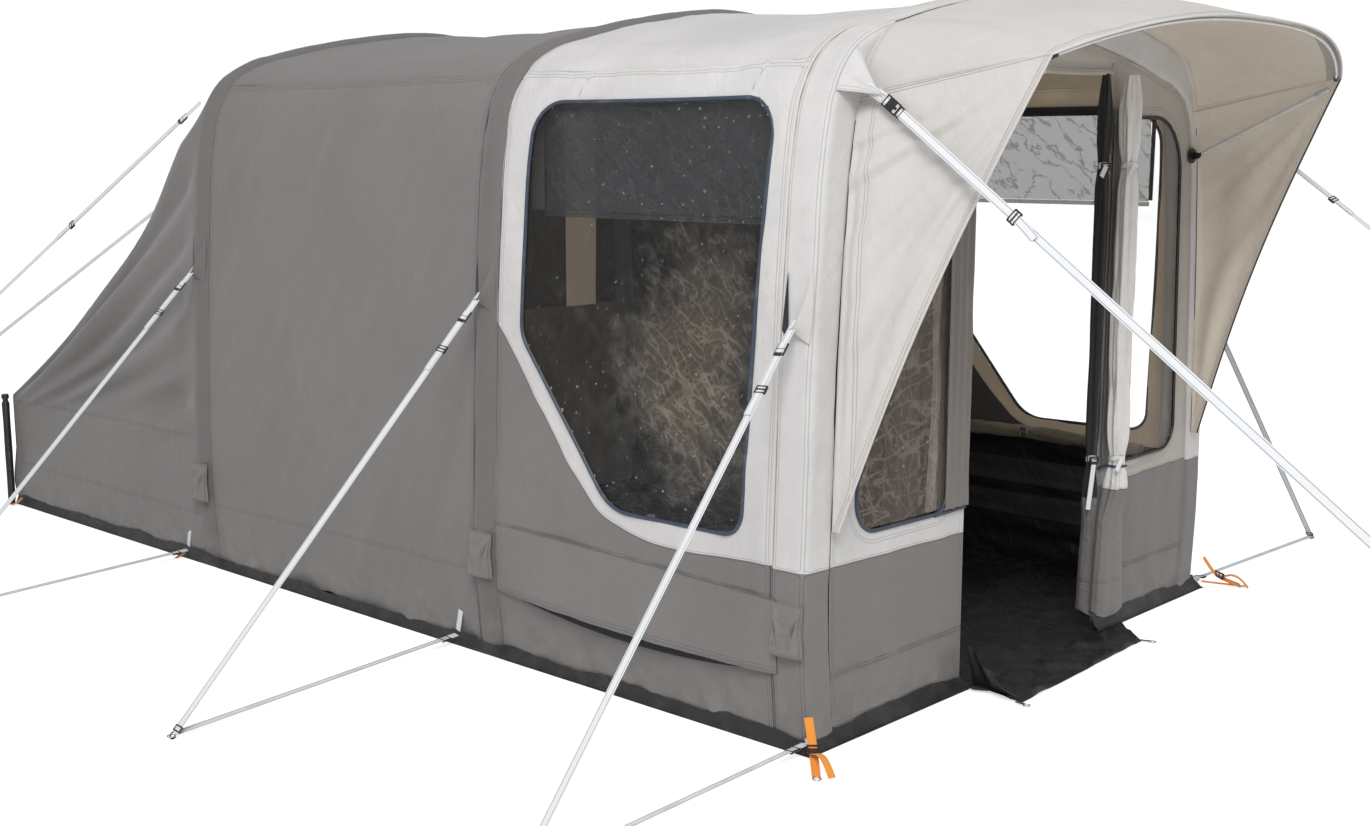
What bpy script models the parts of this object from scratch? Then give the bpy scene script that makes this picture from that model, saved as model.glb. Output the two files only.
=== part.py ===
"""Inflatable family tent.

Three arched air beams, each in a fabric sleeve, carry a sewn flysheet. The front bay is
pale, with a big window in each side. The rear bay is dark, and a bedroom end slopes down
behind it to a low wall with a pole at each corner. A canopy with two side wings stands out
over the tied-back front door on two hinged struts. Guy straps run from the arches to pegs.

Metres, +Z up. The door faces -Y, and the origin is on the ground in the middle of the floor.
"""

import math

import bmesh
import bpy
import numpy as np
from mathutils import Matrix, Vector

# Driving dimensions of the tent
RIDGE_HEIGHT = 2.08
FOOT_HALF_WIDTH = 1.145
FABRIC = 0.003
FLOOR_THICKNESS = 0.004
SEAM_GAP = 0.001
BASE_CLEARANCE = 0.001

FRONT_Y = -2.33
REAR_Y = 2.34
FACE_Y = FRONT_Y + 0.03
WALL_FOOT_Z = FLOOR_THICKNESS + BASE_CLEARANCE

# Half of the arch outline, as distance from the middle and height, foot to ridge
HALF_OUTLINE = (
    (FOOT_HALF_WIDTH, 0.0),
    (1.168, 0.30),
    (1.158, 0.80),
    (1.128, 1.35),
    (1.100, 1.62),
    (1.066, 1.760),
    (0.998, 1.860),
    (0.890, 1.925),
    (0.750, 1.965),
    (0.420, 2.035),
    (0.0, RIDGE_HEIGHT),
)
EAVE_HEIGHT = 1.845
OUTLINE_LENGTH = 5.9
TENT_MIDDLE = (0.0, 0.0, 0.8)

# Air beams and their sleeves
MIDDLE_ARCH_Y = -1.00
REAR_ARCH_Y = 0.68
ROUND_SLEEVE_RADIUS = 0.075
ROUND_SLEEVE_DEPTH = 0.055
FRONT_SLEEVE_WIDTH = 0.115
FRONT_SLEEVE_DEPTH = 0.12
FRONT_SLEEVE_CORNER = 0.030
SLEEVE_CLOTH = 0.0025
BEAM_CLEARANCE = 0.0025
ARCH_SIDES = 12
ARCH_RINGS = 28
FRONT_ARCH_Y = FACE_Y + FRONT_SLEEVE_WIDTH / 2
ROUND_SLEEVE_PROUD = ROUND_SLEEVE_RADIUS - ROUND_SLEEVE_DEPTH
ROUND_SLEEVE_HALF_SEAT = 0.0565

# Flysheet bays, and how far the cloth draws in between two arches
FRONT_BAY = (FACE_Y + FRONT_SLEEVE_WIDTH + SEAM_GAP, MIDDLE_ARCH_Y - ROUND_SLEEVE_HALF_SEAT)
REAR_BAY = (MIDDLE_ARCH_Y + ROUND_SLEEVE_HALF_SEAT, REAR_ARCH_Y - ROUND_SLEEVE_HALF_SEAT)
WALL_DRAW = 0.010
ROOF_DRAW = 0.022

# Side windows: corners as (y, z), with the radius of each corner
SIDE_WINDOW = (
    (-2.125, 1.750, 0.110),
    (-2.075, 0.565, 0.070),
    (-1.560, 0.560, 0.160),
    (-1.165, 1.050, 0.120),
    (-1.170, 1.754, 0.110),
)
WINDOW_FIT = 0.0015

# Window blinds inside the side windows
BLIND_X = 1.038
BLIND_Y = (-2.110, -1.165)
BLIND_TOP_Z = 1.735
BLIND_FOOT_Z = 1.4255
BLIND_CLOTH = 0.003
BLIND_FOLD = 0.0035
BLIND_FOLDS = 7
BLIND_BAR = (0.012, 0.016)
BLIND_BAR_CORNER = 0.004

# Front wall, door opening and front windows
FRONT_WALL_INSET = FRONT_SLEEVE_DEPTH + 0.002
FRONT_WALL_Y = FACE_Y + 0.010
FRONT_WALL_CUT = 0.05
DOOR_LEFT_X = -0.40
DOOR_RIGHT_X = 0.40
DOOR_TOP_Z = 1.80
FRONT_WINDOW = (
    (0.500, 1.715, 0.050),
    (0.500, 0.560, 0.050),
    (0.940, 0.565, 0.090),
    (0.890, 1.720, 0.190),
)

# Doors, rolled up and tied back beside the opening
DOOR_ROLLS = {
    "door_mesh_roll": {
        "x": 0.362, "y": FACE_Y + 0.010, "radius": 0.024, "top": 1.790, "foot": 0.075, "folds": 4,
    },
    "door_outer_roll": {
        "x": 0.428, "y": FACE_Y - 0.048, "radius": 0.038, "top": 1.785, "foot": 0.085, "folds": 5,
    },
}
ROLL_TIES = (1.56, 0.60)
ROLL_TIE_REACH = 0.05
ROLL_PINCH = 0.28
ROLL_FLARE = 0.20
ROLL_FLARE_TOP_Z = 0.50
ROLL_FOLD = 0.10
ROLL_TWIST = 1.5
ROLL_FLATNESS = 0.8
ROLL_SIDES = 16

# Floor: the apron under the door, and the peg tabs at the front corners
FLOOR_HALF_WIDTH = 1.172
FLOOR_REAR_Y = REAR_Y + 0.008
TAB_REACH = 0.105
TAB_WIDTH = 0.024
APRON_LEFT_X = -0.385
APRON_RIGHT_X = 0.400
APRON_END_X = 0.560
APRON_LEFT_REACH = 0.215
APRON_RIGHT_REACH = 0.152
APRON_LOOP = 0.025

# Bedroom end: height of its shoulder seam at distances behind the rear arch
BEDROOM_START_Y = REAR_ARCH_Y + ROUND_SLEEVE_HALF_SEAT + FABRIC
BEDROOM_SHOULDER = (
    (BEDROOM_START_Y, EAVE_HEIGHT),
    (1.14, 1.410),
    (1.66, 1.018),
    (2.10, 0.680),
    (REAR_Y, 0.505),
)
END_WALL_STEPS = (0.12, 0.30, 0.60, 1.0)
CORNER_POLE = {"radius": 0.014, "height": 0.515, "x": 1.191, "y": REAR_Y - 0.005}

# Canopy: its front rim stands out over the door
RIM_HALF_WIDTH = 0.90
RIM_REACH = 0.675
RIM_TIP_REACH = 0.530
RIM_MIDDLE_Z = 1.968
RIM_TIP_Z = 1.840
RIM_POWER = 2.6
CANOPY_CROWN = 0.020
CANOPY_SIDE_Z = 1.790
CANOPY_GAP = 0.003
SHOULDER_SHARE = 0.75
RIM_POLE_RADIUS = 0.005
RIM_POLE_SPREAD = 0.96
RIM_POLE_INSET = 0.985
RIM_POLE_OFFSET = (0.0, 0.018, -0.0125)
WING_INSET = 0.105
WING_FOOT_Z = 0.60
WING_FOOT_REACH = 0.025
WING_EDGE_HOLLOW = 0.035
WING_FOLD = 0.010
WING_SEAM = 0.0015

# Canopy struts, hinged in boots on the front arch
BOOT_X = 0.965
BOOT_Z = 1.590
STRUT_TIP_X = 0.880
STRUT_TIP_REACH = 0.500
STRUT_TIP_Z = 1.803
STRUT_RADIUS = 0.005
EYE_RADIUS = 0.011
EYE_THICKNESS = 0.006
NECK_LENGTH = 0.020
NECK_OVERLAP = 0.004
PIN_RADIUS = 0.003
PIN_CLEARANCE = 0.0007
CHEEK_GAP = 0.001
CHEEK_THICKNESS = 0.004
BOOT_PLATE_RADIUS = 0.026
BOOT_PLATE_THICKNESS = 0.006
BOOT_PIN_STAND = 0.022
BOOT_PLATE_GAP = 0.0008
CHEEK_NOSE = 0.010
CHEEK_ROOT = 0.012

# Inflation valves, at the left foot of each arch
VALVE_Z = 0.335
VALVE_RADIUS = 0.016
VALVE_HOLE_RADIUS = 0.021
VALVE_STAND = 0.008
CAP_RADIUS = 0.0195
CAP_LOBE = 0.0012
CAP_LOBES = 8
CAP_HEIGHT = 0.0135
CAP_RECESS = 0.0090
CAP_BEVEL = 0.0025
CAP_CLEARANCE = 0.0008
CAP_STAND_OFF = 0.001
COVER_WIDTH = 0.112
COVER_HEIGHT = 0.150
COVER_DEPTH = 0.026
COVER_DRAW = 0.012
COVER_TOP_Z = 0.412
COVER_CLOTH = 0.0025
COVER_CORNER = 0.012

# Guy straps, their pegs and their sliders
STRAP_WIDTH = 0.025
STRAP_THICKNESS = 0.0016
GUY_TOP_Z = 1.170
GUY_PEG_Z = 0.014
GUY_STAND_OFF = 0.004
GUY_LOW_Z = 0.030
STEP_RAMP = 0.0005
BUCKLE_SPAN = (0.075, 0.115)
BUCKLE_SIZE = (0.032, 0.007)
STORM_BUCKLE_SPAN = (0.030, 0.095)
STORM_BUCKLE_SIZE = (0.034, 0.012)
PEG_HEAD = (0.030, 0.006)
PEG_HEAD_REACH = 0.0295
SLIDER_PLACE = 0.225
STORM_SLIDER_PLACE = 0.520
SLIDER_LENGTH = 0.024
SLIDER_SIZE = (0.037, 0.009)
SLIDER_SLOT = (0.0275, 0.0042)
SLIDER_BEVEL = 0.003
STORM_TOP = (0.985, FACE_Y - 0.075, 1.755)
STORM_PEG = (1.020, FACE_Y - 2.450, GUY_PEG_Z)
REAR_PEG = (2.300, 2.420, GUY_PEG_Z)
REAR_GUY_TOP_Z = 1.790
REAR_GUY_LOW_Y = 1.19
REAR_GUY_STAND_OFF = 0.022


def remove_all():
    """Empty the scene that the script is run in."""
    for thing in list(bpy.data.objects):
        bpy.data.objects.remove(thing)


# Curves


def smooth_curve(points, count):
    """Return count points on one smooth curve through the given points."""
    points = np.array(points, float)
    chord = np.concatenate([[0], np.cumsum(np.linalg.norm(np.diff(points, axis=0), axis=1))])
    slope = np.gradient(points, chord, axis=0)
    wanted = np.linspace(0, chord[-1], count)
    index = np.clip(np.searchsorted(chord, wanted, side="right") - 1, 0, len(chord) - 2)
    step = (chord[index + 1] - chord[index])[:, None]
    t = (wanted - chord[index])[:, None] / step
    start, end = points[index], points[index + 1]
    rise = 2 * t**3 - 3 * t**2 + 1
    return (
        rise * start
        + (1 - rise) * end
        + (t**3 - 2 * t**2 + t) * step * slope[index]
        + (t**3 - t**2) * step * slope[index + 1]
    )


def arch_outline():
    """Return the arch outline, left foot to right foot, with its outward normals."""
    left = [(-x, z) for x, z in HALF_OUTLINE]
    right = [(x, z) for x, z in reversed(HALF_OUTLINE[:-1])]
    line = smooth_curve(left + right, 1201)
    along = np.gradient(line, axis=0)
    along /= np.linalg.norm(along, axis=1)[:, None]
    normal = np.stack([-along[:, 1], along[:, 0]], axis=1)
    length = np.concatenate([[0], np.cumsum(np.linalg.norm(np.diff(line, axis=0), axis=1))])
    return line, normal, length / length[-1]


ARCH_LINE, ARCH_NORMAL, ARCH_STATION = arch_outline()


def arch_at(station):
    """Return x, z and the outward normal at a station from 0, left foot, to 1, right foot."""
    x, z, nx, nz = (
        float(np.interp(station, ARCH_STATION, column))
        for column in (ARCH_LINE[:, 0], ARCH_LINE[:, 1], ARCH_NORMAL[:, 0], ARCH_NORMAL[:, 1])
    )
    if z < WALL_FOOT_Z + 0.002:
        return x, z, math.copysign(1.0, x), 0.0
    size = math.hypot(nx, nz)
    return x, z, nx / size, nz / size


def station_at_height(z):
    """Return the station on the left half of the arch at a height."""
    half = len(ARCH_STATION) // 2 + 1
    return float(np.interp(z, ARCH_LINE[:half, 1], ARCH_STATION[:half]))


def half_width(z, inset=0.0):
    """Return the distance from the middle to the arch outline, at a height and an inset."""
    heights, widths = [], []
    for station in np.linspace(0, 0.5, 240):
        x, y, nx, ny = arch_at(station)
        heights.append(y - ny * inset)
        widths.append(-(x - nx * inset))
    return float(np.interp(z, heights, widths))


def spread_stations(start, end, count):
    """Return stations that lie closer together where the arch bends."""
    fine = np.linspace(start, end, 400)
    places = np.array([arch_at(s) for s in fine])
    turn = np.unwrap(np.arctan2(places[:, 3], places[:, 2]))
    run = np.linalg.norm(np.diff(places[:, :2], axis=0), axis=1)
    weight = np.concatenate([[0], np.cumsum(run + 0.8 * np.abs(np.diff(turn)))])
    return np.interp(np.linspace(0, weight[-1], count), weight, fine)


FOOT_STATION = station_at_height(WALL_FOOT_Z)
EAVE_STATION = station_at_height(EAVE_HEIGHT)
STATION_GAP = SEAM_GAP / OUTLINE_LENGTH


# Materials and objects


def material(name, color, roughness=0.8, metallic=0.0, alpha=1.0):
    """Make one Principled material."""
    made = bpy.data.materials.new(name)
    made.use_nodes = True
    shader = made.node_tree.nodes["Principled BSDF"]
    shader.inputs["Base Color"].default_value = (*color, 1.0)
    shader.inputs["Roughness"].default_value = roughness
    shader.inputs["Metallic"].default_value = metallic
    shader.inputs["Alpha"].default_value = alpha
    return made


def pale_cloth():
    return material("pale polyester", (0.68, 0.66, 0.64))


def dark_cloth():
    return material("dark grey polyester", (0.20, 0.19, 0.18))


def canopy_cloth():
    return material("warm pale polyester", (0.63, 0.58, 0.53))


def black_cloth():
    return material("black coated sheet", (0.03, 0.03, 0.03), 0.6)


def clear_film():
    return material("clear window film", (0.75, 0.78, 0.80), 0.1, alpha=0.35)


def blind_cloth():
    return material("charcoal blind cloth", (0.07, 0.075, 0.085))


def black_plastic():
    return material("black moulded plastic", (0.02, 0.02, 0.02), 0.4)


def beam_film():
    return material("air beam film", (0.55, 0.56, 0.58), 0.3)


def grey_alloy():
    return material("grey alloy tube", (0.45, 0.45, 0.46), 0.35, 0.9)


def white_webbing():
    return material("white webbing", (0.80, 0.81, 0.82))


def mesh_cloth():
    return material("black insect mesh", (0.04, 0.04, 0.04), 0.9)


def add_object(name, bm, finish, origin=(0, 0, 0), smooth=40):
    """Turn a bmesh into a named object, with its origin at a point."""
    bmesh.ops.recalc_face_normals(bm, faces=bm.faces)
    bmesh.ops.translate(bm, verts=bm.verts, vec=-Vector(origin))
    data = bpy.data.meshes.new(name)
    bm.to_mesh(data)
    bm.free()
    data.shade_smooth()
    data.set_sharp_from_angle(angle=math.radians(smooth))
    data.materials.append(finish)
    thing = bpy.data.objects.new(name, data)
    thing.location = origin
    bpy.context.scene.collection.objects.link(thing)
    return thing


def add_cutter(name, bm):
    """Add a hidden solid that a Boolean uses."""
    thing = add_object(name, bm, black_plastic())
    thing.hide_render = True
    thing.display_type = "WIRE"
    return thing


def boolean(thing, other, operation):
    """Cut, join or intersect an object with a hidden solid."""
    step = thing.modifiers.new(operation.title(), "BOOLEAN")
    step.operation = operation
    step.solver = "EXACT"
    step.object = other


# Mesh forms


def loft(loops, cyclic=False):
    """Join equal closed loops of points into one skin, closed by end faces or onto itself."""
    bm = bmesh.new()
    rings = [[bm.verts.new(p) for p in loop] for loop in loops]
    size = len(rings[0])
    pairs = list(zip(rings, rings[1:]))
    if cyclic:
        pairs.append((rings[-1], rings[0]))
    for first, second in pairs:
        for i in range(size):
            j = (i + 1) % size
            bm.faces.new((first[i], first[j], second[j], second[i]))
    if not cyclic:
        bm.faces.new(reversed(rings[0]))
        bm.faces.new(rings[-1])
    return bm


def grid_normals(grid):
    """Return a grid's points as an array, with the unit normal at each."""
    places = np.array([[tuple(p) for p in row] for row in grid])
    normal = np.cross(np.gradient(places, axis=0), np.gradient(places, axis=1))
    normal /= np.linalg.norm(normal, axis=2)[:, :, None]
    return places, normal


def sheet_solid(grid, thickness):
    """Give a grid of points a thickness towards the tent's middle, and close its edges."""
    places, normal = grid_normals(grid)
    rows, columns = places.shape[:2]
    outward = places[rows // 2, columns // 2] - np.array(TENT_MIDDLE)
    if np.dot(normal[rows // 2, columns // 2], outward) < 0:
        normal = -normal
    inner = places - normal * thickness
    bm = bmesh.new()
    front = [[bm.verts.new(p) for p in row] for row in places]
    back = [[bm.verts.new(p) for p in row] for row in inner]
    for i in range(rows - 1):
        for j in range(columns - 1):
            bm.faces.new((front[i][j], front[i + 1][j], front[i + 1][j + 1], front[i][j + 1]))
            bm.faces.new((back[i][j], back[i][j + 1], back[i + 1][j + 1], back[i + 1][j]))
    rim = [(i, 0) for i in range(rows)]
    rim += [(rows - 1, j) for j in range(1, columns)]
    rim += [(i, columns - 1) for i in range(rows - 2, -1, -1)]
    rim += [(0, j) for j in range(columns - 2, 0, -1)]
    for (a, b), (c, d) in zip(rim, rim[1:] + rim[:1]):
        bm.faces.new((front[a][b], back[a][b], back[c][d], front[c][d]))
    return bm


def prism(outline, to_point, near, far):
    """Extrude a flat outline between two depths; to_point turns (u, v, depth) into a place."""
    return loft([[to_point(u, v, depth) for u, v in outline] for depth in (near, far)])


def upright_point(u, v, depth):
    """Return a point of an upright outline that is drawn across the tent."""
    return Vector((u, depth, v))


def rounded_outline(corners, steps=5, grow=0.0):
    """Return the outline of a polygon whose corners are rounded, grown by a distance."""
    points = [Vector((a, b)) for a, b, _ in corners]
    centre = sum(points, Vector((0, 0))) / len(points)
    outline = []
    for i, (_, _, radius) in enumerate(corners):
        here, before, after = points[i], points[i - 1], points[(i + 1) % len(points)]
        back = (before - here).normalized()
        ahead = (after - here).normalized()
        half = back.angle(ahead) / 2
        pull = radius / math.tan(half)
        start, end = here + back * pull, here + ahead * pull
        hub = here + (back + ahead).normalized() * radius / math.sin(half)
        for k in range(steps + 1):
            share = k / steps
            ray = (start - hub).lerp(end - hub, share).normalized() * radius
            outline.append(hub + ray)
    if grow:
        outline = [p + (p - centre).normalized() * grow for p in outline]
    return [tuple(p) for p in outline]


def round_loop(radius, sides, turn=0.0):
    """Return a circle of (across, along) pairs."""
    angles = [2 * math.pi * (i + turn) / sides for i in range(sides)]
    return [(radius * math.cos(a), radius * math.sin(a)) for a in angles]


def cylinder(start, end, radius, sides=12):
    """Return a straight round bar between two points."""
    start, end = Vector(start), Vector(end)
    turn = (end - start).to_track_quat("Z", "Y")
    ring = [turn @ Vector((a, b, 0)) for a, b in round_loop(radius, sides)]
    return loft([[start + p for p in ring], [end + p for p in ring]])


# Arches


def front_sleeve_loop(shrink=0.0):
    """Return the squarish section of the front sleeve as (inset, y) pairs."""
    half = FRONT_SLEEVE_WIDTH / 2
    corners = (
        (shrink, half - shrink, FRONT_SLEEVE_CORNER),
        (shrink, shrink - half, FRONT_SLEEVE_CORNER),
        (FRONT_SLEEVE_DEPTH - shrink, shrink - half, FRONT_SLEEVE_CORNER),
        (FRONT_SLEEVE_DEPTH - shrink, half - shrink, FRONT_SLEEVE_CORNER),
    )
    return rounded_outline(corners, steps=2)


def round_sleeve_loop(shrink=0.0):
    """Return the round section of the middle and rear sleeves as (inset, y) pairs."""
    loop = round_loop(ROUND_SLEEVE_RADIUS - shrink, ARCH_SIDES, 0.5)
    return [(ROUND_SLEEVE_DEPTH + a, b) for a, b in loop]


def arch_rings(section, arch_y, foot_z):
    """Carry a section of (inset, y) pairs along the arch."""
    foot = station_at_height(foot_z)
    rings = []
    for station in spread_stations(foot, 1 - foot, ARCH_RINGS):
        x, z, nx, nz = arch_at(station)
        rings.append([Vector((x - nx * a, arch_y + b, z - nz * a)) for a, b in section])
    return rings


ARCHES = {
    "front": {"y": FRONT_ARCH_Y, "section": front_sleeve_loop, "proud": 0.0},
    "middle": {"y": MIDDLE_ARCH_Y, "section": round_sleeve_loop, "proud": ROUND_SLEEVE_PROUD},
    "rear": {"y": REAR_ARCH_Y, "section": round_sleeve_loop, "proud": ROUND_SLEEVE_PROUD},
}


def valve_crown(arch):
    """Return the x of the sleeve's outermost cloth at the valve, on the left side."""
    return -half_width(VALVE_Z) - arch["proud"]


def valve_bar(arch, near, far, radius):
    """Return a round bar on the valve's axis, between two depths from the sleeve's cloth."""
    crown = valve_crown(arch)
    start = (crown + near, arch["y"], VALVE_Z)
    end = (crown + far, arch["y"], VALVE_Z)
    return cylinder(start, end, radius)


def build_sleeve(name, arch):
    """Build the fabric sleeve, open at both feet, with a port over the valve."""
    outer = arch_rings(arch["section"](), arch["y"], WALL_FOOT_Z)
    inner = arch_rings(arch["section"](SLEEVE_CLOTH), arch["y"], WALL_FOOT_Z)
    finish = pale_cloth() if name == "front" else dark_cloth()
    sleeve = add_object(f"sleeve_{name}", loft(outer + inner[::-1], cyclic=True), finish)
    port = valve_bar(arch, -0.020, 0.025, VALVE_HOLE_RADIUS)
    boolean(sleeve, add_cutter(f"valve_port_cut_{name}", port), "DIFFERENCE")


def build_beam(name, arch):
    """Build the air beam with its welded valve stem."""
    gap = SLEEVE_CLOTH + BEAM_CLEARANCE
    if name == "front":
        middle = FRONT_SLEEVE_DEPTH / 2
        section = [(middle + a, b) for a, b in round_loop(middle - gap, ARCH_SIDES, 0.5)]
    else:
        section = arch["section"](gap)
    rings = arch_rings(section, arch["y"], WALL_FOOT_Z + 0.004)
    beam = add_object(f"air_beam_{name}", loft(rings), beam_film())
    stem = valve_bar(arch, -VALVE_STAND, 0.050, VALVE_RADIUS)
    boolean(beam, add_cutter(f"valve_stem_{name}", stem), "UNION")


def build_valve_cap(name, arch):
    """Build the lobed screw cap that turns on the valve stem."""
    start = valve_crown(arch) - CAP_STAND_OFF
    sides = CAP_LOBES * 3
    bore = VALVE_RADIUS + CAP_CLEARANCE

    def ring(x, radius, lobe):
        places = []
        for i in range(sides):
            angle = 2 * math.pi * i / sides
            size = radius + lobe * math.cos(CAP_LOBES * angle)
            places.append(Vector((x, arch["y"] + size * math.cos(angle), VALVE_Z + size * math.sin(angle))))
        return places

    loops = [
        ring(start - CAP_HEIGHT, CAP_RADIUS - CAP_BEVEL, 0.0),
        ring(start - CAP_HEIGHT + CAP_BEVEL, CAP_RADIUS, CAP_LOBE),
        ring(start, CAP_RADIUS, CAP_LOBE),
        ring(start, bore, 0.0),
        ring(start - CAP_RECESS, bore, 0.0),
    ]
    add_object(f"valve_cap_{name}", loft(loops), black_plastic(), (start, arch["y"], VALVE_Z))


def build_valve_cover(name, arch):
    """Build the puffed fabric cover that hangs over the valve from its top seam."""
    seat = valve_crown(arch) - CAP_STAND_OFF
    half = COVER_WIDTH / 2
    foot = COVER_TOP_Z - COVER_HEIGHT

    def ring(x, draw):
        corners = (
            (half - draw, COVER_TOP_Z - draw, COVER_CORNER),
            (half - draw, foot + draw, COVER_CORNER),
            (draw - half, foot + draw, COVER_CORNER),
            (draw - half, COVER_TOP_Z - draw, COVER_CORNER),
        )
        return [Vector((x, arch["y"] + a, b)) for a, b in rounded_outline(corners, steps=2)]

    loops = [
        ring(seat - COVER_DEPTH, COVER_DRAW * 1.6),
        ring(seat - COVER_DEPTH * 0.85, COVER_DRAW * 0.6),
        ring(seat, 0.0),
        ring(seat, COVER_CLOTH),
        ring(seat - COVER_DEPTH * 0.85 + COVER_CLOTH, COVER_DRAW * 0.6 + COVER_CLOTH),
        ring(seat - COVER_DEPTH + COVER_CLOTH, COVER_DRAW * 1.6 + COVER_CLOTH),
    ]
    finish = pale_cloth() if name == "front" else dark_cloth()
    add_object(f"valve_cover_{name}", loft(loops), finish, (seat, arch["y"], COVER_TOP_Z))


def build_arches():
    """Build the three arches: each a sleeve, its air beam, and the valve's cap and cover."""
    for name, arch in ARCHES.items():
        build_sleeve(name, arch)
        build_beam(name, arch)
        build_valve_cap(name, arch)
        build_valve_cover(name, arch)


# Flysheet


def drawn_point(station, y, bay, draw):
    """Return a point of the flysheet, drawn in between its two arches."""
    x, z, nx, nz = arch_at(station)
    share = (y - bay[0]) / (bay[1] - bay[0])
    inset = draw * math.sin(math.pi * share)
    return Vector((x - nx * inset, y, z - nz * inset))


def mirrored(bm, side):
    """Turn a left-hand shape into a right-hand one when side is +1."""
    if side > 0:
        bmesh.ops.scale(bm, verts=bm.verts, vec=(-1, 1, 1))
    return bm


SIDES = {"left": -1, "right": 1}


def wall_solid(bay, rows, columns):
    """Return the left side wall of a bay, foot to eave."""
    stations = spread_stations(FOOT_STATION, EAVE_STATION - STATION_GAP, rows)
    lengths = np.linspace(*bay, columns)
    grid = [[drawn_point(s, y, bay, WALL_DRAW) for y in lengths] for s in stations]
    return sheet_solid(grid, FABRIC)


def build_roof(name, bay, finish):
    """Build the roof panel of a bay, eave to eave."""
    stations = spread_stations(EAVE_STATION + STATION_GAP, 1 - EAVE_STATION - STATION_GAP, 15)
    grid = [[drawn_point(s, y, bay, ROOF_DRAW) for y in np.linspace(*bay, 6)] for s in stations]
    add_object(name, sheet_solid(grid, FABRIC), finish)


def side_prism(corners, grow):
    """Return a solid through the left wall in the shape of the side window."""
    outline = rounded_outline(corners, grow=grow)
    return prism(outline, lambda u, v, depth: Vector((depth, u, v)), -1.40, -0.90)


def build_side_walls():
    """Build the four side walls, and the film in the two side windows."""
    for side, sign in SIDES.items():
        front = mirrored(wall_solid(FRONT_BAY, 12, 7), sign)
        rear = mirrored(wall_solid(REAR_BAY, 10, 6), sign)
        wall = add_object(f"wall_{side}_front", front, pale_cloth())
        add_object(f"wall_{side}_rear", rear, dark_cloth())
        hole = add_cutter(f"side_window_cut_{side}", mirrored(side_prism(SIDE_WINDOW, 0.0), sign))
        boolean(wall, hole, "DIFFERENCE")
        film = add_object(f"window_{side}", mirrored(wall_solid(FRONT_BAY, 12, 7), sign), clear_film())
        inside = mirrored(side_prism(SIDE_WINDOW, -WINDOW_FIT), sign)
        boolean(film, add_cutter(f"side_window_film_{side}", inside), "INTERSECT")


def build_blinds():
    """Build the half-raised blind in each side window, and the bar along its foot."""
    half = BLIND_BAR[0] / 2
    top = BLIND_FOOT_Z - SEAM_GAP
    foot = top - BLIND_BAR[1]
    corners = (
        (-half, top, BLIND_BAR_CORNER),
        (-half, foot, BLIND_BAR_CORNER),
        (half, foot, BLIND_BAR_CORNER),
        (half, top, BLIND_BAR_CORNER),
    )
    section = [(u - BLIND_X, v) for u, v in rounded_outline(corners, steps=2)]
    for side, sign in SIDES.items():
        grid = []
        for z in np.linspace(BLIND_FOOT_Z, BLIND_TOP_Z, 4):
            line = []
            for y in np.linspace(*BLIND_Y, 17):
                share = (y - BLIND_Y[0]) / (BLIND_Y[1] - BLIND_Y[0])
                wave = BLIND_FOLD * math.sin(BLIND_FOLDS * math.pi * share)
                line.append(Vector((-BLIND_X + wave, y, z)))
            grid.append(line)
        solid = mirrored(sheet_solid(grid, BLIND_CLOTH), sign)
        add_object(f"blind_{side}", solid, blind_cloth())
        bar = mirrored(prism(section, upright_point, *BLIND_Y), sign)
        place = (sign * BLIND_X, sum(BLIND_Y) / 2, (top + foot) / 2)
        add_object(f"blind_bar_{side}", bar, blind_cloth(), place)


def front_edge(start, end, count):
    """Return the sleeve's inner edge line between two stations, as (x, z) pairs."""
    edge = []
    for station in np.linspace(start, end, count):
        x, z, nx, nz = arch_at(station)
        edge.append((x - nx * FRONT_WALL_INSET, z - nz * FRONT_WALL_INSET))
    return edge


def station_at_inset_x(x_wanted):
    """Return the station on the roof whose inset point lies at the given x."""
    stations = np.linspace(EAVE_STATION, 1 - EAVE_STATION, 600)
    places = [arch_at(s) for s in stations]
    widths = [x - nx * FRONT_WALL_INSET for x, _, nx, _ in places]
    return float(np.interp(x_wanted, widths, stations))


def build_front_wall():
    """Build the front wall on both sides of the door, its header and its two windows."""
    depth = (FRONT_WALL_Y, FRONT_WALL_Y + FABRIC)
    jamb_x = DOOR_LEFT_X
    left_end = station_at_inset_x(jamb_x)
    left = front_edge(FOOT_STATION, left_end, 16)
    left += [(jamb_x, WALL_FOOT_Z)]
    right = front_edge(1 - FOOT_STATION, station_at_inset_x(jamb_x + SEAM_GAP), 24)
    right += [(jamb_x + SEAM_GAP, DOOR_TOP_Z), (DOOR_RIGHT_X, DOOR_TOP_Z)]
    right += [(DOOR_RIGHT_X, WALL_FOOT_Z)]
    for side, outline in (("left", left), ("right", right)):
        panel = prism(outline, upright_point, *depth)
        wall = add_object(f"front_wall_{side}", panel, pale_cloth(), smooth=30)
        sign = SIDES[side]
        corners = [(sign * x, z, r) for x, z, r in FRONT_WINDOW]
        near, far = depth[0] - FRONT_WALL_CUT, depth[1] + FRONT_WALL_CUT
        hole = prism(rounded_outline(corners), upright_point, near, far)
        boolean(wall, add_cutter(f"front_window_cut_{side}", hole), "DIFFERENCE")
        film = prism(rounded_outline(corners, grow=-WINDOW_FIT), upright_point, *depth)
        add_object(f"front_window_{side}", film, clear_film(), smooth=30)


# Bedroom end


def bedroom_scale(y):
    """Return the height of the bedroom section as a share of the full arch."""
    line = smooth_curve(BEDROOM_SHOULDER, 200)
    return float(np.interp(y, line[:, 0], line[:, 1])) / EAVE_HEIGHT


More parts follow.
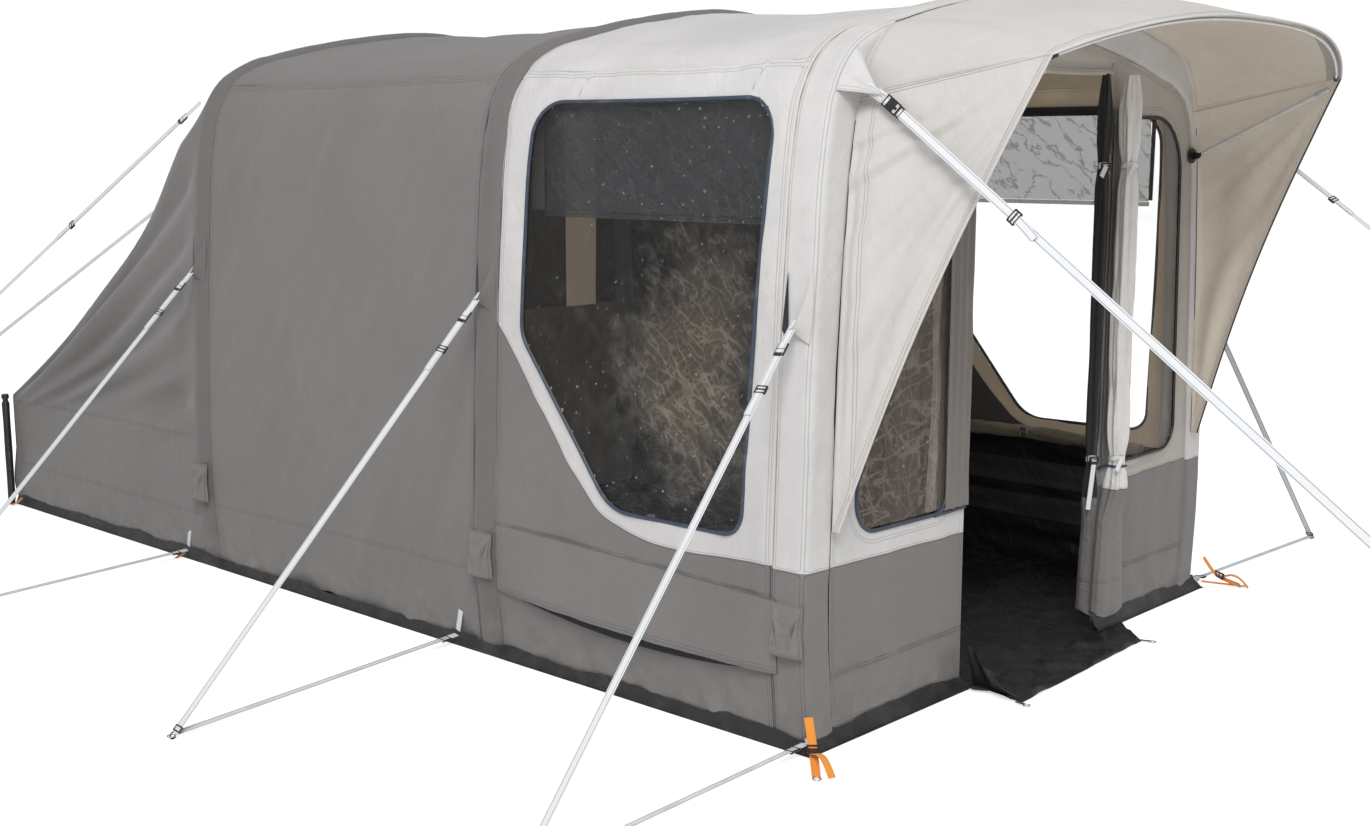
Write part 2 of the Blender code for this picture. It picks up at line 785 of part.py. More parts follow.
def bedroom_point(station, y):
    """Return a point of the bedroom flysheet, whose section gets lower towards the rear."""
    x, z, _, _ = arch_at(station)
    return Vector((x, y, max(z * bedroom_scale(y), WALL_FOOT_Z)))


def build_bedroom():
    """Build the sloping roof with its low end wall, and the two tapering sides."""
    last_y = REAR_Y - SEAM_GAP - FABRIC
    stations = spread_stations(EAVE_STATION + STATION_GAP, 1 - EAVE_STATION - STATION_GAP, 13)
    lengths = np.linspace(BEDROOM_START_Y, REAR_Y, 8)
    grid = [[bedroom_point(s, y) for y in lengths] for s in stations]
    corner = grid[0][-1].copy()
    for row in grid:
        top = row[-1]
        for step in END_WALL_STEPS:
            edge_z = corner.z + (WALL_FOOT_Z - corner.z) * step
            width = half_width(min(edge_z / bedroom_scale(REAR_Y), EAVE_HEIGHT))
            z = top.z + (WALL_FOOT_Z - top.z) * step
            row.append(Vector((top.x / abs(corner.x) * width, REAR_Y, z)))
    add_object("bedroom_roof", sheet_solid(grid, FABRIC), dark_cloth())
    side_rows = spread_stations(FOOT_STATION, EAVE_STATION - STATION_GAP, 8)
    side_lengths = np.linspace(BEDROOM_START_Y, last_y, 8)
    for side, sign in SIDES.items():
        grid = [[bedroom_point(s, y) for y in side_lengths] for s in side_rows]
        solid = mirrored(sheet_solid(grid, FABRIC), sign)
        add_object(f"bedroom_side_{side}", solid, dark_cloth())


def build_corner_poles():
    """Build the short pole that holds up each rear corner."""
    pole = CORNER_POLE
    profile = (
        (pole["radius"] * 0.7, 0.0),
        (pole["radius"], 0.012),
        (pole["radius"], pole["height"] - 0.020),
        (pole["radius"] * 1.2, pole["height"] - 0.018),
        (pole["radius"] * 1.2, pole["height"] - 0.004),
        (pole["radius"] * 0.8, pole["height"]),
    )
    for side, sign in SIDES.items():
        centre = Vector((sign * pole["x"], pole["y"], 0))
        loops = []
        for radius, z in profile:
            loops.append([centre + Vector((a, b, z)) for a, b in round_loop(radius, 10)])
        add_object(f"corner_pole_{side}", loft(loops), black_plastic())


# Canopy


def rim_point(x):
    """Return the point of the canopy's front rim at a distance from the middle."""
    share = abs(x / RIM_HALF_WIDTH) ** RIM_POWER
    y = FACE_Y - RIM_REACH + (RIM_REACH - RIM_TIP_REACH) * share
    return Vector((x, y, RIM_MIDDLE_Z - (RIM_MIDDLE_Z - RIM_TIP_Z) * share))


def canopy_grid():
    """Return the canopy cloth, from the front arch to the rim."""
    start = station_at_height(CANOPY_SIDE_Z)
    stations = spread_stations(start, 1 - start, 15)
    shares = (stations - 0.5) / (0.5 - start)
    grid = []
    for station, share in zip(stations, shares):
        x, z, nx, nz = arch_at(station)
        inset = WING_INSET * max(0.0, abs(share) - SHOULDER_SHARE) / (1 - SHOULDER_SHARE)
        back = Vector((x - nx * inset, FACE_Y - CANOPY_GAP, z - nz * inset))
        front = rim_point(RIM_HALF_WIDTH * math.sin(share * math.pi / 2))
        row = []
        for step in np.linspace(0, 1, 6):
            place = back.lerp(front, step)
            place.z += CANOPY_CROWN * math.sin(math.pi * step) * (1 - abs(share) ** 4)
            row.append(place)
        grid.append(row)
    return grid


def wing_grid(top_line):
    """Return the left wing cloth, from the front arch to its slanted free edge."""
    arch_top, rim_tip = top_line[0], top_line[-1]
    drop = Vector((0, 0, -FABRIC - WING_SEAM))
    foot = Vector((-half_width(WING_FOOT_Z) + WING_INSET, FACE_Y - CANOPY_GAP, WING_FOOT_Z))
    tip = foot + Vector((0, -WING_FOOT_REACH, 0))
    grid = []
    for step in np.linspace(0, 1, 9):
        z = arch_top.z + (foot.z - arch_top.z) * step
        inner = Vector((-half_width(z) + WING_INSET, FACE_Y - CANOPY_GAP, z)) if step else arch_top
        outer = rim_tip.lerp(tip, step)
        outer.y += WING_EDGE_HOLLOW * math.sin(math.pi * step)
        row = []
        for share in np.linspace(0, 1, 6):
            place = inner.lerp(outer, share) + drop
            fold = WING_FOLD * math.sin(3 * math.pi * share) * math.sin(math.pi * step)
            row.append(place + Vector((fold, 0, 0)))
        grid.append(row)
    return grid


def build_canopy():
    """Build the canopy cloth, its wings and the springy pole in its rim."""
    grid = canopy_grid()
    add_object("canopy", sheet_solid(grid, FABRIC), canopy_cloth())
    for side, sign in SIDES.items():
        solid = mirrored(sheet_solid(wing_grid(grid[0]), FABRIC), sign)
        add_object(f"canopy_wing_{side}", solid, canopy_cloth())
    loops = []
    half_turn = RIM_POLE_SPREAD * math.pi / 2
    for angle in np.linspace(-half_turn, half_turn, 19):
        x = RIM_HALF_WIDTH * RIM_POLE_INSET * math.sin(angle)
        centre = rim_point(x) + Vector(RIM_POLE_OFFSET)
        ahead = rim_point(x + 0.001) - rim_point(x - 0.001)
        turn = ahead.to_track_quat("Z", "Y")
        loops.append([centre + turn @ Vector((a, b, 0)) for a, b in round_loop(RIM_POLE_RADIUS, 6)])
    add_object("canopy_rim_pole", loft(loops), grey_alloy())


def strut_frame(sign):
    """Return the matrix whose X runs along the strut and whose Y is the hinge axis."""
    pivot = Vector((sign * BOOT_X, FACE_Y - BOOT_PIN_STAND, BOOT_Z))
    tip = Vector((sign * STRUT_TIP_X, FACE_Y - STRUT_TIP_REACH, STRUT_TIP_Z))
    along = (tip - pivot).normalized()
    hinge = Vector((0, 0, 1)).cross(along).normalized()
    up = along.cross(hinge)
    turn = Matrix((along, hinge, up)).transposed().to_4x4()
    return Matrix.Translation(pivot) @ turn, (tip - pivot).length


def moved(bm, matrix):
    """Carry a shape from the strut's own frame into the tent's."""
    bmesh.ops.transform(bm, matrix=matrix, verts=bm.verts)
    return bm


def build_struts():
    """Build each canopy strut with its eye, and the boot that it hinges in."""
    for side, sign in SIDES.items():
        frame, length = strut_frame(sign)
        pivot = tuple(frame.translation)
        half_eye = EYE_THICKNESS / 2
        eye = moved(cylinder((0, -half_eye, 0), (0, half_eye, 0), EYE_RADIUS, 16), frame)
        strut = add_object(f"canopy_strut_{side}", eye, grey_alloy(), pivot)
        neck_end = NECK_LENGTH + NECK_OVERLAP
        neck_outline = [(0, -STRUT_RADIUS), (neck_end, -STRUT_RADIUS)]
        neck_outline += [(neck_end, STRUT_RADIUS), (0, STRUT_RADIUS)]
        neck = prism(neck_outline, upright_point, -half_eye, half_eye)
        boolean(strut, add_cutter(f"strut_neck_{side}", moved(neck, frame)), "UNION")
        rod = moved(cylinder((NECK_LENGTH, 0, 0), (length, 0, 0), STRUT_RADIUS, 8), frame)
        boolean(strut, add_cutter(f"strut_rod_{side}", rod), "UNION")
        bore_radius = PIN_RADIUS + PIN_CLEARANCE
        bore = moved(cylinder((0, -0.02, 0), (0, 0.02, 0), bore_radius, 12), frame)
        boolean(strut, add_cutter(f"strut_bore_{side}", bore), "DIFFERENCE")
        build_boot(side, sign, frame)


def build_boot(side, sign, frame):
    """Build the boot: a round plate on the arch, two cheeks and the hinge pin."""
    pivot = frame.translation
    plate_y = FACE_Y - BOOT_PLATE_GAP
    near = Vector((pivot.x, plate_y - BOOT_PLATE_THICKNESS, pivot.z))
    far = Vector((pivot.x, plate_y, pivot.z))
    plate = cylinder(near, far, BOOT_PLATE_RADIUS, 16)
    boot = add_object(f"strut_boot_{side}", plate, black_plastic())
    hinge = frame.to_3x3() @ Vector((0, 1, 0))
    level = Vector((0, 0, 1)).cross(hinge)
    flat = Matrix((level, hinge, Vector((0, 0, 1)))).transposed().to_4x4()
    flat.translation = pivot
    inner = EYE_THICKNESS / 2 + CHEEK_GAP
    for end in (-1, 1):
        y_near, y_far = end * inner, end * (inner + CHEEK_THICKNESS)
        cheek_points = cheek_outline(abs(pivot.y - plate_y) - BOOT_PLATE_THICKNESS / 2, level)
        cheek = prism(cheek_points, upright_point, y_near, y_far)
        name = f"boot_cheek_{side}_{'inner' if end < 0 else 'outer'}"
        boolean(boot, add_cutter(name, moved(cheek, flat)), "UNION")
    reach = inner + CHEEK_THICKNESS * 0.5
    pin = moved(cylinder((0, -reach, 0), (0, reach, 0), PIN_RADIUS, 12), flat)
    boolean(boot, add_cutter(f"boot_pin_{side}", pin), "UNION")


def cheek_outline(back, level):
    """Return a cheek's outline in the hinge plane: a round nose on a straight root."""
    toward = -1 if level.y < 0 else 1
    nose = []
    for step in range(7):
        angle = math.pi / 2 - math.pi * step / 6
        nose.append((-toward * CHEEK_NOSE * math.cos(angle), CHEEK_NOSE * math.sin(angle)))
    return nose + [(toward * back, -CHEEK_ROOT), (toward * back, CHEEK_ROOT)]


def roll_heights(top, foot):
    """Return heights down a door roll, closer together at its ties."""
    upper, lower = ROLL_TIES
    above = np.linspace(top, upper + 0.04, 4)
    between = np.linspace(upper - 0.06, lower + 0.08, 6)
    below = np.linspace(lower - 0.06, foot, 5)
    return np.concatenate([above, [upper], between, [lower], below])


def build_door_rolls():
    """Build the rolled mesh door and the rolled outer door, tied back beside the opening."""
    finishes = {"door_mesh_roll": mesh_cloth(), "door_outer_roll": canopy_cloth()}
    for name, roll in DOOR_ROLLS.items():
        loops = []
        for z in roll_heights(roll["top"], roll["foot"]):
            nearness = max(math.exp(-(((z - tie) / ROLL_TIE_REACH) ** 2)) for tie in ROLL_TIES)
            flare = ROLL_FLARE * max(0.0, 1 - z / ROLL_FLARE_TOP_Z)
            girth = roll["radius"] * (1 - ROLL_PINCH * nearness) * (1 + flare)
            loop = []
            for i in range(ROLL_SIDES):
                angle = 2 * math.pi * i / ROLL_SIDES
                size = girth * (1 + ROLL_FOLD * math.cos(roll["folds"] * angle + ROLL_TWIST * z))
                across = size * math.cos(angle)
                deep = size * math.sin(angle) * ROLL_FLATNESS
                loop.append(Vector((roll["x"] + across, roll["y"] + deep, z)))
            loops.append(loop)
        add_object(name, loft(loops), finishes[name])


# Floor


def peg_tab(sign):
    """Return the outline of the webbing tab that points out of a front corner."""
    corner = (
        (FLOOR_HALF_WIDTH, FRONT_Y + TAB_WIDTH),
        (FLOOR_HALF_WIDTH + TAB_REACH, FRONT_Y - TAB_REACH + TAB_WIDTH),
        (FLOOR_HALF_WIDTH + TAB_REACH - TAB_WIDTH, FRONT_Y - TAB_REACH),
        (FLOOR_HALF_WIDTH - TAB_WIDTH, FRONT_Y),
    )
    return [(sign * x, y) for x, y in corner]


def apron_loop(x, reach):
    """Return the apron's outline round a peg loop that starts at x."""
    edge_y = FRONT_Y - reach
    loop = ((0.0, 0.0), (0.3, -APRON_LOOP), (1.1, -APRON_LOOP), (1.4, 0.0))
    return [(x + share * APRON_LOOP, edge_y + drop) for share, drop in loop]


def build_groundsheet():
    """Build the floor with its door apron and the peg tabs at its front corners."""
    outline = [(-FLOOR_HALF_WIDTH, FLOOR_REAR_Y), *peg_tab(-1)]
    outline += [(DOOR_LEFT_X, FRONT_Y), *apron_loop(APRON_LEFT_X, APRON_LEFT_REACH)]
    outline += [*apron_loop(APRON_RIGHT_X - 2 * APRON_LOOP, APRON_RIGHT_REACH), (APRON_END_X, FRONT_Y)]
    outline += [*reversed(peg_tab(1)), (FLOOR_HALF_WIDTH, FLOOR_REAR_Y)]
    sheet = prism(outline, lambda u, v, depth: Vector((u, v, depth)), 0.0, FLOOR_THICKNESS)
    add_object("groundsheet", sheet, black_cloth(), smooth=30)


# Guys


def strap_solid(stops, across):
    """Sweep a flat strap; stops are (place, width, thickness), across is the strap's width way."""
    across = Vector(across).normalized()
    places = [Vector(p) for p, _, _ in stops]
    loops = []
    for i, (_, width, thickness) in enumerate(stops):
        into = (places[i] - places[i - 1]) if i else (places[1] - places[0])
        out = (places[i + 1] - places[i]) if i + 1 < len(places) else into
        first = across.cross(into.normalized())
        second = across.cross(out.normalized())
        flat = first + second
        stretch = 2 / max(flat.length**2, 0.16)
        lift = flat * stretch * thickness / 2
        side = across * width / 2
        centre = places[i]
        upper = [centre + side + lift, centre - side + lift]
        loops.append(upper + [centre - side - lift, centre + side - lift])
    return loft(loops)


def along(start, end, distance):
    """Return the point a distance from start towards end."""
    start, end = Vector(start), Vector(end)
    return start + (end - start).normalized() * distance


def stepped_run(start, end, marks):
    """List strap stops from start to end, with thicker pieces at the marks."""
    strap = (STRAP_WIDTH, STRAP_THICKNESS)
    stops = [(Vector(start), *strap)]
    for near, far, size in marks:
        stops.append((along(start, end, near - STEP_RAMP), *strap))
        stops.append((along(start, end, near), *size))
        stops.append((along(start, end, far), *size))
        stops.append((along(start, end, far + STEP_RAMP), *strap))
    return stops


def vee_strap(top, peg, low, across):
    """Build a strap from its top to the peg, round the peg and back to its low end."""
    strap = (STRAP_WIDTH, STRAP_THICKNESS)
    stops = stepped_run(top, peg, [(*BUCKLE_SPAN, BUCKLE_SIZE)])
    stops.append((along(peg, top, PEG_HEAD_REACH + STEP_RAMP), *strap))
    stops.append((along(peg, top, PEG_HEAD_REACH), *PEG_HEAD))
    stops.append((Vector(peg), *PEG_HEAD))
    stops.append((along(peg, low, PEG_HEAD_REACH), *PEG_HEAD))
    stops.append((along(peg, low, PEG_HEAD_REACH + STEP_RAMP), *strap))
    stops.append((Vector(low), *strap))
    return strap_solid(stops, across)


GUY_LINES = {
    "front": {"y": FRONT_ARCH_Y, "peg": (2.200, FRONT_Y + 0.010), "low_y": -2.300, "proud": 0.0},
    "middle": {"y": MIDDLE_ARCH_Y, "peg": (2.250, -0.945), "low_y": -0.830, "proud": ROUND_SLEEVE_PROUD},
    "rear": {"y": REAR_ARCH_Y, "peg": (2.250, 0.760), "low_y": 0.860, "proud": ROUND_SLEEVE_PROUD},
}


def guy_points(name, sign):
    """Return the top, the peg and the low end of an arch guy."""
    line = GUY_LINES[name]
    top_x = half_width(GUY_TOP_Z) + line["proud"] + GUY_STAND_OFF
    low_x = half_width(GUY_LOW_Z) + GUY_STAND_OFF
    top = Vector((sign * top_x, line["y"], GUY_TOP_Z))
    peg = Vector((sign * line["peg"][0], line["peg"][1], GUY_PEG_Z))
    low = Vector((sign * low_x, line["low_y"], GUY_LOW_Z))
    return top, peg, low


def plane_normal(a, b, c):
    """Return the direction square to both runs of a strap."""
    return (a - b).cross(c - b).normalized()


def slider_solid(start, end, distance, across):
    """Return the slotted adjuster that runs along a strap, and its centre."""
    across = Vector(across).normalized()
    centre = along(start, end, distance)
    ahead = (Vector(end) - Vector(start)).normalized()
    lift = across.cross(ahead).normalized()

    def ring(offset, size):
        middle = centre + ahead * offset
        side, up = across * size[0] / 2, lift * size[1] / 2
        return [middle + side + up, middle - side + up, middle - side - up, middle + side - up]

    half = SLIDER_LENGTH / 2
    slim = (SLIDER_SIZE[0] - SLIDER_BEVEL, SLIDER_SIZE[1] - SLIDER_BEVEL)
    loops = [
        ring(-half, slim),
        ring(-half + SLIDER_BEVEL, SLIDER_SIZE),
        ring(half - SLIDER_BEVEL, SLIDER_SIZE),
        ring(half, slim),
        ring(half, SLIDER_SLOT),
        ring(-half, SLIDER_SLOT),
    ]
    return loft(loops, cyclic=True), centre


def build_guys():
    """Build the arch guys, the storm guys, the rear guys and the sliders on them."""
    for side, sign in SIDES.items():
        for name in GUY_LINES:
            top, peg, low = guy_points(name, sign)
            across = plane_normal(top, peg, low)
            add_object(f"guy_{side}_{name}", vee_strap(top, peg, low, across), white_webbing())
            if side == "left" or name == "front":
                solid, centre = slider_solid(top, peg, SLIDER_PLACE, across)
                add_object(f"slider_{side}_{name}", solid, black_plastic(), tuple(centre))
        top = Vector((sign * STORM_TOP[0], *STORM_TOP[1:]))
        peg = Vector((sign * STORM_PEG[0], *STORM_PEG[1:]))
        stops = stepped_run(top, peg, [(*STORM_BUCKLE_SPAN, STORM_BUCKLE_SIZE)])
        stops.append((along(peg, top, PEG_HEAD_REACH + STEP_RAMP), STRAP_WIDTH, STRAP_THICKNESS))
        stops.append((along(peg, top, PEG_HEAD_REACH), *PEG_HEAD))
        stops.append((peg, *PEG_HEAD))
        ahead = (peg - top).normalized()
        across = Vector((1, 0, 0)) - ahead * ahead.x
        add_object(f"storm_guy_{side}", strap_solid(stops, across), white_webbing())
        solid, centre = slider_solid(top, peg, STORM_SLIDER_PLACE, across)
        add_object(f"slider_{side}_storm", solid, black_plastic(), tuple(centre))
        shoulder_x = half_width(REAR_GUY_TOP_Z) + ROUND_SLEEVE_PROUD + GUY_STAND_OFF
        top = Vector((sign * shoulder_x, REAR_ARCH_Y + 0.060, REAR_GUY_TOP_Z))
        peg = Vector((sign * REAR_PEG[0], *REAR_PEG[1:]))
        seam = bedroom_point(EAVE_STATION, REAR_GUY_LOW_Y)
        low = Vector((sign * (abs(seam.x) + REAR_GUY_STAND_OFF), seam.y, seam.z))
        across = plane_normal(top, peg, low)
        add_object(f"rear_guy_{side}", vee_strap(top, peg, low, across), white_webbing())


def main():
    """Build the whole tent, from the floor up and then outwards."""
    remove_all()
    build_groundsheet()
    build_arches()
    build_roof("roof_front", FRONT_BAY, pale_cloth())
    build_roof("roof_rear", REAR_BAY, dark_cloth())
    build_side_walls()
    build_blinds()
    build_front_wall()
    build_bedroom()
    build_corner_poles()
    build_canopy()
    build_struts()
    build_door_rolls()
    build_guys()


main()
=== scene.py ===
"""Looks of the inflatable family tent.

Every cloth panel is built from the same arch outline as the solids, as one sewn sheet with its
own folds, seams and stitches, and dressed in woven finishes. Straps, buckles, peg hooks, window
film, piping, blinds and rolled doors are pieces of their own. Metres, +Z up, the door faces -Y.
"""

from __future__ import annotations

import logging
import math
from dataclasses import dataclass, field
from enum import Enum
from typing import Sequence

import bmesh
import bpy
import numpy as np
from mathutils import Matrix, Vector

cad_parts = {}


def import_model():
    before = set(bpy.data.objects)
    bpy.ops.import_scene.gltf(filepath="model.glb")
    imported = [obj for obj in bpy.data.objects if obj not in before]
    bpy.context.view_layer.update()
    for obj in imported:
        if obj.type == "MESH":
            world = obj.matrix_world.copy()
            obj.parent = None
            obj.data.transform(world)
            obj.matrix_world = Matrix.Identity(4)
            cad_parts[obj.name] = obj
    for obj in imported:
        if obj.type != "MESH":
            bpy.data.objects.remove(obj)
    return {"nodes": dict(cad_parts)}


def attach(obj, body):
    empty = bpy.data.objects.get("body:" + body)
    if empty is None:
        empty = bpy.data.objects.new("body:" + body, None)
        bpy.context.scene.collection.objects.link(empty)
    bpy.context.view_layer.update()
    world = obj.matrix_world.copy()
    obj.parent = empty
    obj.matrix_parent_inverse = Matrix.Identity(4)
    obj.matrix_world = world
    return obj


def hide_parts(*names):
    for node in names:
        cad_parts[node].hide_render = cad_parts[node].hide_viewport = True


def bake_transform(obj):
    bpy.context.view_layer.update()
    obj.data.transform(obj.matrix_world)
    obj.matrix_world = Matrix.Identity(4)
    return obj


LOG = logging.getLogger("tent")
Array = np.ndarray
Pair = tuple[float, float]
Triple = tuple[float, float, float]
Colour = tuple[float, float, float]

# Sizes that the panels share with the solids
HALF_OUTLINE = (
    (1.145, 0.0),
    (1.168, 0.30),
    (1.158, 0.80),
    (1.128, 1.35),
    (1.100, 1.62),
    (1.066, 1.760),
    (0.998, 1.860),
    (0.890, 1.925),
    (0.750, 1.965),
    (0.420, 2.035),
    (0.0, 2.08),
)
EAVE_Z = 1.845
FRONT_Y = -2.33
FACE_Y = -2.30
REAR_Y = 2.34
MIDDLE_ARCH_Y = -1.00
REAR_ARCH_Y = 0.68
FRONT_SLEEVE_WIDTH = 0.115
FRONT_SLEEVE_DEPTH = 0.12
FRONT_ARCH_Y = FACE_Y + FRONT_SLEEVE_WIDTH / 2
ROUND_RADIUS = 0.075
ROUND_DEPTH = 0.055
ROUND_SEAT = 0.0565
ROUND_PROUD = ROUND_RADIUS - ROUND_DEPTH
FRONT_BAY = (FACE_Y + FRONT_SLEEVE_WIDTH + 0.001, MIDDLE_ARCH_Y - ROUND_SEAT)
REAR_BAY = (MIDDLE_ARCH_Y + ROUND_SEAT, REAR_ARCH_Y - ROUND_SEAT)
TENT_MIDDLE = np.array((0.0, 0.0, 0.8))
HEM_Z = 0.028

# Sizes that several pieces share
CLOTH = 0.0012
FILM = 0.0006
WEBBING = 0.0016
WEBBING_WIDTH = 0.025
WALL_DRAW = 0.010
SEAM_INSET = 0.012
TUCK = 0.006
ON_EDGE = 1e-4
WINDOW_PIPING = 0.0062
HARD_EDGE = 35
SOFT_EDGE = 60
UP = (0.0, 0.0, 1.0)
FORWARD = (0.0, -1.0, 0.0)


class Side(Enum):
    """The two sides of the tent, as seen from the front door."""

    LEFT = -1
    RIGHT = 1

    @property
    def word(self) -> str:
        """Return the side's name as the nodes spell it."""
        return self.name.lower()


# Outline and cloth measures


class ArchOutline:
    """The outline that the arches and every panel follow, from the left foot to the right."""

    def __init__(self) -> None:
        """Lay one smooth curve through the outline's points."""
        left = [(-x, z) for x, z in HALF_OUTLINE]
        right = [(x, z) for x, z in reversed(HALF_OUTLINE[:-1])]
        self.line = smooth_curve(left + right, 1201)
        ahead = np.gradient(self.line, axis=0)
        ahead /= np.linalg.norm(ahead, axis=1)[:, None]
        self.outward = stacked(-ahead[:, 1], ahead[:, 0])
        steps = np.linalg.norm(np.diff(self.line, axis=0), axis=1)
        self.length = float(steps.sum())
        self.station = np.concatenate([[0], np.cumsum(steps)]) / self.length

    def at(self, station: Array) -> tuple[Array, Array, Array, Array]:
        """Return x, z and the outward normal at stations.

        Args:
            station: shares of the outline's length, 0 at the left foot and 1 at the right.

        Returns:
            Arrays of x, z, and the normal's x and z.
        """
        columns = (self.line[:, 0], self.line[:, 1], self.outward[:, 0], self.outward[:, 1])
        x, z, nx, nz = (np.interp(station, self.station, column) for column in columns)
        size = np.hypot(nx, nz)
        return x, z, nx / size, nz / size

    def places(self, station: Array, y: Array | float, inset: Array | float) -> Array:
        """Return places at stations, drawn in from the outline by inset."""
        x, z, nx, nz = self.at(station)
        return stacked(x - nx * inset, y, z - nz * inset)

    def station_at(self, z: Array | float) -> Array:
        """Return the station on the left half of the arch at heights."""
        half = len(self.station) // 2 + 1
        return np.interp(z, self.line[:half, 1], self.station[:half])

    def half_width(self, z: Array | float, inset: float = 0.0) -> Array:
        """Return the distance from the middle at heights, for an outline drawn in by inset."""
        station = np.linspace(0, 0.5, 400)
        x, y, nx, ny = self.at(station)
        return np.interp(z, y - ny * inset, -(x - nx * inset))


def distance_along(path: Array) -> Array:
    """Return how far along a path each of its places lies."""
    return np.concatenate([[0], np.cumsum(np.linalg.norm(np.diff(path, axis=0), axis=1))])


def turns(count: int) -> Array:
    """Return angles spread evenly over one whole turn."""
    return np.arange(count) * 2 * np.pi / count


def stacked(*measures: Array | float) -> Array:
    """Return places from their separate measures, one for each axis."""
    return np.stack(np.broadcast_arrays(*measures), axis=-1)


def spread(*spans: tuple[float, float, int]) -> list[Array]:
    """Return a flat grid's measures, each going evenly from a first to a last value."""
    return np.meshgrid(*(np.linspace(*span) for span in spans))


def smooth_curve(points: Sequence, count: int) -> Array:
    """Return count points on one smooth curve through the given points."""
    points = np.array(points, float)
    chord = distance_along(points)
    slope = np.gradient(points, chord, axis=0)
    wanted = np.linspace(0, chord[-1], count)
    index = np.clip(np.searchsorted(chord, wanted, side="right") - 1, 0, len(chord) - 2)
    step = (chord[index + 1] - chord[index])[:, None]
    t = (wanted - chord[index])[:, None] / step
    rise = 2 * t**3 - 3 * t**2 + 1
    return (
        rise * points[index]
        + (1 - rise) * points[index + 1]
        + (t**3 - 2 * t**2 + t) * step * slope[index]
        + (t**3 - t**2) * step * slope[index + 1]
    )


ARCH = ArchOutline()


class Crumple:
    """Seeded smooth noise over a flat cloth, for folds and puckers."""

    CELLS = 97

    def __init__(self, seed: int) -> None:
        """Fill the lattice with fixed random heights."""
        self.lattice = np.random.default_rng(seed).uniform(-1, 1, (self.CELLS, self.CELLS))

    def at(self, u: Array, v: Array, size: Pair, turn: float = 0.0) -> Array:
        """Return noise from -1 to 1.

        Args:
            u: places along the cloth, in metres.
            v: places up the cloth, in metres.
            size: how long and how wide one fold is, in metres.
            turn: the folds' angle on the cloth, in degrees.

        Returns:
            One height for each place.
        """
        angle = math.radians(turn)
        a = (u * math.cos(angle) + v * math.sin(angle)) / size[0] + 31.7
        b = (v * math.cos(angle) - u * math.sin(angle)) / size[1] + 17.3
        i, j = np.floor(a).astype(int), np.floor(b).astype(int)
        fa, fb = a - i, b - j
        fa = fa * fa * fa * (fa * (6 * fa - 15) + 10)
        fb = fb * fb * fb * (fb * (6 * fb - 15) + 10)
        n = self.CELLS
        low = self.lattice[i % n, j % n] * (1 - fa) + self.lattice[(i + 1) % n, j % n] * fa
        top = self.lattice[i % n, (j + 1) % n] * (1 - fa)
        top = top + self.lattice[(i + 1) % n, (j + 1) % n] * fa
        return low * (1 - fb) + top * fb


def segment_distance(points: Array, path: Array) -> Array:
    """Return each point's distance to a path of straight pieces, both in the plane."""
    best = np.full(points.shape[:-1], np.inf)
    for start, end in zip(path[:-1], path[1:]):
        run = end - start
        share = np.clip(((points - start) @ run) / max(run @ run, 1e-12), 0, 1)
        gap = points - (start + share[..., None] * run)
        best = np.minimum(best, np.hypot(gap[..., 0], gap[..., 1]))
    return best


def seam_field(*lines: Array) -> Array:
    """Return the field that the seams are drawn from.

    Args:
        lines: the distance to each seam, signed where the seam crosses the whole cloth.

    Returns:
        One more than the distance to the nearest seam. The distance turns its sign over at each
        signed seam, which keeps the seam sharp where it runs between the places of the grid.
    """
    signed = np.array(np.broadcast_arrays(*lines))
    sign = np.where(signed < 0, -1.0, 1.0).prod(axis=0)
    return np.abs(signed).min(axis=0) * sign + 1.0


def inside(points: Array, outline: Array) -> Array:
    """Return whether each point lies inside a closed outline in the plane."""
    result = np.zeros(points.shape[:-1], bool)
    x, y = points[..., 0], points[..., 1]
    for (ax, ay), (bx, by) in zip(outline, np.roll(outline, -1, axis=0)):
        crosses = (ay > y) != (by > y)
        edge = (bx - ax) * (y - ay) / (by - ay if by != ay else 1e-12) + ax
        result ^= crosses & (x < edge)
    return result


def signed_distance(points: Array, outline: Array) -> Array:
    """Return the distance to a closed outline, negative inside it."""
    closed = np.vstack([outline, outline[:1]])
    away = segment_distance(points, closed)
    return np.where(inside(points, outline), -away, away)


def rounded(corners: Sequence[Triple], steps: int = 8) -> Array:
    """Return the outline of a polygon given as corners (a, b, radius)."""
    points = [Vector((a, b)) for a, b, _ in corners]
    outline = []
    for i, (_, _, radius) in enumerate(corners):
        here, before, after = points[i], points[i - 1], points[(i + 1) % len(points)]
        back, ahead = (before - here).normalized(), (after - here).normalized()
        half = back.angle(ahead) / 2
        pull = radius / math.tan(half)
        start, end = here + back * pull, here + ahead * pull
        hub = here + (back + ahead).normalized() * radius / math.sin(half)
        for k in range(steps + 1):
            ray = (start - hub).lerp(end - hub, k / steps).normalized() * radius
            outline.append(tuple(hub + ray))
    return np.array(outline)


def resampled(path: Array, pitch: float, closed: bool = False) -> Array:
    """Return a path again, with points about pitch apart."""
    if closed:
        path = np.vstack([path, path[:1]])
    run = distance_along(path)
    count = max(2, int(round(run[-1] / pitch)) + 1)
    wanted = np.linspace(0, run[-1], count)
    line = np.stack([np.interp(wanted, run, path[:, k]) for k in range(path.shape[1])], axis=1)
    return line[:-1] if closed else line


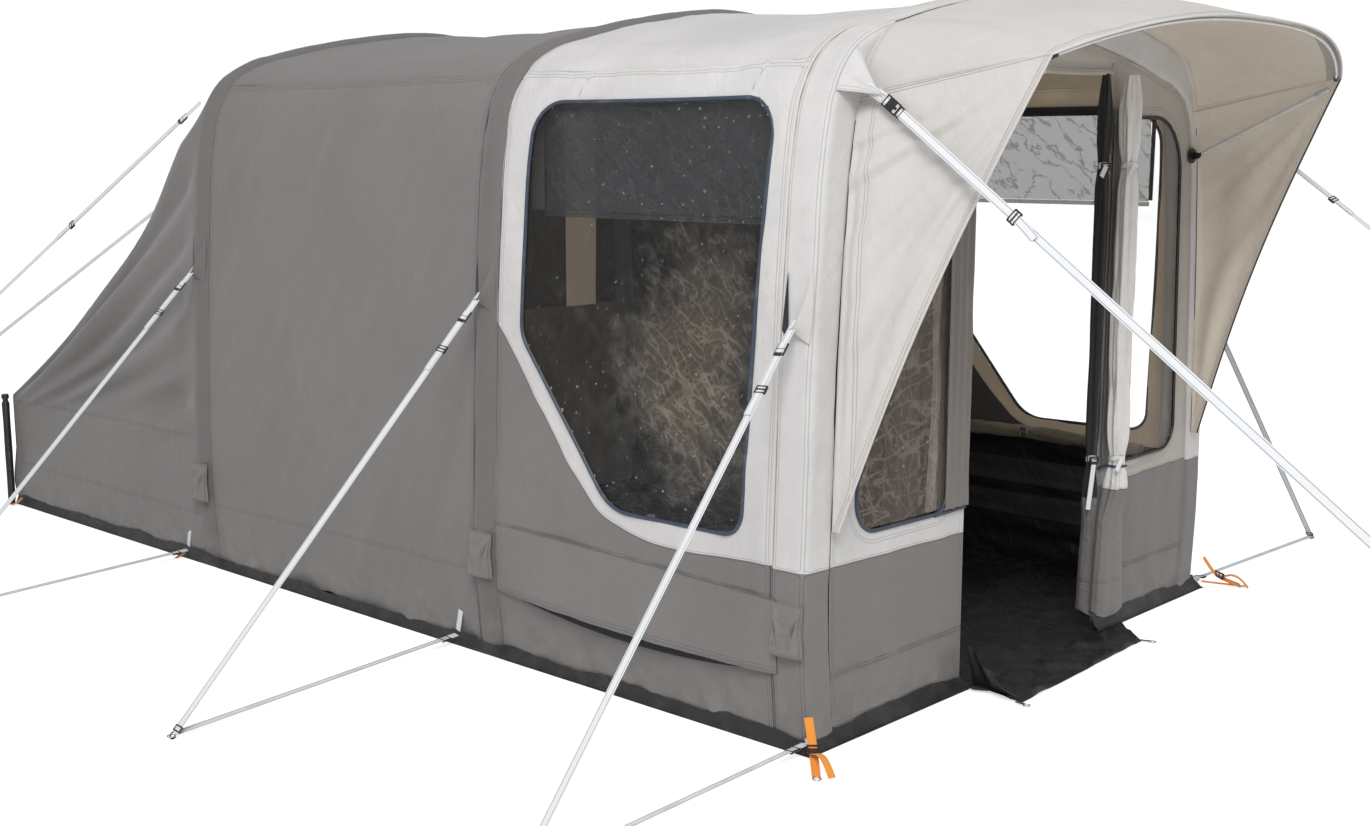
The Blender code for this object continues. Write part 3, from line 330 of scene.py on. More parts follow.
def snapped(points: Array, outline: Array, pitch: float) -> tuple[Array, Array]:
    """Pull a flat grid onto an outline.

    Args:
        points: the grid's flat places.
        outline: the closed outline.
        pitch: the grid's spacing.

    Returns:
        The moved grid, and each place's signed distance to the outline.
    """
    points = points.copy()
    dense = resampled(np.vstack([outline, outline[:1]]), 0.002)
    away = signed_distance(points, outline)
    for i, j in np.argwhere(np.abs(away) < 0.55 * pitch):
        gaps = ((dense - points[i, j]) ** 2).sum(axis=1)
        points[i, j] = dense[gaps.argmin()]
        away[i, j] = 0.0
    return points, away


def face_mean(values: Array) -> Array:
    """Return the mean of each face's four corners."""
    return (values[:-1, :-1] + values[1:, :-1] + values[1:, 1:] + values[:-1, 1:]) / 4


def grid_over(outline: Array, pitch: float) -> Array:
    """Return a flat grid over an outline's box, its places about pitch apart."""
    box = zip(outline.min(axis=0), outline.max(axis=0))
    return stacked(*spread(*((a, b, int((b - a) / pitch)) for a, b in box)))


def band(distance: Array, reach: Array | float) -> Array:
    """Return a share that rises from 0 at an edge to 1 past reach."""
    return np.clip(distance / reach, 0, 1)


def eased(share: Array) -> Array:
    """Return a share from 0 to 1 with soft ends."""
    return share**2 * (3 - 2 * share)


# Meshes


def add_fields(data: bpy.types.Mesh, fields: dict[str, Array]) -> None:
    """Keep named values on a mesh, one for each point."""
    for key, values in fields.items():
        attribute = data.attributes.new(key, "FLOAT", "POINT")
        attribute.data.foreach_set("value", np.asarray(values, np.float32).ravel())


def dress(
    piece: bpy.types.Object, slot: str, *nodes: str, body: str = "tent"
) -> bpy.types.Object:
    """Ride a finished piece on its body, and hide the solids it stands for."""
    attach(piece, body)
    if nodes:
        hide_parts(*nodes)
    LOG.info("%s: %d faces on %s", piece.name, len(piece.data.polygons), body)
    return piece


def make_object(
    name: str,
    points: Array,
    faces: Sequence,
    finishes: Sequence[bpy.types.Material],
    uvs: Array | None = None,
    slots: Sequence[int] | None = None,
    fields: dict[str, Array] | None = None,
    sharp: float = 50.0,
) -> bpy.types.Object:
    """Turn points and faces into one object at the origin.

    Args:
        name: the piece's name.
        points: one row of x, y, z for each point.
        faces: the point numbers of each face.
        finishes: the materials, in slot order.
        uvs: one flat place for each corner of each face, in order.
        slots: the material slot of each face.
        fields: named values, one for each point.
        sharp: the angle past which an edge stays sharp, in degrees.

    Returns:
        The new object.
    """
    data = bpy.data.meshes.new(name)
    data.from_pydata(np.asarray(points).tolist(), [], [list(map(int, f)) for f in faces])
    for finish in finishes:
        data.materials.append(finish)
    if slots is not None:
        data.polygons.foreach_set("material_index", np.asarray(slots, np.int32))
    if uvs is not None:
        layer = data.uv_layers.new(name="UVMap")
        layer.data.foreach_set("uv", np.asarray(uvs, np.float32).ravel())
    add_fields(data, fields or {})
    data.shade_smooth()
    data.set_sharp_from_angle(angle=math.radians(sharp))
    data.update()
    thing = bpy.data.objects.new(name, data)
    bpy.context.scene.collection.objects.link(thing)
    return thing


@dataclass
class Panel:
    """A sewn cloth: a grid of places, its flat measures and its seams."""

    places: Array
    flat: Array
    fields: dict[str, Array] = field(default_factory=dict)
    keep: Array | None = None
    outward: Triple | None = None

    def __post_init__(self) -> None:
        """Measure the cloth before anything creases it."""
        self.area = self.measured_area()

    def raw_normals(self) -> Array:
        """Return a normal at each place, on the side that the grid's order gives."""
        return np.cross(np.gradient(self.places, axis=0), np.gradient(self.places, axis=1))

    def normals(self) -> Array:
        """Return the unit normal at each place, pointing out of the tent."""
        normal = self.raw_normals()
        normal /= np.maximum(np.linalg.norm(normal, axis=2), 1e-9)[:, :, None]
        return normal * self.outward_sign(normal)

    def outward_sign(self, normal: Array) -> float:
        """Return 1 or -1, whichever turns the normals out of the tent, or the given way."""
        middle = tuple(count // 2 for count in self.places.shape[:2])
        outward = self.places[middle] - TENT_MIDDLE if self.outward is None else self.outward
        return 1.0 if normal[middle] @ outward >= 0 else -1.0

    def push(self, height: Array) -> None:
        """Move each place along its normal."""
        self.places = self.places + self.normals() * height[:, :, None]

    def mirror(self, side: Side) -> None:
        """Turn a cloth that was laid out on the left over to its own side."""
        self.places = self.places * (-side.value, 1, 1)

    def measured_area(self) -> float:
        """Return the area of the faces that are kept, in square metres."""
        a, b = self.places[:-1, :-1], self.places[1:, :-1]
        c, d = self.places[1:, 1:], self.places[:-1, 1:]
        size = np.linalg.norm(np.cross(b - a, c - a), axis=2)
        size = size + np.linalg.norm(np.cross(c - a, d - a), axis=2)
        if self.keep is not None:
            size = size[self.keep]
        return float(size.sum() / 2)

    def solid(
        self, name: str, outer: bpy.types.Material, inner: bpy.types.Material, thickness: float
    ) -> bpy.types.Object:
        """Give the cloth its thickness, with one finish outside and one inside.

        Args:
            name: the piece's name.
            outer: the finish of the side that faces out of the tent.
            inner: the finish of the side that faces in, and of the cut edges.
            thickness: the cloth's thickness, inwards, in metres.

        Returns:
            The new object.
        """
        normal = self.normals()
        flip = self.outward_sign(self.raw_normals()) < 0
        rows, columns = self.places.shape[:2]
        count = rows * columns
        index = np.arange(count).reshape(rows, columns)
        quads = stacked(index[:-1, :-1], index[1:, :-1], index[1:, 1:], index[:-1, 1:])
        keep = np.ones(quads.shape[:2], bool) if self.keep is None else self.keep
        outside = quads[keep]
        if flip:
            outside = outside[:, ::-1]
        starts = outside.ravel()
        ends = np.roll(outside, -1, axis=1).ravel()
        code = starts.astype(np.int64) * count + ends
        free = ~np.isin(ends.astype(np.int64) * count + starts, code)
        first, last = starts[free], ends[free]
        rim = stacked(last, first, first + count, last + count)
        faces = np.vstack([outside, outside[:, ::-1] + count, rim])
        points = np.stack([self.places, self.places - normal * thickness]).reshape(-1, 3)
        used, faces = np.unique(faces, return_inverse=True)
        faces = faces.reshape(-1, 4)
        flat = np.vstack([self.flat.reshape(-1, 2)] * 2)[used]
        fields = {k: np.tile(v.ravel(), 2)[used] for k, v in self.fields.items()}
        slots = np.zeros(len(faces), np.int32)
        slots[len(outside) :] = 1
        return make_object(
            name, points[used], faces, (outer, inner), flat[faces.ravel()], slots, fields
        )

    def sew(
        self, name: str, finishes: Sequence[bpy.types.Material], slot: str, size: Sequence[float],
        held: str, *nodes: str, thickness: float = CLOTH, body: str = "tent",
    ) -> None:
        """Args:
            name: the piece's name.
            finishes: the finish outside and the finish inside.
            slot: its material slot; not used.
            size: the flat cut's length and width, in metres; not used.
            held: how the cloth is held; not used.
            nodes: the solids that it stands for.
            thickness: the cloth's thickness, in metres.
            body: the body that it rides on.
        """
        piece = self.solid(name, finishes[0], finishes[-1], thickness)
        dress(piece, slot, *nodes, body=body)


def sweep_grid(path: Array, up: Array, section: Array, scale: Array | None = None) -> Array:
    """Carry a section along a path.

    Args:
        path: the places along it.
        up: the direction of the section's second axis at each place.
        section: (across, up) pairs.
        scale: the section's size at each place.

    Returns:
        A grid of places, one row for each place of the path.
    """
    ahead = np.gradient(path, axis=0)
    ahead /= np.maximum(np.linalg.norm(ahead, axis=1), 1e-9)[:, None]
    up = np.broadcast_to(np.asarray(up, float), path.shape)
    across = np.cross(ahead, up)
    across /= np.maximum(np.linalg.norm(across, axis=1), 1e-9)[:, None]
    lift = np.cross(across, ahead)
    size = np.ones(len(path)) if scale is None else scale
    grid = path[:, None, :] + size[:, None, None] * (
        across[:, None, :] * section[None, :, 0:1] + lift[:, None, :] * section[None, :, 1:2]
    )
    return grid


@dataclass
class Skin:
    """Faces gathered from several shapes before they become one mesh."""

    points: list[Array] = field(default_factory=list)
    faces: list[list[int]] = field(default_factory=list)
    uvs: list[Pair] = field(default_factory=list)
    count: int = 0

    def tube(self, grid: Array, closed: bool = False) -> None:
        """Add a tube whose sections are the grid's rows, with ends unless it is closed."""
        rows, sides = grid.shape[:2]
        middle = grid.mean(axis=1)
        run = distance_along(middle)
        round_it = np.linalg.norm(np.roll(grid[0], -1, axis=0) - grid[0], axis=1)
        girth = np.concatenate([[0], np.cumsum(round_it)])
        last = rows if closed else rows - 1
        for i in range(last):
            k = (i + 1) % rows
            top = run[i + 1] if i + 1 < rows else run[-1] + np.linalg.norm(middle[0] - middle[-1])
            for j in range(sides):
                m = (j + 1) % sides
                corner = (i * sides + j, i * sides + m, k * sides + m, k * sides + j)
                self.faces.append([self.count + c for c in corner])
                self.uvs += [(girth[j], run[i]), (girth[j + 1], run[i])]
                self.uvs += [(girth[j + 1], top), (girth[j], top)]
        if not closed:
            ends = (range(sides - 1, -1, -1), range((rows - 1) * sides, rows * sides))
            for end in ends:
                self.faces.append([self.count + c for c in end])
                self.uvs += [(0.0, 0.0)] * sides
        self.points.append(grid.reshape(-1, 3))
        self.count += rows * sides

    def box(self, centre: Array, axes: Array, size: Triple, bevel: float) -> None:
        """Add a bar with bevelled edges.

        Args:
            centre: its middle.
            axes: three unit rows: along it, across it and up it.
            size: its length, width and height.
            bevel: how far its edges are cut back.
        """
        half = np.array(size) / 2
        _, wide, high = half
        cut = min(bevel, wide * 0.9, high * 0.9)
        ring = np.array([
            (-wide + cut, -high), (wide - cut, -high), (wide, -high + cut), (wide, high - cut),
            (wide - cut, high), (-wide + cut, high), (-wide, high - cut), (-wide, -high + cut),
        ])
        rows = []
        ends = ((-half[0], cut), (-half[0] + cut, 0), (half[0] - cut, 0), (half[0], cut))
        for place, shrink in ends:
            scale = np.array((1 - shrink / wide, 1 - shrink / high))
            shaped = ring * scale
            rows.append(centre + axes[0] * place + shaped[:, :1] * axes[1] + shaped[:, 1:] * axes[2])
        self.tube(np.array(rows))

    def rod(self, path: Array, radius: float, sides: int = 8, closed: bool = False) -> None:
        """Add a round bar along a path."""
        turn = turns(sides)
        section = radius * stacked(np.cos(turn), np.sin(turn))
        ahead = path[-1] - path[0] if not closed else path[len(path) // 4] - path[0]
        helper = np.array((0.0, 0.0, 1.0))
        if abs(ahead @ helper) > 0.9 * np.linalg.norm(ahead):
            helper = np.array((0.0, 1.0, 0.0))
        if closed:
            helper = np.cross(path[len(path) // 4] - path[0], path[len(path) // 2] - path[0])
        grid = sweep_grid(path, helper, section)
        if closed:
            wrapped = np.vstack([path[-1:], path, path[:1]])
            grid = sweep_grid(wrapped, helper, section)[1:-1]
        self.tube(grid, closed)

    def object(self, name: str, finish: bpy.types.Material, sharp: float = 50.0) -> bpy.types.Object:
        """Make one object of everything that was added, with its faces turned outwards."""
        points, uvs = np.vstack(self.points), np.array(self.uvs)
        made = make_object(name, points, self.faces, [finish], uvs, sharp=sharp)
        bm = bmesh.new()
        bm.from_mesh(made.data)
        bmesh.ops.recalc_face_normals(bm, faces=bm.faces)
        bm.to_mesh(made.data)
        bm.free()
        return made

    def piece(
        self, name: str, finish: bpy.types.Material, slot: str, *nodes: str,
        body: str = "tent", sharp: float = 50.0,
    ) -> bpy.types.Object:
        """Make one dressed piece of everything that was added."""
        return dress(self.object(name, finish, sharp), slot, *nodes, body=body)


# Shader groups, each built once


@dataclass
class NodeMaker:
    """A short way to place and join nodes in one tree."""

    tree: bpy.types.NodeTree

    def add(self, kind: str, **values: object) -> bpy.types.Node:
        """Place a node and set its properties."""
        node = self.tree.nodes.new(kind)
        for key, value in values.items():
            setattr(node, key, value)
        return node

    def join(self, start: bpy.types.NodeSocket, end: bpy.types.NodeSocket) -> None:
        """Link an output to an input."""
        self.tree.links.new(start, end)

    def feed(self, socket: bpy.types.NodeSocket, value: object) -> None:
        """Link a socket to an input, or set the input's own value."""
        if isinstance(value, bpy.types.NodeSocket):
            self.join(value, socket)
        elif isinstance(value, tuple) and len(value) == 3 and socket.type == "RGBA":
            socket.default_value = (*value, 1.0)
        else:
            socket.default_value = value

    def math(self, operation: str, *values: object) -> bpy.types.NodeSocket:
        """Place a Math node and return its result."""
        node = self.add("ShaderNodeMath", operation=operation)
        for socket, value in zip(node.inputs, values):
            self.feed(socket, value)
        return node.outputs[0]

    def vector(self, operation: str, *values: object) -> bpy.types.NodeSocket:
        """Place a Vector Math node and return its vector."""
        node = self.add("ShaderNodeVectorMath", operation=operation)
        for socket, value in zip(node.inputs, values):
            self.feed(socket, value)
        return node.outputs[0]

    def scaled(self, vector: object, share: object) -> bpy.types.NodeSocket:
        """Scale a colour or a place by a share and return it."""
        node = self.add("ShaderNodeVectorMath", operation="SCALE")
        self.feed(node.inputs[0], vector)
        self.feed(node.inputs["Scale"], share)
        return node.outputs[0]

    def parts(self, vector: bpy.types.NodeSocket) -> Sequence[bpy.types.NodeSocket]:
        """Return a vector's X, Y and Z."""
        node = self.add("ShaderNodeSeparateXYZ")
        self.join(vector, node.inputs[0])
        return node.outputs

    def flat(self) -> bpy.types.NodeSocket:
        """Return the piece's own flat measures."""
        return self.add("ShaderNodeUVMap").outputs[0]

    def place(self) -> bpy.types.NodeSocket:
        """Return the place in the tent's own frame."""
        return self.add("ShaderNodeTexCoord").outputs["Object"]

    def named(self, key: str) -> bpy.types.NodeSocket:
        """Return the values that a piece keeps under a name."""
        return self.add("ShaderNodeAttribute", attribute_name=key).outputs["Fac"]

    def bump(self, shader: bpy.types.Node, height: bpy.types.NodeSocket, strength: float) -> None:
        """Raise a shader's surface by a height in metres."""
        node = self.add("ShaderNodeBump")
        node.inputs["Strength"].default_value = strength
        node.inputs["Distance"].default_value = 1.0
        self.join(height, node.inputs["Height"])
        self.join(node.outputs[0], shader.inputs["Normal"])

    def noise(
        self, vector: object, scale: float, detail: object = 2.0, rough: float = 0.5
    ) -> bpy.types.NodeSocket:
        """Place a noise texture and return its value."""
        node = self.add("ShaderNodeTexNoise")
        self.feed(node.inputs["Vector"], vector)
        node.inputs["Scale"].default_value = scale
        self.feed(node.inputs["Detail"], detail)
        node.inputs["Roughness"].default_value = rough
        return node.outputs["Fac"]

    def span(
        self, value: object, low: float, high: float, to_low: float, to_high: float
    ) -> bpy.types.NodeSocket:
        """Map a value from one range to another, smoothly, and return it."""
        node = self.add("ShaderNodeMapRange", interpolation_type="SMOOTHSTEP")
        for key, entry in zip(
            ("Value", "From Min", "From Max", "To Min", "To Max"), (value, low, high, to_low, to_high)
        ):
            self.feed(node.inputs[key], entry)
        return node.outputs["Result"]

    def mix(self, share: object, first: object, second: object) -> bpy.types.NodeSocket:
        """Mix two colours and return the result."""
        node = self.add("ShaderNodeMix", data_type="RGBA")
        self.feed(node.inputs[0], share)
        self.feed(node.inputs[6], first)
        self.feed(node.inputs[7], second)
        return node.outputs[2]

    def group(self, tree: bpy.types.NodeTree, **values: object) -> bpy.types.Node:
        """Place a shared group and set its inputs, named with underscores for spaces."""
        node = self.add("ShaderNodeGroup")
        node.node_tree = tree
        for key, value in values.items():
            self.feed(node.inputs[key.replace("_", " ")], value)
        return node


def new_group(name: str, inputs: dict[str, float], outputs: Sequence[str]) -> tuple:
    """Start a shader group.

    Args:
        name: the group's name.
        inputs: its value inputs with their defaults.
        outputs: its value outputs.

    Returns:
        The tree, its node maker, its input node and its output node.
    """
    tree = bpy.data.node_groups.new(name, "ShaderNodeTree")
    for key, value in inputs.items():
        socket = tree.interface.new_socket(key, in_out="INPUT", socket_type="NodeSocketFloat")
        socket.default_value = value
    for key in outputs:
        tree.interface.new_socket(key, in_out="OUTPUT", socket_type="NodeSocketFloat")
    maker = NodeMaker(tree)
    return tree, maker, maker.add("NodeGroupInput"), maker.add("NodeGroupOutput")


class Groups:
    """The effects that several finishes share."""

    def __init__(self) -> None:
        """Build each group once."""
        self.weave = self.build_weave()
        self.creases = self.build_creases()
        self.mottle = self.build_mottle()
        self.seam = self.build_seam()
        self.dust = self.build_dust()

    @staticmethod
    def build_weave() -> bpy.types.NodeTree:
        """Build plain-weave threads over the cloth's own flat measures."""
        tree, make, start, end = new_group(
            "weave", {"Thread": 0.0012, "Depth": 0.0001}, ("Height", "Shade")
        )
        parts = make.parts(make.flat())
        rate = make.math("DIVIDE", 2 * math.pi, start.outputs["Thread"])
        along = make.math("SINE", make.math("MULTIPLY", parts["X"], rate))
        up = make.math("SINE", make.math("MULTIPLY", parts["Y"], rate))
        both = make.math("MULTIPLY", along, up)
        make.join(make.math("MULTIPLY", both, start.outputs["Depth"]), end.inputs["Height"])
        make.join(make.math("MULTIPLY_ADD", both, 0.5, 0.5), end.inputs["Shade"])
        return tree

    @staticmethod
    def build_creases() -> bpy.types.NodeTree:
        """Build fine creases that run a given way over the cloth."""
        inputs = {"Size": 0.05, "Stretch": 3.0, "Turn": 0.4, "Depth": 0.001, "Detail": 3.0}
        tree, make, start, end = new_group("creases", inputs, ("Height", "Line"))
        turned = make.add("ShaderNodeVectorRotate", rotation_type="Z_AXIS")
        make.join(make.flat(), turned.inputs["Vector"])
        make.join(start.outputs["Turn"], turned.inputs["Angle"])
        scale = make.add("ShaderNodeCombineXYZ")
        make.join(make.math("DIVIDE", 1.0, start.outputs["Size"]), scale.inputs["X"])
        long_size = make.math("MULTIPLY", start.outputs["Size"], start.outputs["Stretch"])
        make.join(make.math("DIVIDE", 1.0, long_size), scale.inputs["Y"])
        place = make.vector("MULTIPLY", turned.outputs[0], scale.outputs[0])
        value = make.noise(place, 1.0, start.outputs["Detail"], 0.55)
        fold = make.math("ABSOLUTE", make.math("SUBTRACT", value, 0.5))
        line = make.span(fold, 0.0, 0.09, 1.0, 0.0)
        soft = make.math("MULTIPLY_ADD", line, 0.45, value)
        make.join(make.math("MULTIPLY", soft, start.outputs["Depth"]), end.inputs["Height"])
        make.join(line, end.inputs["Line"])
        return tree

    @staticmethod
    def build_mottle() -> bpy.types.NodeTree:
        """Build slow and fast changes of tone."""
        tree, make, start, end = new_group("mottle", {"Size": 0.3}, ("Shade",))
        place = make.scaled(make.place(), make.math("DIVIDE", 1.0, start.outputs["Size"]))
        slow = make.noise(place, 1.0, 3.0)
        fast = make.noise(place, 9.0, 2.0)
        make.join(make.math("MULTIPLY_ADD", fast, 0.3, make.math("MULTIPLY", slow, 0.7)), end.inputs[0])
        return tree

    @staticmethod
    def build_seam() -> bpy.types.NodeTree:
        """Build a sewn seam from the distance to its line: a ridge between two sunk rows."""
        tree, make, start, end = new_group(
            "seam", {"Distance": 1.0, "Width": 0.0036}, ("Height", "Line")
        )
        share = make.math("DIVIDE", start.outputs["Distance"], start.outputs["Width"])
        ridge = make.span(share, 0.0, 0.9, 1.0, 0.0)
        row = make.math("ABSOLUTE", make.math("SUBTRACT", share, 1.2))
        groove = make.span(row, 0.0, 0.6, 1.0, 0.0)
        raised, sunk = make.math("MULTIPLY", ridge, 0.0004), make.math("MULTIPLY", groove, 0.0005)
        make.join(make.math("SUBTRACT", raised, sunk), end.inputs["Height"])
        make.join(groove, end.inputs["Line"])
        return tree

    @staticmethod
    def build_dust() -> bpy.types.NodeTree:
        """Build the dust and splashes that gather near the ground."""
        tree, make, start, end = new_group("ground dust", {"Top": 0.25}, ("Mask",))
        place = make.place()
        fade = make.math("DIVIDE", make.parts(place)["Z"], start.outputs["Top"])
        low = make.span(fade, 0.0, 1.0, 1.0, 0.0)
        patch = make.span(make.noise(place, 14.0, 4.0, 0.6), 0.40, 0.75, 0.0, 1.0)
        make.join(make.math("MULTIPLY", low, patch), end.inputs["Mask"])
        return tree


# Finishes


def new_material(name: str, roughness: float, metallic: float = 0.0) -> tuple:
    """Start a material and return it with its node maker and its shader."""
    made = bpy.data.materials.new(name)
    made.use_nodes = True
    shader = made.node_tree.nodes["Principled BSDF"]
    shader.inputs["Roughness"].default_value = roughness
    shader.inputs["Metallic"].default_value = metallic
    return made, NodeMaker(made.node_tree), shader


@dataclass(frozen=True)
class ClothFinish:
    """A woven finish: its colours, its thread and how it creases."""

    name: str
    colour: Colour
    second: Colour | None = None
    roughness: float = 0.72
    thread: float = 0.0011
    crease_size: float = 0.06
    crease_depth: float = 0.0012
    crease_turn: float = 0.5
    contrast: float = 0.06
    dust: Colour = (0.42, 0.38, 0.33)
    dust_amount: float = 0.25
    sheen: float = 0.15
    glow: float = 0.0
    opacity: float = 1.0

    def build(self, groups: Groups) -> bpy.types.Material:
        """Build the material; its glow stands for the daylight that thin cloth lets through.

        Args:
            groups: the shared effects.

        Returns:
            A material that reads the cloth's flat measures, its zone and its seams.
        """
        made, make, shader = new_material(self.name, self.roughness)
        weave = make.group(groups.weave, Thread=self.thread, Depth=self.thread * 0.08)
        crease = make.group(
            groups.creases, Size=self.crease_size, Turn=self.crease_turn, Depth=self.crease_depth
        )
        mottle = make.group(groups.mottle, Size=0.35)
        away = make.math("ABSOLUTE", make.math("SUBTRACT", make.named("seam"), 1.0))
        seam = make.group(groups.seam, Distance=away)
        base: object = self.colour
        if self.second is not None:
            below = make.span(make.named("zone"), -0.0008, 0.0008, 1.0, 0.0)
            base = make.mix(below, self.colour, self.second)
        tone = make.span(mottle.outputs[0], 0.3, 0.7, 1.0 - self.contrast, 1.0 + self.contrast)
        thread = make.span(weave.outputs["Shade"], 0.0, 1.0, 0.97, 1.02)
        # Seams are drawn darker along their sunk rows: painted shade in the grooves.
        line = make.span(seam.outputs["Line"], 0.0, 1.0, 1.0, 0.68)
        shade = make.math("MULTIPLY", make.math("MULTIPLY", tone, thread), line)
        lit = make.scaled(base, shade)
        dust = make.group(groups.dust, Top=0.22)
        share = make.math("MULTIPLY", dust.outputs[0], self.dust_amount)
        make.join(make.mix(share, lit, self.dust), shader.inputs["Base Color"])
        rough = make.span(mottle.outputs[0], 0.3, 0.7, self.roughness - 0.06, self.roughness + 0.06)
        make.join(rough, shader.inputs["Roughness"])
        height = make.math("ADD", weave.outputs["Height"], crease.outputs["Height"])
        make.bump(shader, make.math("ADD", height, seam.outputs["Height"]), 1.0)
        shader.inputs["Sheen Weight"].default_value = self.sheen
        shader.inputs["Sheen Roughness"].default_value = 0.5
        if self.glow:
            make.join(lit, shader.inputs["Emission Color"])
            shader.inputs["Emission Strength"].default_value = self.glow
        if self.opacity < 1.0:
            folded = make.span(crease.outputs["Line"], 0.80, 1.0, self.opacity, self.opacity + 0.13)
            make.join(folded, shader.inputs["Alpha"])
        return made


@dataclass(frozen=True)
class FilmFinish:
    """Clear window film: see-through, with painted reflections: a warm hazy patch round one spot, and glints
    along its creases and in small flecks.
    """

    name: str
    colour: Colour = (0.95, 0.95, 0.94)
    # The warm colour, the haze, the spot and its reach paint a warm hazy reflection; crease sets how strongly
    # the painted glints on the creases show.
    warm: Colour = (0.90, 0.77, 0.64)
    clear: float = 0.020
    haze: float = 0.075
    shine: float = 0.10
    crease: float = 0.075
    size: float = 0.016
    turn: float = 0.9
    glow_spot: Pair = (-1.86, 1.06)
    glow_reach: float = 0.40

    def build(self, groups: Groups) -> bpy.types.Material:
        """Build the material: the share of light that it reflects is its opacity, raised in painted glints
        and a painted warm reflection.
        """
        made, make, shader = new_material(self.name, 0.16, 1.0)
        crease = make.group(
            groups.creases, Size=self.size * 2.6, Stretch=3.2, Turn=self.turn, Depth=0.0006, Detail=1.2
        )
        fine = make.group(
            groups.creases, Size=self.size * 1.25, Stretch=2.6, Turn=self.turn + 1.2, Depth=0.0002,
            Detail=0.6,
        )
        make.bump(shader, make.math("ADD", crease.outputs["Height"], fine.outputs["Height"]), 0.4)
        # Painted reflection: a warm hazy patch round one spot, its edge made uneven by noise.
        patch = make.group(groups.mottle, Size=0.42)
        uv = make.flat()
        away = make.add("ShaderNodeVectorMath", operation="DISTANCE")
        make.join(uv, away.inputs[0])
        away.inputs[1].default_value = (*self.glow_spot, 0.0)
        uneven = make.math("SUBTRACT", patch.outputs[0], 0.5)
        wobble = make.math("MULTIPLY_ADD", uneven, 0.9, away.outputs["Value"])
        near = make.span(wobble, self.glow_reach * 0.25, self.glow_reach, 1.0, 0.0)
        # Painted glints: the crease lines reflect more, most of all near the painted reflection, and small
        # flecks reflect more everywhere.
        sharp = make.span(crease.outputs["Line"], 0.72, 1.0, 0.0, 1.0)
        hair_glints = make.span(fine.outputs["Line"], 0.55, 1.0, 0.0, 0.7)
        crease_glints = make.math("MAXIMUM", sharp, hair_glints)
        lines = make.math("MULTIPLY", crease_glints, make.math("MULTIPLY_ADD", near, 0.88, 0.12))
        painted_fleck = make.span(make.noise(uv, 75.0, 0.5), 0.72, 0.80, 0.0, 2.6)
        lines = make.math("MAXIMUM", lines, painted_fleck)
        facing = make.add("ShaderNodeLayerWeight")
        facing.inputs["Blend"].default_value = 0.35
        gloss = make.math("POWER", facing.outputs["Facing"], 3.0)
        share = make.math("MULTIPLY_ADD", gloss, self.shine, self.clear)
        share = make.math("MULTIPLY_ADD", near, self.haze, share)
        make.join(make.math("MULTIPLY_ADD", lines, self.crease, share), shader.inputs["Alpha"])
        # The painted reflection's warm colour, near the spot.
        make.join(make.mix(near, self.colour, self.warm), shader.inputs["Base Color"])
        return made


@dataclass(frozen=True)
class MouldedFinish:
    """Moulded plastic, metal or coated sheet with scuffs."""

    name: str
    colour: Colour
    scuff: Colour
    roughness: float = 0.42
    metallic: float = 0.0
    grain: float = 0.00008
    scale: float = 240.0

    def build(self, groups: Groups) -> bpy.types.Material:
        """Build the material with its grain and its scuffed patches."""
        made, make, shader = new_material(self.name, self.roughness, self.metallic)
        grain = make.noise(make.place(), self.scale, 3.0)
        mottle = make.group(groups.mottle, Size=0.04)
        worn = make.span(mottle.outputs[0], 0.50, 0.72, 0.0, 0.6)
        make.join(make.mix(worn, self.colour, self.scuff), shader.inputs["Base Color"])
        rough = make.span(mottle.outputs[0], 0.3, 0.7, self.roughness - 0.1, self.roughness + 0.12)
        make.join(rough, shader.inputs["Roughness"])
        make.bump(shader, make.math("MULTIPLY", grain, self.grain), 0.6)
        return made


@dataclass(frozen=True)
class WebbingFinish:
    """Woven webbing: a ribbed weave, with edge stripes where it has them."""

    name: str
    colour: Colour
    stripe: Colour
    width: float = WEBBING_WIDTH
    rib: float = 0.0016

    def build(self, groups: Groups) -> bpy.types.Material:
        """Build the material from the strap's flat measures, its middle at u = 0."""
        made, make, shader = new_material(self.name, 0.66)
        parts = make.parts(make.flat())
        across = make.math("ABSOLUTE", parts["X"])
        edge = make.math("ABSOLUTE", make.math("SUBTRACT", across, self.width * 0.34))
        stripe = make.span(edge, 0.0006, 0.0014, 1.0, 0.0)
        slant = make.math("ADD", parts["Y"], across)
        wave = make.math("SINE", make.math("MULTIPLY", slant, 2 * math.pi / self.rib))
        tone = make.span(wave, -1.0, 1.0, 0.90, 1.04)
        lit = make.scaled(make.mix(stripe, self.colour, self.stripe), tone)
        dust = make.group(groups.dust, Top=0.12)
        share = make.math("MULTIPLY", dust.outputs[0], 0.35)
        make.join(make.mix(share, lit, (0.40, 0.36, 0.31)), shader.inputs["Base Color"])
        make.bump(shader, make.math("MULTIPLY", wave, 0.00012), 0.7)
        shader.inputs["Sheen Weight"].default_value = 0.2
        return made


PALE = (0.625, 0.614, 0.610)
DARK = (0.186, 0.176, 0.172)
WARM = (0.600, 0.573, 0.552)
BEIGE = (0.510, 0.455, 0.390)
INNER_BEIGE = (0.500, 0.410, 0.300)
# The pale cloth painted darker and warmer, as painted shade under the canopy.
CANOPY_SHADE_GREY = (0.455, 0.420, 0.385)
CHARCOAL = (0.017, 0.019, 0.024)
BLACK = (0.012, 0.012, 0.013)


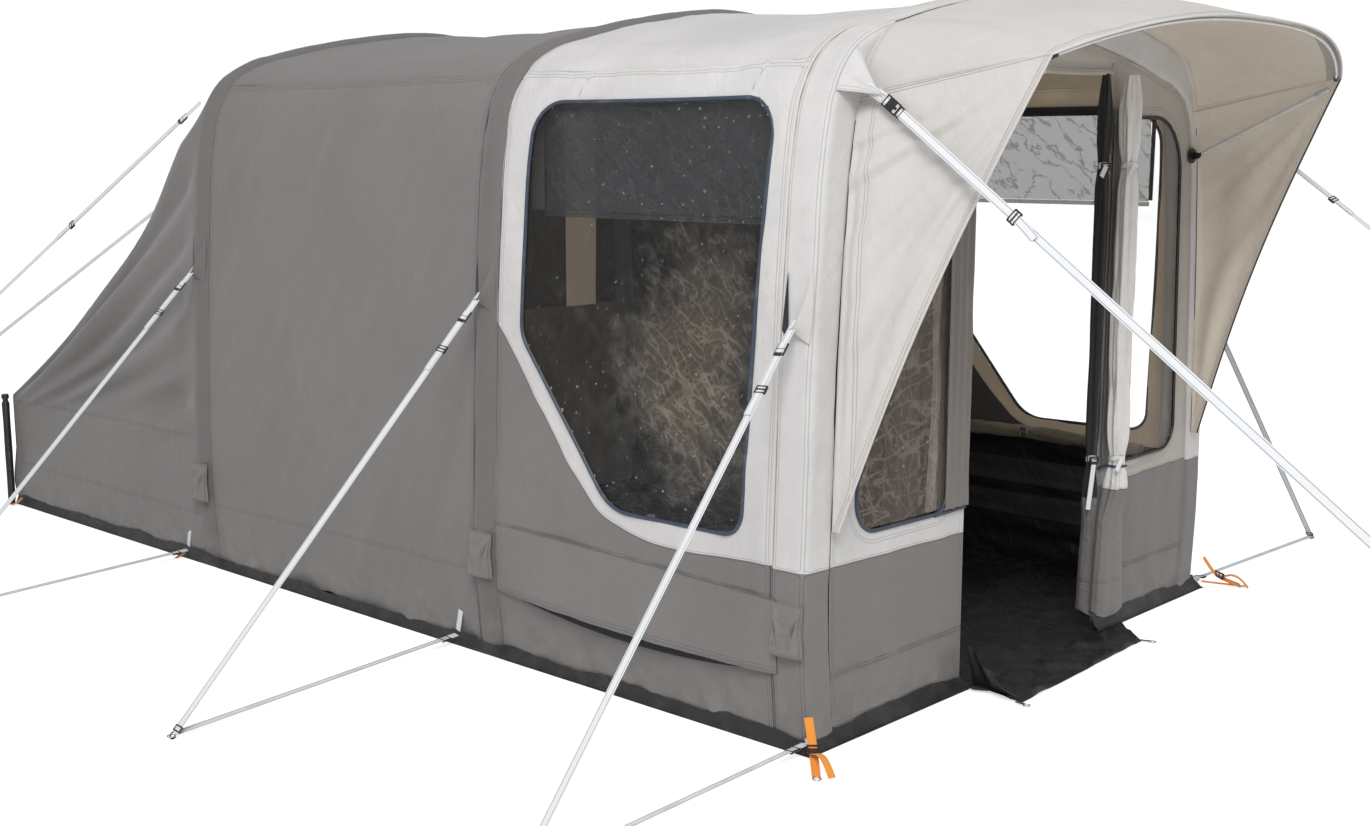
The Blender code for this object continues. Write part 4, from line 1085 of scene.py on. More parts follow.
class Finishes:
    """Every finish of the tent, built once."""

    def __init__(self, groups: Groups) -> None:
        """Build the materials."""

        def cloth(name: str, *colours: Colour, **values: float) -> bpy.types.Material:
            """Build a woven finish."""
            return ClothFinish(name, *colours, **values).build(groups)

        def moulded(name: str, *looks: object, **values: float) -> bpy.types.Material:
            """Build a moulded finish."""
            return MouldedFinish(name, *looks, **values).build(groups)

        def webbing(name: str, *colours: Colour) -> bpy.types.Material:
            """Build a webbing finish."""
            return WebbingFinish(name, *colours).build(groups)

        coated = {"roughness": 0.55, "sheen": 0.0}
        sheer = {"roughness": 0.45, "crease_size": 0.06, "crease_turn": 0.9, "dust_amount": 0.0}
        net = {"roughness": 0.8, "thread": 0.003, "crease_size": 0.02, "crease_depth": 0.002}
        small = {"crease_size": 0.03, "crease_depth": 0.002}
        self.front_wall = cloth("pale and dark polyester", PALE, DARK)
        self.pale = cloth("pale polyester", PALE)
        self.dark = cloth("dark grey polyester", DARK, contrast=0.05, sheen=0.2)
        self.warm = cloth("warm pale polyester", WARM, contrast=0.04)
        # The right front wall and the header: pale cloth in painted canopy shade, dark polyester below the
        # wall's border.
        self.door_wall = cloth("warm grey and dark polyester", CANOPY_SHADE_GREY, DARK)
        self.lining = cloth("beige coating", INNER_BEIGE, glow=0.16, **coated)
        self.two_tone_lining = cloth(
            "beige and dark coating", INNER_BEIGE, (0.055, 0.052, 0.050), glow=0.16, **coated
        )
        self.dark_lining = cloth("dark coating", (0.080, 0.075, 0.071), roughness=0.5, sheen=0.0)
        self.blind = cloth(
            "charcoal blind cloth", CHARCOAL, crease_depth=0.004, contrast=0.15, opacity=0.42, **sheer
        )
        self.near_blind = cloth(
            "charcoal near blind cloth", CHARCOAL, crease_depth=0.005, contrast=0.20, opacity=0.66,
            **sheer,
        )
        self.sheet = cloth(
            "black coated sheet", (0.014, 0.014, 0.016), roughness=0.28, thread=0.004,
            crease_size=0.12, crease_depth=0.0032, contrast=0.12, sheen=0.0, dust_amount=0.05,
        )
        self.mesh = cloth("black insect mesh", BLACK, dust_amount=0.1, **net)
        self.rim_lining = cloth(
            "beige coating with a grey rim", BEIGE, (0.30, 0.28, 0.25), glow=0.25, **coated
        )
        self.outer_door = cloth("rolled pale and grey door", (0.74, 0.72, 0.70), DARK, **small)
        self.mesh_door = cloth("rolled black mesh door", BLACK, DARK, **net)
        self.inner_tent = cloth(
            "inner tent cloth", (0.085, 0.066, 0.050), (0.260, 0.205, 0.155), crease_depth=0.003,
            dust_amount=0.0, contrast=0.25,
        )
        # The round sleeves and the dark gussets: the dark polyester painted darker, as painted shade.
        self.sleeve_dark = cloth("dark sleeve polyester", (0.150, 0.142, 0.138))
        self.jamb = cloth("grey brown jamb cloth", (0.185, 0.168, 0.155), **small)
        self.mud_lining = cloth(
            "black and grey inner mud wall", BLACK, (0.050, 0.048, 0.047), roughness=0.42,
            crease_size=0.09, crease_depth=0.003, sheen=0.0, dust_amount=0.0,
        )
        self.edge = moulded("dark piping", (0.060, 0.057, 0.056), (0.11, 0.105, 0.10), 0.5, scale=600.0)
        self.khaki = cloth("khaki cover cloth", (0.23, 0.20, 0.155), crease_size=0.02, crease_depth=0.003)
        self.curtain = cloth(
            "grey brown curtain", (0.25, 0.225, 0.20), roughness=0.6, dust_amount=0.0, **small
        )
        self.film = FilmFinish("clear window film").build(groups)
        self.far_film = FilmFinish("clear far film", crease=0.04, haze=0.004, clear=0.012).build(groups)
        self.front_film = FilmFinish(
            "clear front film", crease=0.06, size=0.022, turn=1.45, haze=0.034,
            glow_spot=(-0.75, 0.9), glow_reach=1.2,
        ).build(groups)
        self.piping = moulded("navy piping", (0.040, 0.055, 0.082), (0.13, 0.16, 0.20), 0.4, scale=600.0)
        self.plastic = moulded("black moulded plastic", (0.014, 0.014, 0.015), (0.05, 0.05, 0.052), 0.38)
        self.beam = moulded("air beam film", (0.52, 0.53, 0.55), (0.60, 0.61, 0.63), 0.3)
        self.alloy = moulded(
            "grey alloy tube", (0.80, 0.80, 0.81), (0.55, 0.55, 0.56), 0.42, 1.0, 0.00004, 400.0
        )
        self.strut_tube = moulded(
            "pale strut tube", (0.70, 0.69, 0.67), (0.52, 0.51, 0.50), 0.28, scale=300.0
        )
        self.steel = moulded("zinc plated steel", (0.55, 0.55, 0.56), (0.38, 0.37, 0.36), 0.34, 1.0)
        self.white = webbing("white webbing", (0.78, 0.79, 0.81), (0.33, 0.35, 0.38))
        self.orange = webbing("orange webbing", (0.86, 0.30, 0.02), (0.80, 0.26, 0.02))
        self.thread = moulded(
            "pale sewing thread", (0.60, 0.58, 0.56), (0.50, 0.48, 0.46), 0.6, scale=900.0
        )
        self.dark_thread = moulded(
            "dark sewing thread", (0.15, 0.14, 0.135), (0.11, 0.10, 0.10), 0.6, scale=900.0
        )
        self.black_tape = webbing("black tape", (0.020, 0.020, 0.021), (0.035, 0.035, 0.037))
        self.dark_sides = (self.dark, self.dark_lining)
        self.warm_sides = (self.warm, self.rim_lining)


# Camera, light and floor


@dataclass(frozen=True)
class Studio:
    """The photograph's camera, a soft studio light and a pale floor."""

    camera_place: Triple = (-4.42481546, -4.89047466, 1.60651319)
    yaw: float = 47.1506
    pitch: float = 9.2056
    lens: float = 42.488
    sensor: float = 36.0
    world_strength: float = 0.53
    key_place: Triple = (-6.9, -6.6, 8.3)
    key_power: float = 760.0
    key_size: float = 4.6
    fill_place: Triple = (5.0, -9.0, 5.0)
    fill_power: float = 45.0
    floor_colour: Colour = (0.93, 0.93, 0.925)
    floor_size: float = 60.0

    def build(self) -> None:
        """Set up the camera, the world, the lights and the floor."""
        scene = bpy.context.scene
        data = bpy.data.cameras.new("camera")
        data.sensor_width = self.sensor
        data.lens = self.lens
        camera = bpy.data.objects.new("camera", data)
        yaw, pitch = math.radians(self.yaw), math.radians(self.pitch)
        ahead = (math.sin(yaw) * math.cos(pitch), math.cos(yaw) * math.cos(pitch), -math.sin(pitch))
        camera.location = self.camera_place
        camera.rotation_euler = Vector(ahead).to_track_quat("-Z", "Y").to_euler()
        scene.collection.objects.link(camera)
        scene.camera = camera
        world = bpy.data.worlds.new("studio")
        world.use_nodes = True
        background = world.node_tree.nodes["Background"]
        background.inputs[0].default_value = (1.0, 1.0, 1.0, 1.0)
        make = NodeMaker(world.node_tree)
        seen = make.add("ShaderNodeLightPath").outputs["Is Camera Ray"]
        make.join(make.span(seen, 0.0, 1.0, self.world_strength, 1.05), background.inputs[1])
        scene.world = world
        scene.view_settings.view_transform = "Standard"
        self.area_light("key light", self.key_place, self.key_power)
        self.area_light("fill light", self.fill_place, self.fill_power)
        self.floor()

    def area_light(self, name: str, place: Triple, power: float) -> None:
        """Add one soft square light that looks at the tent."""
        data = bpy.data.lights.new(name, "AREA")
        data.energy = power
        data.size = self.key_size
        light = bpy.data.objects.new(name, data)
        light.location = place
        aim = Vector((0.0, -0.8, 0.9)) - Vector(place)
        light.rotation_euler = aim.to_track_quat("-Z", "Y").to_euler()
        bpy.context.scene.collection.objects.link(light)

    def floor(self) -> None:
        """Add the pale floor, which isn't part of the tent."""
        made, make, shader = new_material("pale floor", 0.85)
        tone = make.span(make.noise(make.place(), 0.8, 3.0), 0.3, 0.7, 0.985, 1.0)
        make.join(make.scaled(self.floor_colour, tone), shader.inputs["Base Color"])
        seen = make.add("ShaderNodeLightPath").outputs["Is Camera Ray"]
        shader.inputs["Emission Color"].default_value = (1.0, 1.0, 1.0, 1.0)
        make.join(make.math("MULTIPLY", seen, 0.60), shader.inputs["Emission Strength"])
        half = self.floor_size / 2
        corners = [(x * half, y * half, -0.001) for x, y in ((-1, -1), (1, -1), (1, 1), (-1, 1))]
        make_object("floor", np.array(corners), [(0, 1, 2, 3)], [made])


# Side walls and roofs


SIDE_WINDOW = (
    (-2.125, 1.750, 0.110),
    (-2.075, 0.565, 0.070),
    (-1.560, 0.560, 0.160),
    (-1.165, 1.050, 0.120),
    (-1.170, 1.754, 0.110),
)


@dataclass(frozen=True)
class WallSpec:
    """What differs between the side walls."""

    bay: Pair
    seam_z: Pair
    border: tuple[Pair, ...] = ()
    window: tuple[Triple, ...] = ()
    short_seams: tuple[tuple[Pair, Pair], ...] = ()


FRONT_SIDE = WallSpec(
    FRONT_BAY,
    (0.416, 0.447),
    ((-2.19, 0.505), (-1.60, 0.518), (-1.515, 0.548), (-1.455, 0.60), (-1.085, 1.045), (-1.05, 1.085)),
    SIDE_WINDOW,
    (((-1.335, 1.775), (-1.345, 1.860)), ((-2.020, 1.768), (-2.035, 1.860))),
)
REAR_SIDE = WallSpec(REAR_BAY, (0.272, 0.250))


def wall_points(bay: Pair, y: Array, z: Array) -> Array:
    """Return places on the left wall of a bay, drawn in between its two arches."""
    share = band(y - bay[0], bay[1] - bay[0])
    return ARCH.places(ARCH.station_at(z), y, WALL_DRAW * np.sin(np.pi * share))


@dataclass
class SideWalls:
    """The four side walls and the two roofs."""

    finishes: Finishes
    pitch: float = 0.012
    roof_draw: float = 0.022

    def build_wall(self, side: Side, spec: WallSpec, name: str, seed: int) -> None:
        """Build one side wall with its seams, folds and hem.

        Args:
            side: the side of the tent.
            spec: the wall's sizes.
            name: the node that it stands for.
            seed: the seed of its folds.
        """
        start, end = spec.bay
        lengths = np.linspace(start - TUCK, end + TUCK, int((end - start + 2 * TUCK) / self.pitch))
        heights = np.linspace(HEM_Z, EAVE_Z, int((EAVE_Z - HEM_Z) / self.pitch))
        spots = stacked(*np.meshgrid(lengths, heights))
        keep = None
        if spec.window:
            spots, away = snapped(spots, rounded(spec.window), self.pitch)
            keep = face_mean(away) > ON_EDGE
        y, z = spots[..., 0], spots[..., 1]
        lines = [
            z - np.interp(y, spec.bay, spec.seam_z),
            z - (EAVE_Z - SEAM_INSET),
            y - start - SEAM_INSET,
            y - end + SEAM_INSET,
            *(segment_distance(spots, np.array(short)) for short in spec.short_seams),
        ]
        fields = {"seam": seam_field(*lines)}
        seam = np.abs(fields["seam"] - 1.0)
        looks, slot = self.finishes.dark_sides, "dark_polyester"
        if spec.border:
            border = resampled(smooth_curve(spec.border, 80), 0.01)
            above = np.vstack([border, [(0.0, 1.2), (0.0, 3.0), (-4.0, 3.0), (-4.0, 0.5)]])
            fields["zone"] = -signed_distance(spots, above)
            lines.append(np.copysign(segment_distance(spots, border), fields["zone"]))
            fields["seam"] = seam_field(*lines)
            looks, slot = (self.finishes.front_wall, self.finishes.two_tone_lining), "pale_polyester"
        panel = Panel(wall_points(spec.bay, y, z), spots, fields, keep)
        crumple = Crumple(seed)
        height = 0.0050 * crumple.at(y, z, (0.55, 0.16), 62)
        height += 0.0034 * crumple.at(y, z, (0.34, 0.07), 118)
        height += 0.0016 * crumple.at(y, z, (0.20, 0.035), 80) * np.exp(-seam / 0.09)
        height += 0.0016 * crumple.at(y, z, (0.016, 0.20)) * np.exp(-seam / 0.03)
        low = np.clip(1 - (z - HEM_Z) / 0.20, 0, 1)
        slack = 0.014 * crumple.at(y, z, (0.17, 0.5), 30) + 0.006 * crumple.at(y, z, (0.05, 0.3), -35)
        height += low * slack
        share = (y - start) / (end - start)
        height *= band(np.minimum(share, 1 - share), 0.02)
        panel.push(height)
        hem = low**3 * (0.010 * crumple.at(y, y * 0, (0.18, 1.0)) - 0.004)
        panel.places[..., 2] = np.maximum(panel.places[..., 2] + hem, 0.010)
        panel.mirror(side)
        panel.sew(f"{name}_cloth", looks, slot, (end - start, EAVE_Z), "stretched", name)

    def build_roof(self, name: str, bay: Pair, dark: bool, seed: int) -> None:
        """Build a roof from eave to eave, drawn down between its arches."""
        start = ARCH.station_at(EAVE_Z)
        width = (1 - 2 * start) * ARCH.length
        stations = np.linspace(start, 1 - start, int(width / self.pitch))
        lengths = np.linspace(bay[0] - TUCK, bay[1] + TUCK, int((bay[1] - bay[0]) / self.pitch) + 2)
        station, y = np.meshgrid(stations, lengths, indexing="ij")
        share = band(y - bay[0], bay[1] - bay[0])
        run = station * ARCH.length
        edge = np.minimum(run - run.min(), run.max() - run)
        fields = {
            "seam": seam_field(edge, y - bay[0] - SEAM_INSET, y - bay[1] + SEAM_INSET),
            "zone": run * 0 + 1,
        }
        seam = np.abs(fields["seam"] - 1.0)
        places = ARCH.places(station, y, self.roof_draw * np.sin(np.pi * share))
        panel = Panel(places, stacked(y, run), fields)
        crumple = Crumple(seed)
        height = 0.007 * crumple.at(y, run, (0.6, 0.2), 75)
        height += 0.0030 * crumple.at(y, run, (0.25, 0.05), 20) * np.exp(-seam / 0.12)
        height += 0.0014 * crumple.at(y, run, (0.016, 0.2)) * np.exp(-edge / 0.03)
        height *= np.clip(np.minimum(np.minimum(share, 1 - share) / 0.02, edge / 0.012), 0, 1)
        panel.push(height)
        looks, slot = (self.finishes.pale, self.finishes.lining), "pale_polyester"
        if dark:
            looks, slot = self.finishes.dark_sides, "dark_polyester"
        panel.sew(f"{name}_cloth", looks, slot, (bay[1] - bay[0], width), "stretched", name)

    def build(self) -> None:
        """Build the walls and roofs."""
        for side in Side:
            seed = 11 if side is Side.LEFT else 23
            self.build_wall(side, FRONT_SIDE, f"wall_{side.word}_front", seed)
            self.build_wall(side, REAR_SIDE, f"wall_{side.word}_rear", seed + 1)
        self.build_roof("roof_front", FRONT_BAY, False, 31)
        self.build_roof("roof_rear", REAR_BAY, True, 32)


# Arch sleeves


@dataclass
class Sleeves:
    """The three fabric sleeves round the air beams."""

    finishes: Finishes
    trims: Trims
    rings: int = 420
    sides: int = 40
    foot_z: float = 0.012
    border_z: float = 0.500
    piping: Pair = (0.0026, 0.0036)

    def section(self, front: bool) -> Array:
        """Return a sleeve's section as (inset, y) pairs."""
        if front:
            half, depth = FRONT_SLEEVE_WIDTH / 2, FRONT_SLEEVE_DEPTH
            corners = (
                (0.0, half, 0.010), (0.0, -half, 0.024), (depth, -half, 0.020), (depth, half, 0.020),
            )
            return resampled(rounded(corners, 6), 0.0085, closed=True)
        turn = (np.arange(self.sides) + 0.5) * 2 * np.pi / self.sides
        return stacked(ROUND_DEPTH + ROUND_RADIUS * np.cos(turn), ROUND_RADIUS * np.sin(turn))

    def build_sleeve(self, word: str, y: float, front: bool, seed: int) -> None:
        """Build one sleeve as a closed fabric tube from foot to foot.

        Args:
            word: which arch it is on.
            y: the arch's place.
            front: whether it is the squarish pale sleeve.
            seed: the seed of its folds.
        """
        foot = ARCH.station_at(self.foot_z)
        station = np.linspace(foot, 1 - foot, self.rings)[:, None]
        z = ARCH.at(station)[1]
        section = self.section(front)
        run = station * ARCH.length
        girth = distance_along(section)[None, :]
        inset, across = section[None, :, 0], section[None, :, 1]
        crumple = Crumple(seed)
        lump = 0.0022 * crumple.at(run, girth, (0.30, 0.08)) + 0.0012 * crumple.at(run, girth, (0.06, 0.1))
        knee = np.exp(-(((z - 1.80) / 0.14) ** 2))
        lump = lump + 0.0022 * knee * crumple.at(run, girth, (0.028, 0.2)) * (inset < ROUND_DEPTH)
        middle = (inset.max() + inset.min()) / 2
        grow = 1 + lump / np.hypot(inset - middle, across)
        inset = middle + (inset - middle) * grow
        across = across * grow
        places = ARCH.places(station, y + across, inset)
        places[..., 2] = np.maximum(places[..., 2], 0.006)
        skin = Skin()
        skin.tube(places)
        # The round sleeves take the dark polyester painted darker, as painted shade.
        finish = self.finishes.front_wall if front else self.finishes.sleeve_dark
        sleeve = skin.object(f"sleeve_{word}_cloth", finish)
        flat_seam = np.abs(across) - FRONT_SLEEVE_WIDTH * 0.40
        seam = np.where(inset < 0.02, flat_seam, 0.05) if front else np.abs(across) - 0.058
        zone = np.broadcast_to(z - self.border_z, inset.shape)
        seam = seam_field(seam, zone) if front else seam_field(seam)
        add_fields(sleeve.data, {"seam": seam, "zone": zone})
        dress(sleeve, "pale_polyester" if front else "dark_polyester", f"sleeve_{word}")

    def build_piping(self, y: float, inset: float, kinds: tuple, split: float) -> None:
        """Lay piping along a sleeve's edge, in one kind above a height and another below it."""
        foot = ARCH.station_at(0.030)
        station = np.linspace(foot, 1 - foot, 400)
        path = ARCH.places(station, y, inset)
        high = ARCH.at(station)[1] > split
        first, last = int(np.argmax(high)), len(high) - int(np.argmax(high[::-1]))
        above, below = kinds
        for part, kind in ((path[:first + 1], below), (path[first:last], above), (path[last - 1:], below)):
            if len(part) > 2:
                self.trims.add(kind, part, False, self.piping[kind is TrimKind.PALE_PIPING])

    def build(self) -> None:
        """Build the three sleeves."""
        both = (TrimKind.PALE_PIPING, TrimKind.DARK_PIPING)
        dark = (TrimKind.DARK_PIPING, TrimKind.DARK_PIPING)
        self.build_piping(FRONT_BAY[0] - 0.001, 0.001, both, self.border_z)
        for y in (FRONT_BAY[1] + 0.001, REAR_BAY[0] - 0.001, REAR_BAY[1] + 0.001):
            self.build_piping(y, 0.002, dark, 1.0)
        self.build_sleeve("front", FRONT_ARCH_Y, True, 41)
        self.build_sleeve("middle", MIDDLE_ARCH_Y, False, 42)
        self.build_sleeve("rear", REAR_ARCH_Y, False, 43)


# Trim: stitches, piping and bindings along paths


class TrimKind(Enum):
    """The trims that follow a path: piece name, slot, and whether they are round cord."""

    PALE_STITCH = ("pale_stitches", "pale_polyester", False)
    DARK_STITCH = ("dark_stitches", "dark_polyester", False)
    NAVY_PIPING = ("navy_piping", "dark_polyester", True)
    PALE_PIPING = ("pale_piping", "pale_polyester", True)
    DARK_PIPING = ("dark_piping", "dark_polyester", True)
    # The navy window piping drawn black, as painted shade.
    BLACK_BINDING = ("black_binding", "black_sheet", True)


def geometry_tree(name: str, inputs: dict[str, float]) -> tuple:
    """Start a geometry tree with one mesh in and out.

    Args:
        name: the tree's name.
        inputs: its size inputs with their defaults.

    Returns:
        The tree, its node maker, its input node and its output node.
    """
    tree = bpy.data.node_groups.new(name, "GeometryNodeTree")
    tree.interface.new_socket("Geometry", in_out="INPUT", socket_type="NodeSocketGeometry")
    for key, value in inputs.items():
        socket = tree.interface.new_socket(key, in_out="INPUT", socket_type="NodeSocketFloat")
        socket.default_value = value
    tree.interface.new_socket("Geometry", in_out="OUTPUT", socket_type="NodeSocketGeometry")
    make = NodeMaker(tree)
    return tree, make, make.add("NodeGroupInput"), make.add("NodeGroupOutput")


def finish_tree(
    make: NodeMaker, shape: bpy.types.NodeSocket, finish: bpy.types.Material, end: bpy.types.Node
) -> None:
    """Close a geometry tree: real meshes, smooth faces and one finish."""
    smooth = make.add("GeometryNodeSetShadeSmooth")
    real = make.add("GeometryNodeRealizeInstances")
    dressed = make.add("GeometryNodeSetMaterial")
    dressed.inputs["Material"].default_value = finish
    make.join(shape, smooth.inputs["Geometry"])
    make.join(smooth.outputs[0], real.inputs["Geometry"])
    make.join(real.outputs[0], dressed.inputs["Geometry"])
    make.join(dressed.outputs[0], end.inputs["Geometry"])


def stitch_tree(finish: bpy.types.Material) -> bpy.types.NodeTree:
    """Build the tree that lays short threads along a path."""
    tree, make, start, end = geometry_tree(
        "stitch row", {"Spacing": 0.015, "Stitch Length": 0.010, "Thread Radius": 0.0007}
    )
    curve = make.add("GeometryNodeMeshToCurve")
    make.join(start.outputs["Geometry"], curve.inputs["Mesh"])
    places = make.add("GeometryNodeCurveToPoints", mode="LENGTH")
    make.join(curve.outputs[0], places.inputs["Curve"])
    make.join(start.outputs["Spacing"], places.inputs["Length"])
    thread = make.add("GeometryNodeMeshCylinder")
    thread.inputs["Vertices"].default_value = 4
    make.join(start.outputs["Thread Radius"], thread.inputs["Radius"])
    make.join(start.outputs["Stitch Length"], thread.inputs["Depth"])
    copies = make.add("GeometryNodeInstanceOnPoints")
    make.join(places.outputs["Points"], copies.inputs["Points"])
    make.join(thread.outputs["Mesh"], copies.inputs["Instance"])
    make.join(places.outputs["Rotation"], copies.inputs["Rotation"])
    finish_tree(make, copies.outputs[0], finish, end)
    return tree


def piping_tree(finish: bpy.types.Material) -> bpy.types.NodeTree:
    """Build the tree that runs a round piping along a path."""
    tree, make, start, end = geometry_tree("piping run", {"Radius": 0.005})
    curve = make.add("GeometryNodeMeshToCurve")
    make.join(start.outputs["Geometry"], curve.inputs["Mesh"])
    ring = make.add("GeometryNodeCurvePrimitiveCircle")
    ring.inputs["Resolution"].default_value = 8
    make.join(start.outputs["Radius"], ring.inputs["Radius"])
    tube = make.add("GeometryNodeCurveToMesh")
    tube.inputs["Fill Caps"].default_value = True
    make.join(curve.outputs[0], tube.inputs["Curve"])
    make.join(ring.outputs[0], tube.inputs["Profile Curve"])
    finish_tree(make, tube.outputs[0], finish, end)
    return tree


def grown(
    name: str, paths: Sequence[tuple[Array, bool]], tree: bpy.types.NodeTree, values: dict[str, float]
) -> bpy.types.Object:
    """Grow a geometry tree along paths and return the result as a plain mesh object.

    Args:
        name: the piece's name.
        paths: (places, whether the path closes) pairs.
        tree: the geometry tree.
        values: the tree's inputs by name.

    Returns:
        The new object.
    """
    points, edges, count = [], [], 0
    for path, closed in paths:
        number = len(path)
        points.append(path)
        edges += [(count + i, count + i + 1) for i in range(number - 1)]
        if closed:
            edges.append((count + number - 1, count))
        count += number
    data = bpy.data.meshes.new(f"{name}_paths")
    data.from_pydata(np.vstack(points).tolist(), edges, [])
    carrier = bpy.data.objects.new(name, data)
    bpy.context.scene.collection.objects.link(carrier)
    modifier = carrier.modifiers.new("grow", "NODES")
    modifier.node_group = tree
    for item in tree.interface.items_tree:
        if item.in_out == "INPUT" and item.name in values:
            modifier[item.identifier] = values[item.name]
    graph = bpy.context.evaluated_depsgraph_get()
    grown_mesh = bpy.data.meshes.new_from_object(carrier.evaluated_get(graph), depsgraph=graph)
    carrier.modifiers.remove(modifier)
    carrier.data = grown_mesh
    grown_mesh.name = name
    return carrier


class Trims:
    """Gathers the paths of stitches and piping, and makes each kind in one go."""

    def __init__(self, finishes: Finishes) -> None:
        """Start with no paths."""
        self.finishes = finishes
        self.paths: dict[tuple[TrimKind, float], list[tuple[Array, bool]]] = {}

    def add(self, kind: TrimKind, path: Array, closed: bool = False, radius: float = 0.0) -> None:
        """Keep one path for a kind of trim."""
        self.paths.setdefault((kind, radius), []).append((path, closed))

    def finish_of(self, kind: TrimKind) -> bpy.types.Material:
        """Return the finish of a kind of trim."""
        return {
            TrimKind.PALE_STITCH: self.finishes.thread,
            TrimKind.DARK_STITCH: self.finishes.dark_thread,
            TrimKind.NAVY_PIPING: self.finishes.piping,
            TrimKind.PALE_PIPING: self.finishes.warm,
            TrimKind.DARK_PIPING: self.finishes.edge,
            TrimKind.BLACK_BINDING: self.finishes.sheet,
        }[kind]

    def build(self) -> None:
        """Make every kind of trim that has paths."""
        kinds = sorted(self.paths.items(), key=lambda entry: (entry[0][0].name, entry[0][1]))
        for number, ((kind, radius), paths) in enumerate(kinds):
            name, slot, round_cord = kind.value
            finish = self.finish_of(kind)
            tree = piping_tree(finish) if round_cord else stitch_tree(finish)
            piece = grown(f"{name}_{number}", paths, tree, {"Radius": radius})
            dress(piece, slot)


# Straps, buckles and guys


def frame_of(start: Array, end: Array, across: Array) -> Array:
    """Return unit rows: along a strap, across it and up out of its face."""
    along = (end - start) / np.linalg.norm(end - start)
    across = across - along * (across @ along)
    across = across / np.linalg.norm(across)
    return np.array((along, across, np.cross(along, across)))


def strap_section(width: float, thickness: float) -> Array:
    """Return a strap's section, slimmer at its two edges."""
    across = np.array((-0.5, -0.44, -0.2, 0.2, 0.44, 0.5)) * width
    lift = np.array((0.25, 0.5, 0.5, 0.5, 0.5, 0.25)) * thickness
    top = stacked(across, lift)
    return np.vstack([top, top[::-1] * (1, -1)])


def strap_into(
    skin: Skin, path: Array, up: Array, width: float = WEBBING_WIDTH, thickness: float = WEBBING
) -> None:
    """Add a flat strap along a path, its flat measures centred on its middle."""
    section = strap_section(width, thickness)
    place = len(skin.uvs)
    skin.tube(sweep_grid(path, up, section))
    run = distance_along(path)
    for i in range(len(path) - 1):
        for j in range(len(section)):
            near, far = section[j, 0], section[(j + 1) % len(section), 0]
            skin.uvs[place : place + 4] = [
                (near, run[i]), (far, run[i]), (far, run[i + 1]), (near, run[i + 1])
            ]
            place += 4


@dataclass
class Buckles:
    """The moulded hardware of the straps."""

    frame_width: float = 0.033
    glide_width: float = 0.037
    bar: float = 0.0042

    def ladder(self, skin: Skin, centre: Array, axes: Array, length: float = 0.040) -> None:
        """Add a ladder-lock buckle: two side rails, three bars and a thumb lip."""
        rail = self.frame_width / 2 - self.bar / 2
        for end in (-1, 1):
            skin.box(centre + axes[1] * rail * end, axes, (length, self.bar, 0.0065), 0.0016)
        for place, lift in ((-0.5, 0.0), (0.0, 0.0012), (0.5, 0.0)):
            middle = centre + axes[0] * place * (length - self.bar) + axes[2] * lift
            skin.box(middle, axes[[1, 0, 2]], (self.frame_width - self.bar, self.bar, 0.0046), 0.0012)
        lip = centre + axes[0] * (length * 0.46) + axes[2] * 0.0042
        skin.box(lip, axes, (0.011, self.frame_width * 0.8, 0.0026), 0.0009)

    def glide(self, skin: Skin, centre: Array, axes: Array, length: float = 0.024) -> None:
        """Add a three-bar slider that a doubled strap runs through."""
        rail, span = self.glide_width / 2 - self.bar / 2, self.glide_width - self.bar
        for end in (-1, 1):
            skin.box(centre + axes[1] * rail * end, axes, (length, self.bar, 0.0085), 0.0018)
        across = axes[[1, 0, 2]]
        for place in (-1, 1):
            for lift in (-1, 1):
                middle = centre + axes[0] * place * (length / 2 - 0.002) + axes[2] * lift * 0.0033
                skin.box(middle, across, (span, 0.0038, 0.0021), 0.0007)
        skin.box(centre + axes[2] * 0.0036, across, (span, 0.0046, 0.0021), 0.0007)

    def side_release(self, skin: Skin, centre: Array, axes: Array) -> None:
        """Add a side-release buckle: a hollow body, a plug with two prongs, and a ladder end."""
        across = axes[[1, 0, 2]]
        skin.box(centre - axes[0] * 0.008, axes, (0.026, 0.034, 0.011), 0.003)
        for end in (-1, 1):
            prong = centre + axes[1] * end * 0.0148 + axes[0] * 0.009
            skin.box(prong, axes, (0.018, 0.0040, 0.0085), 0.0016)
            foot = centre + axes[1] * end * 0.0135 + axes[0] * 0.0255
            skin.box(foot, axes, (0.014, 0.0042, 0.0065), 0.0014)
        skin.box(centre + axes[0] * 0.0185, across, (0.030, 0.006, 0.0085), 0.0016)
        skin.box(centre + axes[0] * 0.0310, across, (0.030, 0.0045, 0.0055), 0.0012)
        skin.box(centre + axes[0] * 0.007, axes, (0.012, 0.008, 0.0075), 0.0015)
        for end in (-1, 1):
            rail = centre + axes[1] * end * 0.0148 - axes[0] * 0.0265
            skin.box(rail, axes, (0.014, 0.0040, 0.0060), 0.0012)
        skin.box(centre - axes[0] * 0.0315, across, (0.0296, 0.0045, 0.0050), 0.0012)

    def ring(self, skin: Skin, centre: Array, axes: Array, radius: float, wire: float) -> None:
        """Add a closed wire ring that lies in the plane of the first two axes."""
        turn = np.linspace(0, 2 * np.pi, 24, endpoint=False)[:, None]
        path = centre + radius * (np.cos(turn) * axes[0] + np.sin(turn) * axes[1])
        skin.rod(path, wire, 8, closed=True)

    def hook(self, skin: Skin, centre: Array, axes: Array) -> None:
        """Add a peg hook: a slotted plate at the strap and a bent wire claw."""
        across = axes[[1, 0, 2]]
        for end in (-1, 1):
            skin.box(centre + axes[1] * end * 0.0130, axes, (0.018, 0.004, 0.005), 0.0012)
            skin.box(centre + axes[0] * end * 0.0075, across, (0.028, 0.004, 0.005), 0.0012)
        turn = np.linspace(-0.5, 0.78, 14)[:, None] * np.pi
        claw = centre - axes[0] * 0.021 - 0.0105 * (np.cos(turn) * axes[0] + np.sin(turn) * axes[1])
        skin.rod(claw, 0.0024, 8)


